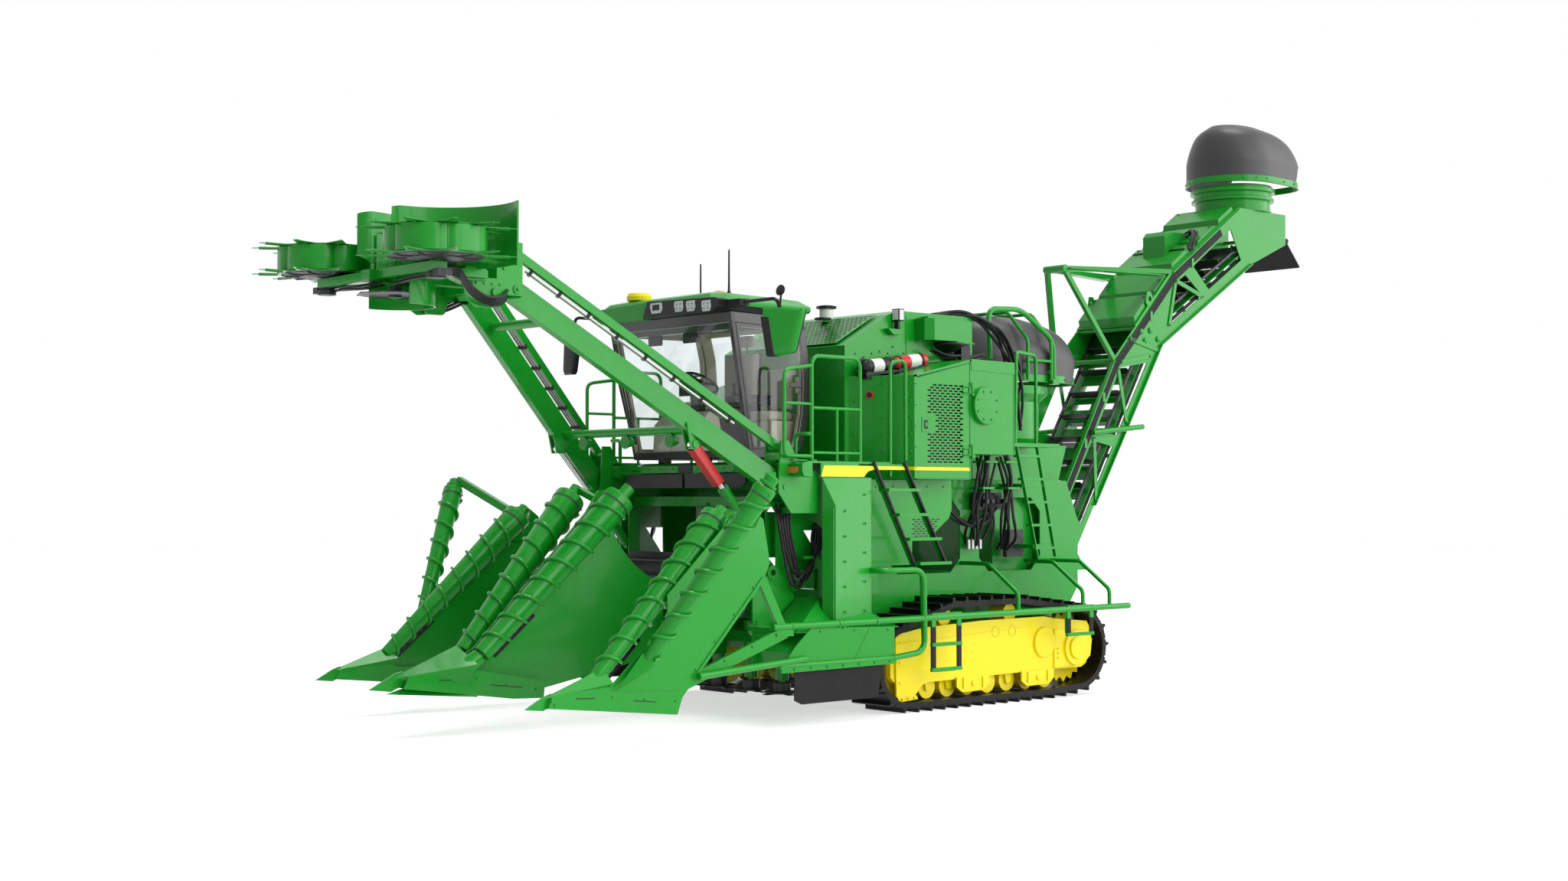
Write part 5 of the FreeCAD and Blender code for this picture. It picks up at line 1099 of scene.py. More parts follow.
# Undercarriage trim -------------------------------------------------------------------
def track_covers():
    """Yellow side covers, roller guards and hub plates of the track frames."""
    back, sheet, guard = 1.5, 1.522, 1.545        # faces, left of the middle
    for name, side in (("left", 1), ("right", -1)):
        shape = Shape("yellow")
        shape.plate("y", [(1.585, 0.16), (1.6, 0.78), (1.209, 0.835), (0.335, 0.872),
                          (-0.655, 0.876), (-0.8, 0.85), (-1.36, 0.8), (-1.43, 0.7), (-1.44, 0.56),
                          (-1.41, 0.42), (-1.3, 0.345), (-0.7, 0.305), (1.12, 0.282), (1.21, 0.262),
                          (1.323, 0.16)], back, sheet)
        shape.plate("y", [(1.6, 0.165), (1.32, 0.165), (1.3, 0.125), (1.56, 0.11)], back, guard)
        shape.beam((1.59, 1.524, 0.69), (-0.3, 1.524, 0.77), 0.01, 0.01)
        for x0, x1 in ((0.242, 0.735), (-0.78, -0.262)):       # roller guards
            shape.plate("y", [(x0, 0.31), (x0, 0.215), (x0 + 0.08, 0.155), (x1 - 0.08, 0.15),
                              (x1, 0.205), (x1, 0.31)], 1.524, 1.546)
            for x in (x0 + 0.1, x1 - 0.1):
                shape.box((x - 0.014, guard, 0.19), (x + 0.014, 1.56, 0.3))
            shape.turned(((x0 + x1) / 2, guard, 0.235), LEFT,
                         [(0.032, 0), (0.032, 0.012), (0.018, 0.02)], 14)
        shape.turned((-0.64, 1.52, 0.6), LEFT,
                     [(0.165, 0), (0.165, 0.022), (0.155, 0.03), (0.02, 0.032)], 40)
        shape.plate("y", [(-0.8, 0.315), (-0.8, 0.735), (-1.34, 0.7), (-1.43, 0.6), (-1.4, 0.42),
                          (-1.29, 0.345)], 1.52, 1.538)
        for x in (0.12, -0.14):                                 # rings of the lifting holes
            shape.hoop((x, 1.524, 0.745), LEFT, 0.055, 0.006, 24, 6)
        shape.bolt_row((-0.86, 1.538, 0.52), (-0.86, 1.538, 0.42), 3, LEFT, 0.022)
        shape.bolt_row((1.53, guard, 0.14), (1.36, guard, 0.145), 3, LEFT, 0.022)
        shape.bolt_row((1.54, sheet, 0.3), (1.54, sheet, 0.7), 3, LEFT, 0.018)
        shape.to_side(side)
        make_piece(f"track_cover_{name}", "chassis", shape, edge=0.004)


FOOT_STRAPS = ((0.96, 1.33, 0.435), (-1.115, -0.74, 0.69))     # rear, front, lowest step


def fender_trim():
    """Sloped caps, flanges, side tubes and foot straps along both tracks."""
    shape = Shape()
    shape.loft([points((3.05, 1.3, 0.9), (3.16, 1.765, 0.88), (1.78, 1.765, 0.88), (1.8, 1.3, 0.9)),
                points((2.72, 1.3, 1.19), (2.6, 1.5, 1.19), (2.32, 1.5, 1.17), (2.3, 1.3, 1.17))])
    shape.plate("y", [(3.36, 0.555), (3.16, 0.76), (2.96, 0.925), (1.86, 0.89), (1.86, 0.565)],
                1.752, 1.772)
    shape.beam((2.42, 1.774, 0.57), (2.2, 1.774, 0.885), 0.006, 0.01)
    shape.beam((3.36, 1.785, 0.545), (1.86, 1.785, 0.555), 0.03, 0.05)
    shape.bolt_row((3.2, 1.8, 0.548), (1.95, 1.8, 0.555), 7, LEFT, 0.02)
    shape.bolt_row((2.85, 1.772, 0.885), (1.95, 1.772, 0.86), 3, LEFT, 0.018)
    tube, y = sizes().guard_tube, 1.785
    shape.tube(points((3.46, y, 0.95), (-1.78, y - 0.015, 0.962)), tube, 12)
    shape.tube(points((4.4, 1.86, 0.56), (3.05, y, 0.64)), tube, 12)
    shape.tube(points((3.38, y, 0.585), (1.9, y, 0.585)), tube * 0.8, 12)
    shape.tube(round_corners(points((2.02, 1.27, 1.437), (2.0, y - 0.015, 1.437), (1.465, y, 1.437),
                                    (1.45, y, 0.625), (1.9, y, 0.585)), 0.14), tube * 0.9, 12)
    for x in (3.2, 2.6, 2.1):
        shape.turned((x, y, 0.951), AHEAD, [(tube + 0.004, 0), (tube + 0.004, 0.03)], 14)
    for x0, x1, low in FOOT_STRAPS:
        shape.box((x0 - 0.03, 1.775, 0.93), (x1 + 0.03, 1.8, 1.0))
        for x in (x0, x1):
            shape.box((x - 0.03, 1.778, 0.86), (x + 0.03, 1.796, 0.98))
        for z in (low, low + 0.25) if low < 0.6 else (low,):
            shape.box((x0 - 0.03, 1.77, z - 0.018), (x1 + 0.03, 1.806, z + 0.018))
    shape.use("flap")
    for x0, x1, low in FOOT_STRAPS:
        for x in (x0, x1):
            shape.box((x - 0.033, 1.782, low + 0.015), (x + 0.033, 1.793, 0.87))
    shape.copy_across()
    make_piece("fender_trim", "chassis", shape, edge=0.002)


# Topper drums -----------------------------------------------------------------------
DRUM = (6.557, 0.95)           # centre of the left drum
DRUM_LOBES = 5
DRUM_KNIVES = 10


def drum_outline(x, y, radius, sag, steps):
    """Lobes that bulge between sharp valleys."""
    outline = []
    for k in range(DRUM_LOBES * steps):
        turn = 2 * math.pi * k / (DRUM_LOBES * steps)
        swell = abs(math.sin(turn * DRUM_LOBES / 2)) ** 0.6
        r = radius - sag * (1 - swell)
        outline.append((x + r * math.cos(turn), y + r * math.sin(turn)))
    return outline


def knife_plate(shape, x, y, z, tip, root, thick):
    """A ring plate with long folded knives round its rim."""
    step = 2 * math.pi / DRUM_KNIVES
    outline = []
    for i in range(DRUM_KNIVES):
        for share, r in ((-0.36, root), (-0.3, root + 0.012), (-0.02, tip), (0.02, tip),
                         (0.3, root + 0.012), (0.36, root)):
            turn = step * (i + share)
            outline.append((x + r * math.cos(turn), y + r * math.sin(turn)))
    shape.plate("z", outline, z, z + thick)
    for i in range(DRUM_KNIVES):
        out = heading(step * i)
        base = Vector((x, y, z + thick / 2)) + out * (root + 0.01)
        shape.beam(base, base + out * (tip - root - 0.07), 0.012, 0.026, UP.cross(out))


def gathering_drum(side):
    """Lobed drum between two knife plates, on its motor hub."""
    x, y = DRUM[0], DRUM[1] * side
    shape = Shape()
    foot, top = 4.222, 4.448
    shape.plate("z", drum_outline(x, y, 0.452, 0.046, 16), foot, top)
    for z in (4.21, 4.452):
        knife_plate(shape, x, y, z, 0.682, 0.44, 0.007)
    for k in range(DRUM_LOBES):
        at = Vector((x, y, foot)) + heading(2 * math.pi * k / DRUM_LOBES) * 0.407
        shape.rod(at, at + UP * (top - foot), 0.007, sides=8)
    shape.bolt_ring((x, y, 4.459), UP, 0.1, 8)
    shape.turned((x, y, 4.175), UP, [(0.06, 0.0), (0.06, 0.295), (0.045, 0.3)], 24)
    shape.use("dark")
    shape.bolt_ring((x, y, 4.21), -UP, 0.4, 10)
    shape.turned((x, y, 4.18), UP, [(0.2, 0.0), (0.25, 0.008), (0.25, 0.03)], 24)
    shape.turned((x, y, 4.2), UP, [(0.385, 0.0), (0.395, 0.004), (0.395, 0.012)], 48)
    middle = Vector((x, y, 4.196))
    for k in range(DRUM_KNIVES):
        out = heading(2 * math.pi * k / DRUM_KNIVES)
        shape.beam(middle + out * 0.24, middle + out * 0.385, 0.02, 0.012, UP)
    name = "left" if side > 0 else "right"
    piece = make_piece(f"drum_{name}_knives", f"drum_{name}_body", shape, edge=0.002)
    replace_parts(piece, f"drum_{name}")


# Extractor hoods ----------------------------------------------------------------------
HOOD_RINGS = (                  # height, reach forward, reach back, half width
    (0.0, 1.0, 1.46, 1.0),
    (0.38, 1.0, 1.46, 1.0),
    (0.71, 0.92, 1.26, 0.86),
    (0.88, 0.81, 0.92, 0.7),
    (1.0, 0.61, 0.47, 0.41),
)
HOOD_COUNT = 72                 # points in a ring
HOOD_LEVELS = 32


def hood_level(level):
    """Reaches at a height, on a soft line through the hood's rings."""
    rows = [Vector(ring) for ring in HOOD_RINGS]
    last = len(rows) - 1
    i = next((k for k in range(last) if level <= rows[k + 1][0]), last - 1)
    if i == 0:
        return rows[0]
    a, b, c, d = rows[i - 1], rows[i], rows[i + 1], rows[min(i + 2, last)]
    run = c[0] - b[0]
    t = (level - b[0]) / run
    m0 = (c - a) * (run / (c[0] - a[0]))
    m1 = (d - b) * (run / (d[0] - b[0]))
    return (b * (2 * t ** 3 - 3 * t * t + 1) + m0 * (t ** 3 - 2 * t * t + t)
            + c * (3 * t * t - 2 * t ** 3) + m1 * (t ** 3 - t * t))


def hood_points(x, z, front, back, half, count=HOOD_COUNT):
    """One closed ring: round to the front, squarer to the back."""
    ring = []
    for i in range(count):
        c, s = math.cos(2 * math.pi * i / count), math.sin(2 * math.pi * i / count)
        if c >= 0:
            ring.append(Vector((x + front * c, half * s, z)))
        else:
            ring.append(Vector((x - back * abs(c) ** 0.6, half * math.copysign(abs(s) ** 0.6, s),
                                z)))
    return ring


def hood_shell(name, body, node, x, radius, z0, height, back):
    """A smooth moulded shell, open below and through its rear mouth."""
    rings = []
    for i in range(HOOD_LEVELS + 1):
        level = i / HOOD_LEVELS
        _, front, behind, half = hood_level(level)
        rings.append(hood_points(x, z0 + level * height, front * radius,
                                 behind * back / HOOD_RINGS[0][2], half * radius))
    last = rings[-1]
    centre = sum(last, Vector()) / len(last)
    for share in (0.93, 0.8, 0.55, 0.25):
        rings.append([centre + (p - centre) * share for p in last])
    shape = Shape("hood")
    shape.loft(rings, capped=False)
    shape.face(list(shape.mesh.verts)[-HOOD_COUNT:])
    mouth = z0 + HOOD_RINGS[1][0] * height
    slope = Vector((mouth - z0 - 0.02, 0, 0.14)).normalized()
    foot = Vector((x - radius - 0.02, 0, z0 + 0.02))
    for at, normal in ((Vector((0, 0, mouth)), UP), (foot, slope)):
        everything = shape.mesh.faces[:] + shape.mesh.edges[:] + shape.mesh.verts[:]
        bmesh.ops.bisect_plane(shape.mesh, geom=everything, plane_co=at, plane_no=normal,
                               dist=0.0005)
    gone = [f for f in shape.mesh.faces if f.calc_center_median().z < mouth
            and (f.calc_center_median() - foot).dot(slope) < 0]
    bmesh.ops.delete(shape.mesh, geom=gone, context="FACES")
    piece = make_piece(name, body, shape, sharp=50.0)
    wall = piece.modifiers.new("wall", "SOLIDIFY")
    wall.thickness = 0.014
    wall.offset = -1.0
    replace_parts(piece, node)


def hoods():
    """The shells of both extractor hoods."""
    hood_shell("primary_hood_shell", "primary_hood_body", "primary_hood", -1.4, 0.74, 3.46,
               0.76, 1.08)
    hood_shell("secondary_hood_shell", "secondary_hood_body", "secondary_hood", -6.25, 0.6,
               6.26, 0.79, 0.99)


# Marks and stripes -----------------------------------------------------------------
def stripes():
    """Yellow stripe along both sides with its wide bare front plate."""
    shape = Shape("yellow")
    z1 = 2.46
    z0 = z1 - sizes().stripe
    shape.plate("y", [(0.535, z0), (1.352, z0), (1.352, z1), (0.55, z1)], 1.5505, 1.5535)
    middle = (z0 + z1) / 2
    corner, seam, root = points((1.352, 1.552, middle), (1.492, 1.331, middle),
                                (1.7, 0.945, middle))
    for a, b in ((corner, seam), (seam, root)):
        shape.beam(a, b, z1 - z0, 0.006, UP)
    shape.plate("y", [(1.975, z0), (2.052, z0 - 0.018), (2.114, 2.351), (2.682, 2.351), (2.644, z1),
                      (1.975, z1)], 1.6005, 1.604)
    shape.plate("y", [(1.52, z0), (1.99, z0), (1.99, z1), (1.52, z1)], 1.6005, 1.603)
    shape.copy_across()
    make_piece("side_stripes", "chassis", shape, edge=0.001)


# Topper head ------------------------------------------------------------------------
def upright_sheet(shape, path, low, high, thick):
    """A sheet that stands along a path seen from above, with its own foot and top heights."""
    rings = []
    for i, point in enumerate(path):
        along = (path[min(i + 1, len(path) - 1)] - path[max(i - 1, 0)]).normalized()
        out = Vector((along.y, -along.x, 0)) * (thick / 2)
        rings.append([Vector((p.x, p.y, z))
                      for p, z in ((point - out, low[i]), (point + out, low[i]),
                                   (point + out, high[i]), (point - out, high[i]))])
    shape.loft(rings)


def topper_head_trim():
    """Tall cane shields, bracket plates, motors and hoses of the topper head."""
    shape = Shape()
    drum = Vector((*DRUM, 0))
    path, low, high = [], [], []
    for i in range(25):
        turn = math.radians(160 + 4.4 * i)
        path.append(drum + heading(turn) * 0.711)
        low.append(4.165 + 0.1 * min(1.0, i / 12))
        high.append(4.735)
    for i in range(1, 7):
        turn = math.radians(14 * i)
        path.append(path[24] + Vector((0.1 * math.sin(turn), 0.08 - 0.1 * math.cos(turn), 0)))
        low.append(low[24] + 0.012 * i)
        high.append(high[24] - 0.004 * i)
    upright_sheet(shape, path, low, high, 0.017)
    for turn in (172, 196, 220, 244, 262):
        out = heading(math.radians(turn))
        at = drum + out * 0.72
        shape.bolt(at + UP * 4.66, out, 0.018)
        shape.beam(at + UP * 4.2, at + UP * 4.52, 0.03, 0.012, out)
    shape.plate("y", [(5.53, 4.08), (5.6, 3.875), (5.63, 3.862), (5.78, 3.862), (5.81, 3.88),
                      (5.905, 4.1), (5.86, 4.13), (5.58, 4.13)], 0.455, 0.475)
    shape.plate("y", [(6.05, 4.17), (6.0, 3.99), (5.95, 3.9), (5.87, 3.852), (5.8, 3.858),
                      (5.8, 3.9), (5.86, 3.92), (5.91, 3.98), (5.95, 4.17)], 0.5, 0.515)
    shape.rod((5.64, 0.44, 4.0), (5.64, 0.5, 4.0), 0.05)
    for z, radius in ((4.05, 0.044), (4.42, 0.034)):
        shape.rod((5.4, 0.245, z), (5.4, 0.47, z), radius)
        shape.bolt((5.4, 0.47, z), LEFT, 0.03)
    shape.bolt_row((5.545, 0.46, 4.1), (5.545, 0.46, 4.36), 3, LEFT, 0.022)
    shape.bolt_row((5.6, 0.475, 4.08), (5.85, 0.475, 4.08), 4, LEFT, 0.02)
    shape.beam((5.62, 0.3, 4.27), (6.3, 0.62, 4.2), 0.07, 0.05, UP)
    shape.use("dark")
    shape.turned((DRUM[0], DRUM[1], 4.02), UP, [(0.05, 0), (0.085, 0.005), (0.085, 0.05),
                                                 (0.07, 0.055), (0.07, 0.075)], 20)
    shape.box((DRUM[0] - 0.07, DRUM[1] + 0.06, 4.04), (DRUM[0] + 0.07, DRUM[1] + 0.14, 4.1))
    shape.use("hose")
    arm_route = points((5.45, 0.36, 3.98), (5.6, 0.5, 3.9), (5.8, 0.56, 3.885), (6.0, 0.6, 3.97),
                       (6.18, 0.7, 4.09), (6.45, 0.85, 4.075))
    middle_route = points((6.45, 0.1, 4.06), (6.55, 0.3, 4.035), (6.56, 0.6, 4.05),
                          (6.53, 0.85, 4.06))
    for route, count, step, radius in ((arm_route, 4, Vector((0.02, 0.035, 0.018)), 0.014),
                                       (middle_route, 2, Vector((0.0, 0.05, 0.03)), 0.013)):
        for k in range(count):
            shape.tube(smooth_path([p + step * k for p in route]), radius)
    shape.copy_across()
    shape.use("green")
    shape.turned((6.4, 0, 4.345), UP, [(0.075, 0), (0.085, 0.01), (0.085, 0.05), (0.03, 0.06)], 20)
    shape.bolt_ring((6.4, 0, 4.4), UP, 0.06, 6, 0.016)
    for y0, y1 in ((-0.24, -0.225), (0.225, 0.24)):
        shape.plate("y", [(5.62, 4.17), (5.95, 4.17), (5.62, 4.33)], y0, y1)
    make_piece("topper_head_trim", "topper_head_body", shape, edge=0.002)


# Engine side ------------------------------------------------------------------------
def grille_leaf():
    """Door leaf with brick rows of slots, its latch and strap hinges."""
    shape = Shape()
    x0, x1, z0 = 0.537, 1.313, 2.347    # rear, front and foot of the leaf
    y0, y1 = 1.538, 1.5465              # inner and outer face

    def top(x):
        return 3.356 - (x - 1.313) * 0.2335

    columns, rows, pitch_x, pitch_z = 7, 29, 0.078, 0.028
    left, low = 0.625, 2.498            # where the slotted field starts
    right, high = left + columns * pitch_x, low + rows * pitch_z
    half, rise = 0.0305, 0.0082         # half a slot's length and height

    def plain_run(z, start, end):
        if end - start > 0.001:
            shape.box((start, y0, z), (end, y1, z + pitch_z))

    def slot_cell(x, z):
        a, b = x - pitch_x / 2, x + pitch_x / 2
        c, d = z - pitch_z / 2, z + pitch_z / 2
        outer = [(a, c), (x, c), (b, c), (b, z), (b, d), (x, d), (a, d), (a, z)]
        inner = [(x - half + rise, z - rise), (x, z - rise), (x + half - rise, z - rise),
                 (x + half, z), (x + half - rise, z + rise), (x, z + rise),
                 (x - half + rise, z + rise), (x - half, z)]
        front_out, front_in, back_in = ([shape.mesh.verts.new((p, y, q)) for p, q in outline]
                                        for outline, y in ((outer, y1), (inner, y1), (inner, y0)))
        for i in range(8):
            j = (i + 1) % 8
            shape.face([front_out[i], front_out[j], front_in[j], front_in[i]])
            # Black walls in each slot: painted shade inside the opening.
            shape.use("black")
            shape.face([front_in[i], front_in[j], back_in[j], back_in[i]])
            shape.use("green")

    for row in range(rows):
        z = low + row * pitch_z
        done = left
        for column in range(columns - row % 2):
            x = left + 0.5 * pitch_x * (row % 2) + column * pitch_x
            middle = x + pitch_x / 2
            above = z + pitch_z > top(x + pitch_x) - 0.085
            behind_latch = middle > 1.035 and 2.78 < z < 2.98
            if not above and not behind_latch:
                plain_run(z, done, middle - pitch_x / 2)
                slot_cell(middle, z + pitch_z / 2)
                done = middle + pitch_x / 2
        plain_run(z, done, right)
    shape.plate("y", [(x0, z0), (x1, z0), (x1, low), (x0, low)], y0, y1)
    shape.plate("y", [(x0, low), (left, low), (left, high), (x0, high)], y0, y1)
    shape.plate("y", [(right, low), (x1, low), (x1, high), (right, high)], y0, y1)
    shape.plate("y", [(x0, high), (x1, high), (x1, top(x1)), (x0, top(x0))], y0, y1)
    rim = 0.022
    corners = points((x0, 1.531, z0), (x1, 1.531, z0), (x1, 1.531, top(x1)), (x0, 1.531, top(x0)))
    for start, end in zip(corners, corners[1:] + corners[:1]):
        shape.beam(start, end, rim, 0.012)
    for z in (2.6, 3.24):
        shape.box((0.518, 1.5462, z - 0.03), (0.64, 1.556, z + 0.07))
        shape.rod((0.52, 1.568, z - 0.02), (0.52, 1.568, z + 0.06), 0.016)
        shape.box((0.52, 1.552, z - 0.02), (0.56, 1.568, z + 0.06))
        for x in (0.585, 0.62):
            shape.bolt_row((x, 1.556, z - 0.01), (x, 1.556, z + 0.05), 2, LEFT, 0.018)
    shape.box((1.13, 1.546, 2.815), (1.245, 1.552, 2.965))
    shape.use("black")
    shape.box((1.16, 1.5518, 2.845), (1.215, 1.5545, 2.935))
    shape.use("green")
    shape.box((1.172, 1.554, 2.87), (1.203, 1.56, 2.91))
    piece = make_piece("grille_door_leaf", "grille_door_body", shape, sharp=30.0)
    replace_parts(piece, "grille_door")


def side_box_shells():
    """Boxes beside the engine with their slanted fronts and the round cover."""
    def slope(x):
        return 3.388 + (1.35 - x) * 0.2313
    shape = Shape()
    inner, outer, foot = 0.94, 1.55, 2.335
    rear, fore = 0.519, 1.352         # ends of the door's bay
    front = [(1.35, inner), (1.7, inner), (1.49, 1.33), (1.35, outer)]
    for side, face in ((1, 1.5), (-1, outer)):
        shape.plate("y", [(0.52, 2.6), (0.52, 3.58), (-0.15, 3.57), (-0.15, 2.6)], side * inner,
                    side * outer)
        shape.plate("y", [(fore, foot), (fore, slope(1.35)), (rear, slope(rear)), (rear, foot)],
                    side * inner, side * face)
        shape.loft([[Vector((x, side * y, z)) for x, y in front] for z in (foot, 3.386)])
    for outline in ([(1.316, foot), (fore, foot), (fore, slope(1.35)), (1.316, slope(1.316))],
                    [(rear, foot), (0.533, foot), (0.533, slope(0.533)), (rear, slope(rear))],
                    [(rear, slope(rear) - 0.03), (fore, slope(fore) - 0.022), (fore, slope(1.35)),
                     (rear, slope(rear))],
                    [(rear, foot), (fore, foot), (fore, 2.344), (rear, 2.344)]):
        shape.plate("y", outline, 1.5, outer)
    shape.turned((0.32, outer, 3.105), LEFT,
                 [(0.196, 0), (0.196, 0.044), (0.19, 0.052), (0.05, 0.054)], 56)
    shape.bolt_ring((0.32, 1.602, 3.105), LEFT, 0.155, 8, 0.02)
    shape.plate("y", [(-0.155, 3.452), (0.515, 3.47), (0.515, 3.586), (-0.155, 3.576)], 1.549,
                1.556)
    shape.box((-0.152, 1.549, 2.598), (-0.14, 1.555, 3.46))
    for z in (2.56, 3.2):
        shape.rod((0.52, 1.568, z), (0.52, 1.568, z + 0.14), 0.009)
        shape.box((0.48, 1.549, z), (0.52, 1.577, z + 0.03))
    seam = Vector((1.49, 1.33, 0))
    flat = Vector((0.39, 0.21, 0)).normalized()
    shape.beam(seam + UP * 2.35, seam + UP * 3.375, 0.02, 0.008, UP.cross(flat))
    for foot, out in (((1.665, 1.005), flat), ((1.52, 1.275), flat),
                      ((1.372, 1.515), Vector((0.84, 0.54, 0)))):
        at = Vector((*foot, 0))
        shape.bolt_row(at + UP * 2.62, at + UP * 3.3, 5, out, 0.018)
    shape.bolt_row((1.335, outer, 2.45), (1.335, outer, 3.3), 5, LEFT, 0.014)
    shape.use("black")
    shape.plate("y", [(0.54, 2.36), (1.31, 2.36), (1.31, 3.34), (0.54, 3.52)], 1.4995, 1.503)
    piece = make_piece("side_box_shells", "chassis", shape, edge=0.003)
    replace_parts(piece, "side_boxes")


def engine_side():
    """Filler ring, bolts and strapped extinguishers on the left side."""
    shape = Shape()
    for x0, x1, z0, z1, colour_name, label in ((1.66, 1.205, 3.47, 3.525, "black", 0.12),
                                               (1.2, 0.745, 3.525, 3.59, "red", 0.2)):
        start, end = Vector((x0, 1.1, z0)), Vector((x1, 1.1, z1))
        along = (end - start).normalized()
        reach = (end - start).length
        shape.use(colour_name)
        shape.turned(start, along, [(0.03, 0), (0.06, 0.02), (0.074, 0.05), (0.074, reach - 0.04),
                                    (0.06, reach)], 28)
        shape.use("white")
        shape.turned(start + along * label, along, [(0.0755, 0), (0.0755, 0.15)], 28)
        shape.use("black")
        for share in (0.1, 0.78):
            at = start + along * (reach * share)
            shape.turned(at, along, [(0.079, 0), (0.079, 0.03)], 28)
            shape.box((at.x - 0.05, 1.03, at.z - 0.125), (at.x + 0.03, 1.17, at.z - 0.05))
        shape.beam(start - UP * 0.075, end - UP * 0.075, 0.15, 0.03)
        shape.rod(start, start - along * 0.05, 0.018)
    shape.beam((1.7, 1.1, 3.52), (1.62, 1.1, 3.58), 0.016, 0.016)
    shape.use("green")
    shape.bolt_row((1.6, 0.951, 3.62), (0.9, 0.951, 3.66), 4, LEFT, 0.016)
    shape.use("red")
    low = Vector((1.588, 1.15, 3.19))
    out = Vector((0.88, 0.47, 0)).normalized()
    shape.rod(low, low + out * 0.01, 0.042, sides=24)
    shape.use("black")
    shape.rod(low, low + out * 0.02, 0.026, sides=24)
    make_piece("engine_side", "chassis", shape, edge=0.0012)


def screen_sheet():
    """Slotted sheet over the housing's sloped screen."""
    shape = Shape()
    low, high = Vector((1.725, 0, 3.722)), Vector((1.15, 0, 4.047))
    along = (high - low).normalized()
    out = LEFT.cross(along).normalized()
    if out.z < 0:
        out.negate()
    reach = (high - low).length
    shape.beam(low + out * 0.012, high + out * 0.012, 1.6, 0.004)
    # The slots are black patches laid on the sheet: painted shade where the openings are.
    shape.use("black")
    rows, columns = 15, 24
    for row in range(rows):
        for column in range(columns - row % 2):
            at = low + along * (reach * (row + 0.8) / (rows + 0.6)) + out * 0.0145
            y = -0.74 + (column + 0.5 * (row % 2)) * 1.48 / (columns - 1)
            shape.beam(at + LEFT * (y - 0.022), at + LEFT * (y + 0.022), 0.003, 0.021, out)
    make_piece("screen_sheet", "chassis", shape)


def intake_pipe():
    """White air intake with its cap and foot on top of the housing."""
    shape = Shape("white")
    shape.turned((1.12, 0.0, 4.035), UP, [(0.075, 0), (0.075, 0.14), (0.07, 0.15)], 24)
    shape.use("black")
    shape.turned((1.12, 0.0, 4.175), UP, [(0.08, 0), (0.108, 0.004), (0.112, 0.03), (0.06, 0.04)],
                 8)
    shape.use("green")
    shape.turned((1.12, 0.0, 3.99), UP, [(0.12, 0), (0.12, 0.02), (0.078, 0.05)], 24)
    shape.beam((1.05, 0.1, 4.055), (1.3, 0.1, 4.02), 0.12, 0.008)
    piece = make_piece("intake_pipe", "chassis", shape, edge=0.002)
    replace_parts(piece, "air_intake")


def housing_top():
    """Work lamp, tank, valve parts and hoses on and behind the engine housing."""
    shape = Shape()
    shape.plate("z", [(0.74, 0.945), (0.74, 1.1), (0.66, 1.17), (0.3, 1.17), (0.26, 1.1),
                      (0.02, 1.1), (0.02, 0.945)], 3.8, 4.03)
    # Small fittings round the tank
    shape.box((0.02, 0.945, 3.785), (0.3, 1.14, 3.8))
    shape.box((0.5, 0.945, 3.985), (0.62, 1.03, 4.06))
    shape.bolt_row((0.3, 0.951, 3.95), (1.25, 0.951, 3.66), 6, LEFT, 0.018)
    shape.bolt_row((-0.05, 0.951, 4.04), (0.9, 0.951, 4.04), 4, LEFT, 0.018)
    shape.box((0.86, 0.95, 3.42), (0.866, 0.955, 4.06))
    shape.plate("y", [(0.96, 3.9), (1.19, 3.9), (1.12, 3.84), (1.02, 3.84)], 0.945, 1.02)
    shape.use("black")
    shape.box((0.996, 0.955, 3.985), (1.075, 1.055, 4.11))
    shape.box((1.03, 0.97, 3.9), (1.06, 1.03, 3.99))
    shape.turned((0.3, 1.03, 3.79), -UP, [(0.17, 0), (0.17, 0.02), (0.06, 0.1), (0.05, 0.16)], 20)
    shape.box((0.02, 0.96, 3.6), (0.16, 1.08, 3.78))
    shape.turned((1.45, 0.3, 4.02), UP, [(0.09, 0.0), (0.09, 0.02)], 24)
    hose_bundle(shape,
                points((0.3, 0.8, 4.09), (-0.05, 0.92, 4.13), (-0.26, 0.98, 4.07),
                       (-0.52, 1.0, 3.93), (-0.72, 1.0, 3.7), (-0.8, 0.99, 3.45),
                       (-0.82, 0.98, 3.2), (-0.85, 0.98, 2.9)), 8, 0.05, 0.016, 0.4)
    hose_bundle(shape,
                points((0.28, 1.02, 3.64), (0.1, 1.02, 3.6), (-0.1, 1.0, 3.66), (-0.3, 0.95, 3.7)),
                5, 0.03, 0.014)
    hose_bundle(shape, points((0.6, 1.06, 3.7), (0.4, 1.1, 3.64), (0.2, 1.1, 3.66)), 3, 0.025,
                0.012, 1.0)
    shape.use("lens")
    shape.box((1.074, 0.965, 3.995), (1.08, 1.045, 4.1))
    shape.box((1.005, 1.054, 3.995), (1.066, 1.059, 4.1))
    make_piece("housing_top", "chassis", shape, edge=0.0015)


def hood_hoops():
    """Bent guard tubes over the primary hood, with their feet."""
    shape = Shape()
    for side in (1, -1):
        shape.tube(round_corners(points((-0.6, side * 0.8, 3.68), (-0.59, side * 0.78, 4.235),
                                        (-1.15, side * 0.76, 4.265), (-1.7, side * 0.77, 3.94),
                                        (-1.707, side * 0.77, 3.48)), 0.14), 0.03, 12)
        shape.box((-1.76, side * 0.77 - 0.04, 3.44), (-1.65, side * 0.77 + 0.04, 3.5))
    make_piece("hood_hoops", "primary_hood_body", shape)


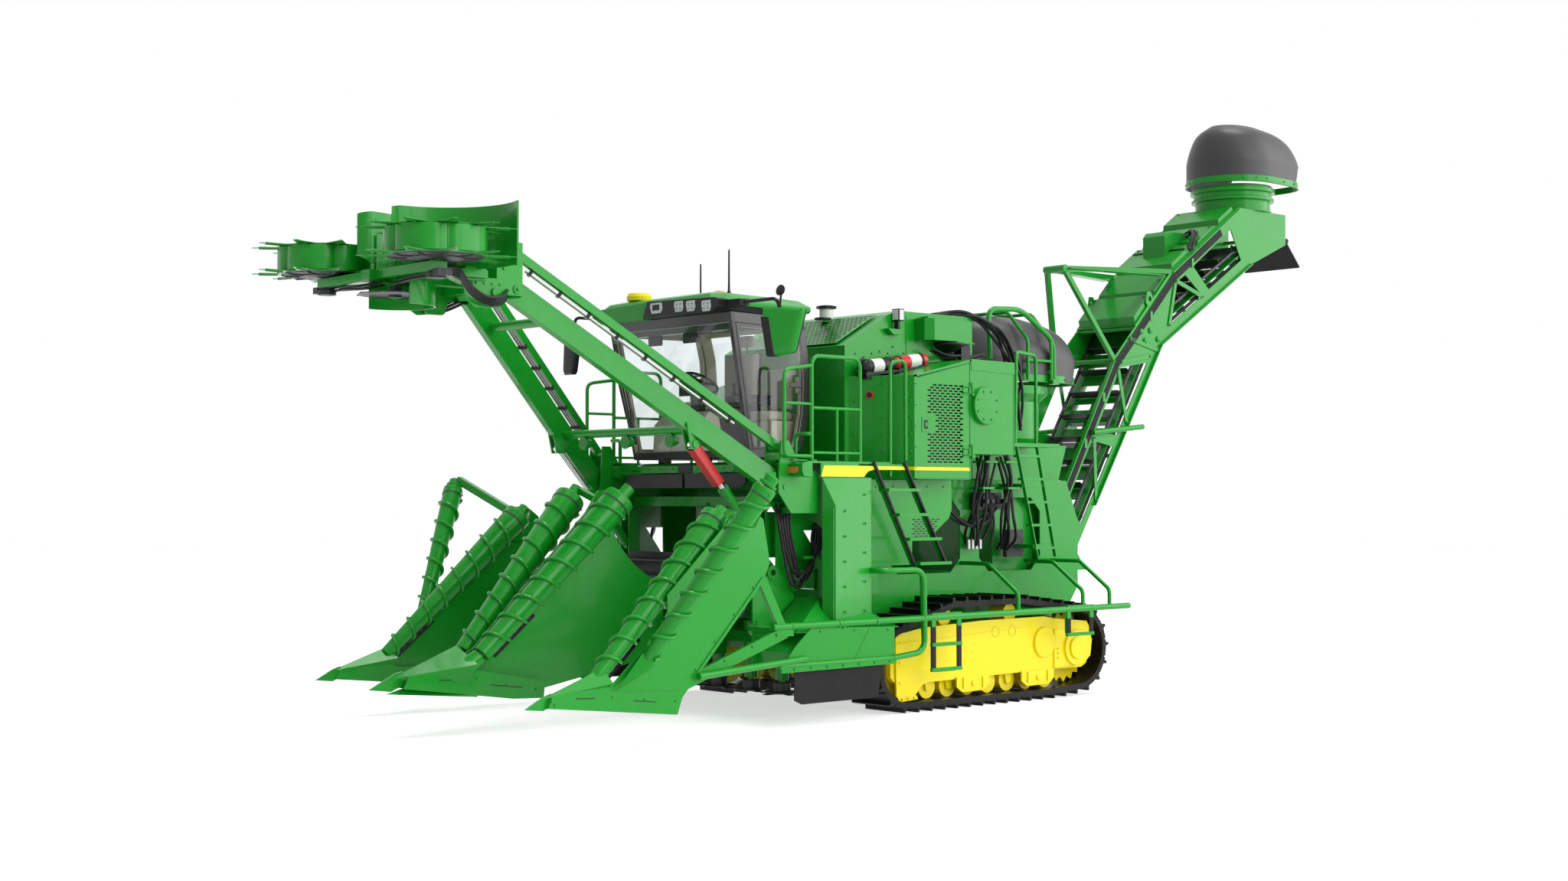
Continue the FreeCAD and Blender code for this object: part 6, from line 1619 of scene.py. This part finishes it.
# Elevator ---------------------------------------------------------------------------
def elevator_trim():
    """Stepped covers, diagonal struts, hoses, clamps and the head's ring of the elevator."""
    shape = Shape()
    for foot, slope, steps in (((-3.6, 4.24), (-0.707, 0.707),
                                ((0.03, 0.5, 0.085), (0.56, 0.98, 0.045))),
                               ((-4.31, 4.95), (-0.835, 0.551),
                                ((0.05, 0.62, 0.075), (0.68, 1.16, 0.05), (1.22, 1.62, 0.075)))):
        def at(along, rise):
            return (foot[0] + slope[0] * along + abs(slope[1]) * rise,
                    foot[1] + slope[1] * along + abs(slope[0]) * rise)
        for start, end, rise in steps:
            shape.plate("y", [at(start, 0.0), at(start + 0.05, rise), at(end - 0.01, rise),
                              at(end, 0.0)], -0.435, 0.435)
            x, z = at(start + 0.05, rise)
            shape.beam((x, -0.44, z), (x, 0.44, z), 0.02, 0.012)
            for y in (-0.38, 0.38):
                x, z = at(end - 0.05, rise)
                shape.bolt((x, y, z), (slope[1], 0, -slope[0]), 0.022)
    for x0, z0, x1, z1 in ((-2.79, 2.86, -2.82, 2.12), (-3.25, 3.7, -3.4, 3.06),
                           (-4.4, 4.85, -4.94, 4.69), (-4.385, 4.83, -4.255, 4.29),
                           (-3.31, 3.79, -3.86, 3.88), (-3.48, 4.08, -4.04, 3.96)):
        for side in (1, -1):
            shape.beam((x0, side * 0.468, z0), (x1, side * 0.468, z1), 0.014, 0.052)
            for x, z in ((x0, z0), (x1, z1)):
                shape.bolt((x, side * 0.476, z), LEFT * side, 0.022)
    for x, z in ((-3.7, 4.18), (-3.78, 4.07), (-3.88, 4.2), (-4.03, 4.1)):
        for side in (1, -1):
            shape.turned((x, side * 0.46, z), LEFT * side,
                         [(0.036, 0), (0.036, 0.016), (0.018, 0.026)], 16)
    for side in (1, -1):
        shape.beam((-4.15, side * 0.42, 4.9), (-2.7, side * 0.145, 4.9), 0.012, 0.13, UP)
    shape.loft([[Vector((-6.25, 0, z)) + heading(k * math.pi / 28) * r for k in range(56)]
                for r, z in ((0.487, 6.04), (0.535, 6.05), (0.535, 6.085), (0.505, 6.095),
                             (0.505, 6.15), (0.548, 6.16), (0.548, 6.205), (0.51, 6.215),
                             (0.51, 6.248), (0.487, 6.248))], looped=True)
    shape.use("hose")
    hose_bundle(shape,
                points((-4.7, 0.44, 5.26), (-4.86, 0.4, 5.46), (-5.02, 0.25, 5.56),
                       (-5.0, 0.1, 5.48)), 5, 0.035, 0.013, 0.4)
    hose_bundle(shape,
                points((-2.2, 0.5, 2.02), (-2.12, 0.46, 1.78), (-2.24, 0.38, 1.56),
                       (-2.42, 0.3, 1.5)), 5, 0.04, 0.015, 1.1)
    shape.tube(points((-4.66, -0.4, 5.275), (-4.66, 0.4, 5.275)), 0.014, 8)
    shape.use("green")
    for x, z in ((-2.62, 2.79), (-2.96, 3.35), (-3.88, 4.38), (-4.72, 5.1)):
        shape.box((x - 0.022, 0.462, z - 0.055), (x + 0.022, 0.486, z + 0.055))
    make_piece("elevator_trim", "elevator_body", shape, edge=0.002)


def hood_skirts():
    """Bolted green bands round the foot of both hoods, each with a flange."""
    for name, body, x, radius, z0, z1, back, count in (
            ("primary_skirt", "primary_hood_body", -1.4, 0.742, 3.462, 3.545, 1.062, 26),
            ("secondary_skirt", "secondary_hood_body", -6.25, 0.607, 6.262, 6.345, 0.96, 22)):
        shape = Shape()
        outer = [hood_points(x, z, radius, back, radius) for z in (z0, z1)]
        inner = [hood_points(x, z, radius - 0.008, back - 0.008, radius - 0.008) for z in (z1, z0)]
        shape.loft(outer + inner, looped=True)
        for point in hood_points(x, (z0 + z1) / 2, radius, back, radius, count):
            if point.x > x - back * 0.7:
                shape.bolt(point, (point.x - x, point.y, 0), 0.018)
        flange = [hood_points(x, z, r, back + r - radius, r) for r, z in
                  ((radius - 0.004, z0), (radius + 0.01, z0), (radius + 0.01, z0 + 0.008),
                   (radius - 0.004, z0 + 0.008))]
        shape.loft(flange, looped=True)
        make_piece(name, body, shape)


def lower_side():
    """Corner box and slotted panel below the deck, with black stair rails."""
    shape = Shape()
    top = [Vector((2.664, 1.598, 2.345)), Vector((2.003, 1.598, 2.345)), Vector((2.6, 1.72, 2.072))]
    shape.loft([top, [Vector((p.x, p.y, 0.9)) for p in top]])
    shape.beam((2.64, 1.73, 2.05), (2.64, 1.73, 0.92), 0.01, 0.01)
    shape.bolt_row((2.45, 1.7, 2.02), (2.45, 1.7, 1.05), 5, LEFT, 0.018)
    shape.bolt_row((2.12, 1.634, 2.18), (2.12, 1.634, 1.05), 5, LEFT, 0.018)
    panel = [(1.98, 2.332), (0.5, 2.332), (0.494, 2.029), (0.533, 1.935), (0.837, 1.729),
             (1.084, 1.729), (1.084, 1.46), (1.98, 1.46)]
    shape.plate("y", panel, 1.236, 1.25)
    shape.box((0.495, 0.95, 2.1), (0.51, 1.236, 2.33))
    shape.bolt_row((1.86, 1.25, 2.22), (1.86, 1.25, 1.6), 5, LEFT, 0.018)
    shape.bolt_row((0.62, 1.25, 2.26), (1.6, 1.25, 2.26), 5, LEFT, 0.016)
    shape.use("black")
    # The panel's slots are black patches laid on its face: painted shade where the openings are.
    for row in range(8):
        z = 1.925 - 0.0245 * row
        last = 0.66 + 0.023 * row
        for column in range(6):
            x = 1.06 - 0.072 * column - 0.036 * (row % 2)
            if x > last:
                shape.plate("y", [(x - 0.027, z), (x - 0.022, z - 0.006), (x + 0.022, z - 0.006),
                                  (x + 0.027, z), (x + 0.022, z + 0.006), (x - 0.022, z + 0.006)],
                            1.2498, 1.2512)
    for x_top, x_low in ((1.975, 1.421), (1.549, 0.967)):
        start, end = Vector((x_top + 0.01, 1.61, 2.5)), Vector((x_low - 0.01, 1.61, 1.47))
        shape.rod(start, end, 0.0185, sides=14)
        for share in (0.26, 0.97):
            at = start.lerp(end, share)
            shape.rod(at, at - LEFT * 0.04, 0.011, sides=8)
    make_piece("lower_side", "chassis", shape, edge=0.002)


def platform_rails():
    """Front hoop, middle post and grab rail of the left platform, both sides."""
    shape = Shape()
    y = 1.578
    shape.tube(round_corners(points((2.78, y, 2.545), (3.134, y, 2.545), (3.134, y, 3.365),
                                    (2.78, y, 3.415)), 0.08), 0.019)
    shape.tube(points((3.134, y, 3.046), (2.78, y, 3.046)), 0.015)
    shape.tube(points((2.45, y, 3.012), (2.45, y, 2.5)), 0.015)
    shape.tube(points((2.78, y, 2.58), (2.14, y, 2.58)), 0.014)
    shape.tube(round_corners(points((1.712, y - 0.01, 2.36), (1.712, y - 0.01, 3.5),
                                    (1.5, y - 0.01, 3.525), (1.495, y - 0.01, 2.52)), 0.08), 0.017)
    shape.box((2.7, 1.2, 2.5), (3.0, 1.56, 2.515))
    shape.bolt_row((2.78, y + 0.01, 2.505), (2.16, y + 0.01, 2.505), 2, UP, 0.02)
    shape.copy_across()
    make_piece("platform_rails", "chassis", shape)


def under_box_hoses():
    """Valve block and hanging hoses behind the front steps."""
    shape = Shape("hose")
    hose_bundle(shape, points((-0.1, 1.18, 2.6), (-0.05, 1.19, 2.3), (0.02, 1.16, 2.05),
                              (-0.02, 1.08, 1.8), (-0.1, 1.0, 1.62)), 5, 0.06, 0.016)
    hose_bundle(shape, points((-0.42, 1.16, 2.6), (-0.46, 1.2, 2.3), (-0.42, 1.2, 2.0),
                              (-0.52, 1.12, 1.76), (-0.6, 1.0, 1.6)), 5, 0.055, 0.016, 1.1)
    hose_bundle(shape, points((-0.3, 1.05, 2.58), (-0.22, 1.1, 2.2), (-0.3, 1.08, 1.9),
                              (-0.26, 1.0, 1.66)), 4, 0.05, 0.014, 2.3)
    hose_bundle(shape, points((0.45, 1.02, 2.3), (0.36, 1.08, 2.02), (0.12, 1.12, 1.86),
                              (-0.12, 1.08, 1.9), (-0.4, 1.03, 2.05)), 4, 0.035, 0.014, 0.7)
    shape.use("dark")
    shape.box((-0.5, 0.955, 2.02), (-0.1, 1.06, 2.2))
    shape.box((-0.44, 1.06, 2.05), (-0.16, 1.1, 2.17))
    for i in range(4):
        shape.rod((-0.44 + 0.09 * i, 1.1, 2.11), (-0.44 + 0.09 * i, 1.155, 2.11), 0.026)
    shape.box((-0.9, 0.96, 1.5), (-0.62, 1.02, 1.8))
    shape.use("green")
    for x, z in ((-0.1, 2.52), (-0.42, 2.52), (-0.05, 2.24), (-0.45, 2.24)):
        shape.box((x - 0.09, 1.08, z), (x + 0.09, 1.28, z + 0.022))
    shape.use("zinc")
    for x in (-0.16, -0.1, -0.04, 0.02):
        shape.rod((x, 1.05, 1.6), (x, 1.05, 1.7), 0.022, sides=6)
    make_piece("under_box_hoses", "chassis", shape)


def front_frame_hoses():
    """Bulkhead plate and looping hoses by each front column."""
    shape = Shape("hose")
    for k, drop in enumerate((0.8, 0.76, 0.86, 0.7, 0.82)):
        y = 1.285 + 0.024 * k
        x = 2.79 + 0.055 * k
        shape.tube(smooth_path(points((x, 1.3, 2.11), (x + 0.015, y, 1.9),
                                      (x - 0.03, y + 0.02, 1.62), (x - 0.13, y + 0.02, 2.14 - drop),
                                      (x - 0.3, y, 1.5 - 0.02 * k),
                                      (2.5 - 0.02 * k, y - 0.01, 1.74), (2.46, 1.27, 1.9))), 0.0155)
    shape.use("green")
    shape.box((2.74, 1.262, 2.1), (3.06, 1.345, 2.112))
    shape.box((2.62, 1.262, 1.56), (2.74, 1.43, 1.585))
    shape.use("zinc")
    for k in range(5):
        shape.rod((2.79 + 0.055 * k, 1.3, 2.06), (2.79 + 0.055 * k, 1.3, 2.15), 0.021, sides=6)
    shape.copy_across()
    make_piece("front_frame_hoses", "chassis", shape)


# Cab outside --------------------------------------------------------------------------
def bumper():
    """Black step strip, bolted lamps and side boxes under the windscreen."""
    shape = Shape("black")
    for side in (1, -1):
        shape.plate("x", [(side * 0.02, 2.245), (side * 0.9, 2.245), (side * 0.96, 2.3),
                          (side * 0.96, 2.345), (side * 0.9, 2.385), (side * 0.02, 2.385)], 3.06,
                    3.085)
    shape.box((3.055, -0.11, 2.4), (3.068, 0.11, 2.48))
    shape.use("green")
    for y0, y1 in ((1.2, 1.72), (-1.72, -1.2)):
        shape.plate("y", [(2.9, 2.345), (3.01, 2.355), (3.03, 2.4), (3.03, 2.47), (2.98, 2.49),
                          (2.9, 2.49)], y0, y1)
    shape.box((3.03, -1.1, 2.395), (3.052, 1.1, 2.41))
    for y0, y1 in ((0.2, 0.8), (-0.8, -0.2)):
        shape.bolt_row((3.06, y0, 2.44), (3.06, y1, 2.44), 4, AHEAD, 0.016)
    shape.use("amber")
    for side in (1, -1):
        shape.plate("x", [(side * 1.38, 2.392), (side * 1.4, 2.385), (side * 1.64, 2.385),
                          (side * 1.66, 2.392), (side * 1.66, 2.44), (side * 1.38, 2.44)], 3.03,
                    3.046)
    make_piece("bumper_trim", "chassis", shape, edge=0.004)


CAB_FOOT, CAB_TOP = 2.54, 3.95
CAB_REAR = ((CAB_FOOT, 2.25), (2.75, 2.15), (3.0, 2.09), (3.28, 2.07), (3.6, 2.09), (CAB_TOP, 2.17))


def rear_edge(z):
    """X of the cab's bowed rear corner at a height."""
    for (z0, x0), (z1, x1) in zip(CAB_REAR, CAB_REAR[1:]):
        if z <= z1:
            return x0 + (x1 - x0) * (z - z0) / (z1 - z0)


def skin(x):
    """Half the cab's width, which grows towards the windscreen."""
    return 0.76 + (x - 2.0) * 0.17


def front_corner(z, side):
    """The raked corner between windscreen and side at a height."""
    x = 3.0 + 0.3 * (z - CAB_FOOT) / (CAB_TOP - CAB_FOOT)
    return Vector((x, side * skin(x), z))


def inset(corners, width):
    """The corners of a flat outline moved inward."""
    moved = []
    for i, corner in enumerate(corners):
        a = (corners[i - 1] - corner).normalized()
        b = (corners[(i + 1) % len(corners)] - corner).normalized()
        moved.append(corner + (a + b) * (width / max(a.cross(b).length, 0.01)))
    return moved


def frame_loop(shape, corners, width, back):
    """A flat frame of even width round an outline."""
    inner = inset(corners, width)
    shape.loft([corners, inner, [p + back for p in inner], [p + back for p in corners]],
               looped=True)


def door_outline(side):
    """Corners of the side window or door."""
    rear = [(rear_edge(z) + 0.106, z) for z in (3.845, 3.6, 3.28, 3.0, 2.75, 2.62)]
    return [Vector((x, side * skin(x), z)) for x, z in [(2.962, 2.62), (3.214, 3.845), *rear]]


def cab_body():
    """Slim pillars, sills, right window frame and fixed panes of the cab."""
    levels = (CAB_FOOT, 2.65, 2.75, 2.88, 3.0, 3.14, 3.28, 3.44, 3.6, 3.78, CAB_TOP)
    shape = Shape("cab")
    panes = Shape("glass")

    def loop(z, step):
        x0, x1 = rear_edge(z) + step, front_corner(z, 1).x - step
        return [Vector((x, s * (skin(x) - step), z))
                for x, s in ((x0, -1), (x1, -1), (x1, 1), (x0, 1))]
    for z0, z1 in ((CAB_FOOT, 2.62), (3.845, CAB_TOP)):
        shape.loft([loop(z0, 0), loop(z1, 0), loop(z1, 0.05), loop(z0, 0.05)], looped=True)
    shape.loft([loop(2.542, 0.02), loop(2.575, 0.02)])
    for side in (1, -1):
        tuck = Vector((-0.026, -0.026 * side, 0))
        shape.beam(front_corner(2.56, side) + tuck, front_corner(3.93, side) + tuck, 0.05, 0.05)
        shape.loft([[Vector((x, side * (skin(x) - d), z)) for x, d in
                     ((rear_edge(z), 0), (rear_edge(z) + 0.1, 0), (rear_edge(z) + 0.1, 0.06),
                      (rear_edge(z), 0.09))] for z in levels])
        for x in (2.3, 2.85):
            shape.box((x - 0.05, side * 0.6 - 0.05, 2.5), (x + 0.05, side * 0.6 + 0.05, 2.545))
    frame_loop(shape, door_outline(-1), 0.034, Vector((0, 0.045, 0)))
    for target, low, high, thick in ((shape, 0, 5, 0.03), (panes, 4, 10, 0.007)):
        target.loft([[Vector((rear_edge(z) + d, y, z)) for d, y in
                      ((0.01, -0.7), (0.01, 0.7), (0.01 + thick, 0.7), (0.01 + thick, -0.7))]
                     for z in levels[low:high]])
    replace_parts(make_piece("cab_body", "chassis", shape, edge=0.006), "cab_frame")
    screen = [front_corner(z, s) + Vector((-0.01, -0.046 * s, 0)) for z, s in
              ((2.61, -1), (2.61, 1), (3.86, 1), (3.86, -1))]
    side = inset(door_outline(-1), 0.03)
    for corners, back in ((screen, Vector((-0.007, 0, 0))), (side, Vector((0, 0.007, 0)))):
        panes.loft([corners, [p + back for p in corners]])
    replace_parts(make_piece("cab_panes", "chassis", panes), "cab_glass")


def cab_door():
    """The hinged left door: its frame, handle and pane."""
    shape = Shape("cab")
    frame_loop(shape, door_outline(1), 0.034, Vector((0, -0.045, 0)))
    shape.box((2.25, skin(2.25) - 0.02, 3.2), (2.285, skin(2.25) + 0.04, 3.36))
    shape.box((2.25, skin(2.25) + 0.022, 3.25), (2.42, skin(2.3) + 0.042, 3.3))
    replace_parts(make_piece("cab_door_leaf", "cab_door_body", shape, edge=0.006),
                "cab_door")
    shape = Shape("glass")
    side = inset(door_outline(1), 0.03)
    shape.loft([side, [p - LEFT * 0.007 for p in side]])
    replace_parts(make_piece("cab_door_pane", "cab_door_body", shape), "door_glass")


def headliner():
    """Ceiling of the cab with its front beam."""
    shape = Shape("black")
    shape.box((2.22, -0.74, 3.885), (3.19, 0.74, 3.9))
    shape.plate("y", [(2.98, 3.885), (3.25, 3.885), (3.22, 3.79), (3.16, 3.79)], -0.9, 0.9)
    make_piece("headliner", "chassis", shape, edge=0.006)


def cab_roof_shell():
    """Faceted roof cap, its dark rim and the pod with four six-sided lamps."""
    def ring(rows, z):
        return [Vector((x, -y, z)) for x, y in rows] + [Vector((x, y, z))
                                                        for x, y in reversed(rows)]

    shape = Shape()
    low = [(2.08, 0.8), (2.18, 0.9), (3.34, 1.0), (3.455, 0.9)]
    foot = [(x - 0.01 if x > 3 else x + 0.01, y - 0.012) for x, y in low]
    shape.loft([ring(foot, 4.01), ring(low, 4.035),
                ring(low, 4.06), ring([(2.17, 0.72), (2.25, 0.8), (3.31, 0.9), (3.41, 0.8)], 4.125),
                ring([(2.28, 0.62), (2.34, 0.68), (3.24, 0.78), (3.32, 0.7)], 4.152),
                ring([(2.6, 0.4), (2.65, 0.44), (3.05, 0.48), (3.1, 0.42)], 4.16)])
    shape.plate("x", [(-0.96, 3.93), (-0.18, 3.93), (-0.1, 4.1), (-0.9, 4.08), (-0.98, 4.03)], 3.36,
                3.462)
    shape.turned((2.42, -0.1, 4.15), UP, [(0.14, 0), (0.12, 0.02), (0.03, 0.026)], 20)
    shape.use("black")
    shape.loft([ring([(2.16, 0.74), (2.24, 0.82), (3.3, 0.95), (3.4, 0.86)], 3.95),
                ring([(2.14, 0.77), (2.22, 0.87), (3.32, 0.975), (3.43, 0.88)], 4.012)])
    shape.plate("x", [(-0.17, 3.945), (0.9, 3.935), (1.0, 3.985), (1.01, 4.055), (0.95, 4.075),
                      (-0.1, 4.105)], 3.32, 3.474)
    shape.plate("z", [(3.3, 0.9), (3.4, 0.96), (3.36, 1.2), (3.26, 1.22), (3.22, 1.0)], 3.985, 4.05)
    for y, z in ((0.055, 4.03), (0.412, 4.022), (0.597, 4.013), (0.835, 3.998)):
        half = 0.098 if y < 0.1 else 0.07
        outline = [(y + half * a, z + 0.052 * b) for a, b in
                   ((-0.7, -1), (0.7, -1), (1, -0.3), (0.85, 1), (-0.85, 1), (-1, 0.4))]
        shape.use("lens")
        shape.plate("x", outline, 3.472, 3.484)     # the lens
        shape.use("black")
        if y < 0.1:
            shape.box((3.483, y - 0.055, z - 0.02), (3.4865, y + 0.055, z + 0.035))
        for k in (-1, 1):
            for q in (-1, 1):
                shape.turned((3.4835, y + 0.03 * k, z + 0.022 * q), AHEAD,
                             [(0.009, 0), (0.006, 0.003)], 10)
    piece = make_piece("cab_roof_cap", "chassis", shape, edge=0.004)
    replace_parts(piece, "cab_roof")


def roof_top():
    """Amber lamp, yellow receiver and black whip aerials on the cab's roof."""
    shape = Shape("black")
    for x, y in ((2.456, -0.5), (3.01, 0.62)):
        shape.turned((x, y, 4.14), UP, [(0.034, 0), (0.026, 0.03), (0.013, 0.05), (0.0105, 0.12),
                                         (0.0085, 0.458), (0.004, 0.46)], 14)
    shape.use("yellow")
    shape.turned((3.25, -0.52, 4.14), UP, [(0.07, 0), (0.125, 0.02), (0.13, 0.06),
                                              (0.112, 0.092), (0.02, 0.102)], 36)
    shape.use("amber")
    shape.turned((2.824, 0.25, 4.165), UP,
                 [(0.075, 0), (0.072, 0.052), (0.05, 0.066), (0.004, 0.07)], 28)
    make_piece("roof_top", "chassis", shape)


def mirror_shells():
    """Both outside mirrors: tapering shells, panes and bent arms."""
    shape = Shape("black")
    near = [(1.462, 3.958), (1.822, 3.926), (1.818, 3.88), (1.738, 3.525), (1.715, 3.508),
            (1.54, 3.476), (1.519, 3.485), (1.468, 3.88)]
    far = [(-1.5, 3.86), (-1.3, 3.85), (-1.285, 3.733), (-1.34, 3.47), (-1.365, 3.437),
           (-1.505, 3.437), (-1.52, 3.48)]
    for outline, x, back_finish in ((near, 3.205, "green"), (far, 3.45, "black")):
        middle = Vector((0, sum(y for y, z in outline), sum(z for y, z in outline))) / len(outline)
        for name, steps in ((back_finish, ((0.0, 1.0), (0.026, 1.0), (0.046, 0.9), (0.05, 0.6))),
                            ("black", ((-0.022, 0.93), (-0.02, 0.985), (0.001, 0.99)))):
            shape.use(name)
            shape.loft([[Vector((x + d, middle.y + (y - middle.y) * s, middle.z
                                 + (z - middle.z) * s)) for y, z in outline] for d, s in steps])
        shape.use("chrome")
        shape.plate("x", [(middle.y + (y - middle.y) * 0.82, middle.z + (z - middle.z) * 0.9)
                          for y, z in outline], x - 0.025, x - 0.0215)
    shape.use("black")
    shape.plate("x", [(1.466, 3.86), (1.535, 3.85), (1.585, 3.478), (1.54, 3.476), (1.519, 3.485)],
                3.2, 3.262)
    for x, y, z, side in ((3.21, 1.6, 3.95, 1), (3.45, -1.4, 3.85, -1)):
        shape.tube(round_corners([Vector((3.31, side * 1.0, 4.02)),
                                  Vector((3.31, side * 1.22, 4.02)),
                                  Vector((x, y - side * 0.05, 4.035)), Vector((x, y, z))], 0.05),
                   0.017)
    shape.tube(points((3.21, 1.6, 3.95), (3.21, 1.62, 4.06)), 0.01, 8)
    shape.turned((3.2, 1.62, 4.1), (0.9, 0.1, 0.2),
                 [(0.02, 0), (0.05, 0.01), (0.054, 0.026), (0.03, 0.034)], 20)
    # The left mirror is turned towards the seat.
    for vertex in shape.mesh.verts:
        if vertex.co.y > 1.4 and vertex.co.z < 3.97:
            vertex.co.x -= (vertex.co.y - 1.6) * 0.55
    piece = make_piece("mirror_shells", "chassis", shape, edge=0.004)
    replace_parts(piece, "mirrors")


def cab_outside():
    """Sill, wipers and ceiling mirrors of the cab."""
    shape = Shape("black")
    shape.plate("x", [(-0.88, 2.545), (0.88, 2.545), (0.885, 2.615), (-0.885, 2.615)], 2.995, 3.024)
    for shift in (0.0, 0.045):
        shape.tube(points((3.275, -0.93 + shift, 3.74), (3.175, -0.86 + shift, 3.2),
                          (3.085, -0.8 + shift * 0.4, 2.7)), 0.0085, 8)
    shape.beam((3.245, -0.97, 3.6), (3.12, -0.9, 2.98), 0.02, 0.012)
    shape.tube(points((3.262, 0.955, 3.78), (3.15, 0.945, 3.36), (3.115, 0.935, 3.1)), 0.014, 8)
    for y in (-0.445, 0.12):
        shape.tube(points((3.13, y, 3.9), (3.1, y, 3.8)), 0.009, 8)
        shape.plate("x", [(y - 0.095, 3.7), (y + 0.095, 3.7), (y + 0.105, 3.715), (y + 0.105, 3.8),
                          (y + 0.095, 3.815), (y - 0.095, 3.815), (y - 0.105, 3.8),
                          (y - 0.105, 3.715)], 3.085, 3.11)
    make_piece("cab_outside", "chassis", shape, edge=0.004)


# Panel ------------------------------------------------------------------------------
class HARVESTER_OT_stage(bpy.types.Operator):
    """Lay the pale ground and set up the world, the lamps and the camera"""
    bl_idname = "harvester.stage"
    bl_label = "Stage"

    def execute(self, context):
        stage(context.scene)
        return {"FINISHED"}


class HARVESTER_OT_finishes(bpy.types.Operator):
    """Give every node of the frame its paint, rubber, plastic or glass"""
    bl_idname = "harvester.finishes"
    bl_label = "Finishes"

    def execute(self, context):
        dress_nodes()
        return {"FINISHED"}


class HARVESTER_OT_front_hose(bpy.types.Operator):
    """Hang the hose loop of the left crop divider"""
    bl_idname = "harvester.front_hose"
    bl_label = "Front hose"

    def execute(self, context):
        front_hose()
        return {"FINISHED"}


class HARVESTER_OT_seat(bpy.types.Operator):
    """Stuff the cushions of both seats"""
    bl_idname = "harvester.seat"
    bl_label = "Seat"

    def execute(self, context):
        seats()
        return {"FINISHED"}


class HARVESTER_OT_cab(bpy.types.Operator):
    """Fit the cab's shell, glass, controls, lining, roof, lamps, bumper and mirrors"""
    bl_idname = "harvester.cab"
    bl_label = "Cab"

    def execute(self, context):
        cab_fittings()
        cab_lining()
        cab_body()
        cab_door()
        headliner()
        cab_roof_shell()
        cab_outside()
        roof_top()
        bumper()
        mirror_shells()
        return {"FINISHED"}


class HARVESTER_OT_topper(bpy.types.Operator):
    """Fit the topper's pipes, its red lock bar and the head's shields and hoses"""
    bl_idname = "harvester.topper"
    bl_label = "Topper fittings"

    def execute(self, context):
        link_pipes()
        lock_bar()
        topper_head_trim()
        return {"FINISHED"}


class HARVESTER_OT_stripes(bpy.types.Operator):
    """Add the yellow stripes"""
    bl_idname = "harvester.stripes"
    bl_label = "Stripes"

    def execute(self, context):
        stripes()
        return {"FINISHED"}


class HARVESTER_OT_scrolls(bpy.types.Operator):
    """Wind the six crop-lifting scrolls and fold the dividers' sheets"""
    bl_idname = "harvester.scrolls"
    bl_label = "Scrolls"

    def execute(self, context):
        for key in SCROLLS:
            for side in (1, -1):
                scroll(key, side)
        for side in (1, -1):
            side_divider(side)
        centre_nose()
        return {"FINISHED"}


class HARVESTER_OT_tracks(bpy.types.Operator):
    """Cover the track frames and run the tubes and straps beside them"""
    bl_idname = "harvester.tracks"
    bl_label = "Track covers"

    def execute(self, context):
        track_covers()
        fender_trim()
        return {"FINISHED"}


class HARVESTER_OT_drums(bpy.types.Operator):
    """Make the topper's two knife drums"""
    bl_idname = "harvester.drums"
    bl_label = "Topper drums"

    def execute(self, context):
        for side in (1, -1):
            gathering_drum(side)
        return {"FINISHED"}


class HARVESTER_OT_hoods(bpy.types.Operator):
    """Mould both extractor hoods with their skirts, and trim the elevator"""
    bl_idname = "harvester.hoods"
    bl_label = "Extractor hoods"

    def execute(self, context):
        hoods()
        hood_skirts()
        elevator_trim()
        return {"FINISHED"}


class HARVESTER_OT_engine(bpy.types.Operator):
    """Fit the grille door, side boxes, housing details, lower side and platform rails"""
    bl_idname = "harvester.engine"
    bl_label = "Engine and sides"

    def execute(self, context):
        grille_leaf()
        side_box_shells()
        engine_side()
        screen_sheet()
        intake_pipe()
        housing_top()
        hood_hoops()
        lower_side()
        platform_rails()
        return {"FINISHED"}


class HARVESTER_OT_hoses(bpy.types.Operator):
    """Run the hose bundles of the frame"""
    bl_idname = "harvester.hoses"
    bl_label = "Hoses"

    def execute(self, context):
        under_box_hoses()
        front_frame_hoses()
        return {"FINISHED"}


OPERATORS = (HARVESTER_OT_stage, HARVESTER_OT_front_hose, HARVESTER_OT_finishes, HARVESTER_OT_seat,
             HARVESTER_OT_cab, HARVESTER_OT_topper, HARVESTER_OT_stripes, HARVESTER_OT_scrolls,
             HARVESTER_OT_tracks, HARVESTER_OT_drums, HARVESTER_OT_hoods, HARVESTER_OT_engine,
             HARVESTER_OT_hoses,)


class HARVESTER_PT_panel(bpy.types.Panel):
    """Buttons for the harvester's pieces"""
    bl_idname = "HARVESTER_PT_panel"
    bl_label = "Harvester"
    bl_space_type = "VIEW_3D"
    bl_region_type = "UI"
    bl_category = "Harvester"

    def draw(self, context):
        for operator in OPERATORS:
            self.layout.operator(operator.bl_idname)
        for group in (context.scene.harvester_colours, context.scene.harvester_sizes):
            for name in group.__annotations__:
                self.layout.prop(group, name)


CLASSES = (HarvesterColours, HarvesterSizes, *OPERATORS, HARVESTER_PT_panel)


def register():
    for each in CLASSES:
        bpy.utils.register_class(each)
    bpy.types.Scene.harvester_colours = PointerProperty(type=HarvesterColours)
    bpy.types.Scene.harvester_sizes = PointerProperty(type=HarvesterSizes)


def unregister():
    del bpy.types.Scene.harvester_sizes
    del bpy.types.Scene.harvester_colours
    for each in reversed(CLASSES):
        bpy.utils.unregister_class(each)


def main():
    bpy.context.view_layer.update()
    register()
    for operator in OPERATORS:
        module, name = operator.bl_idname.split(".")
        getattr(getattr(bpy.ops, module), name)()


if __name__ == "__main__":
    main()
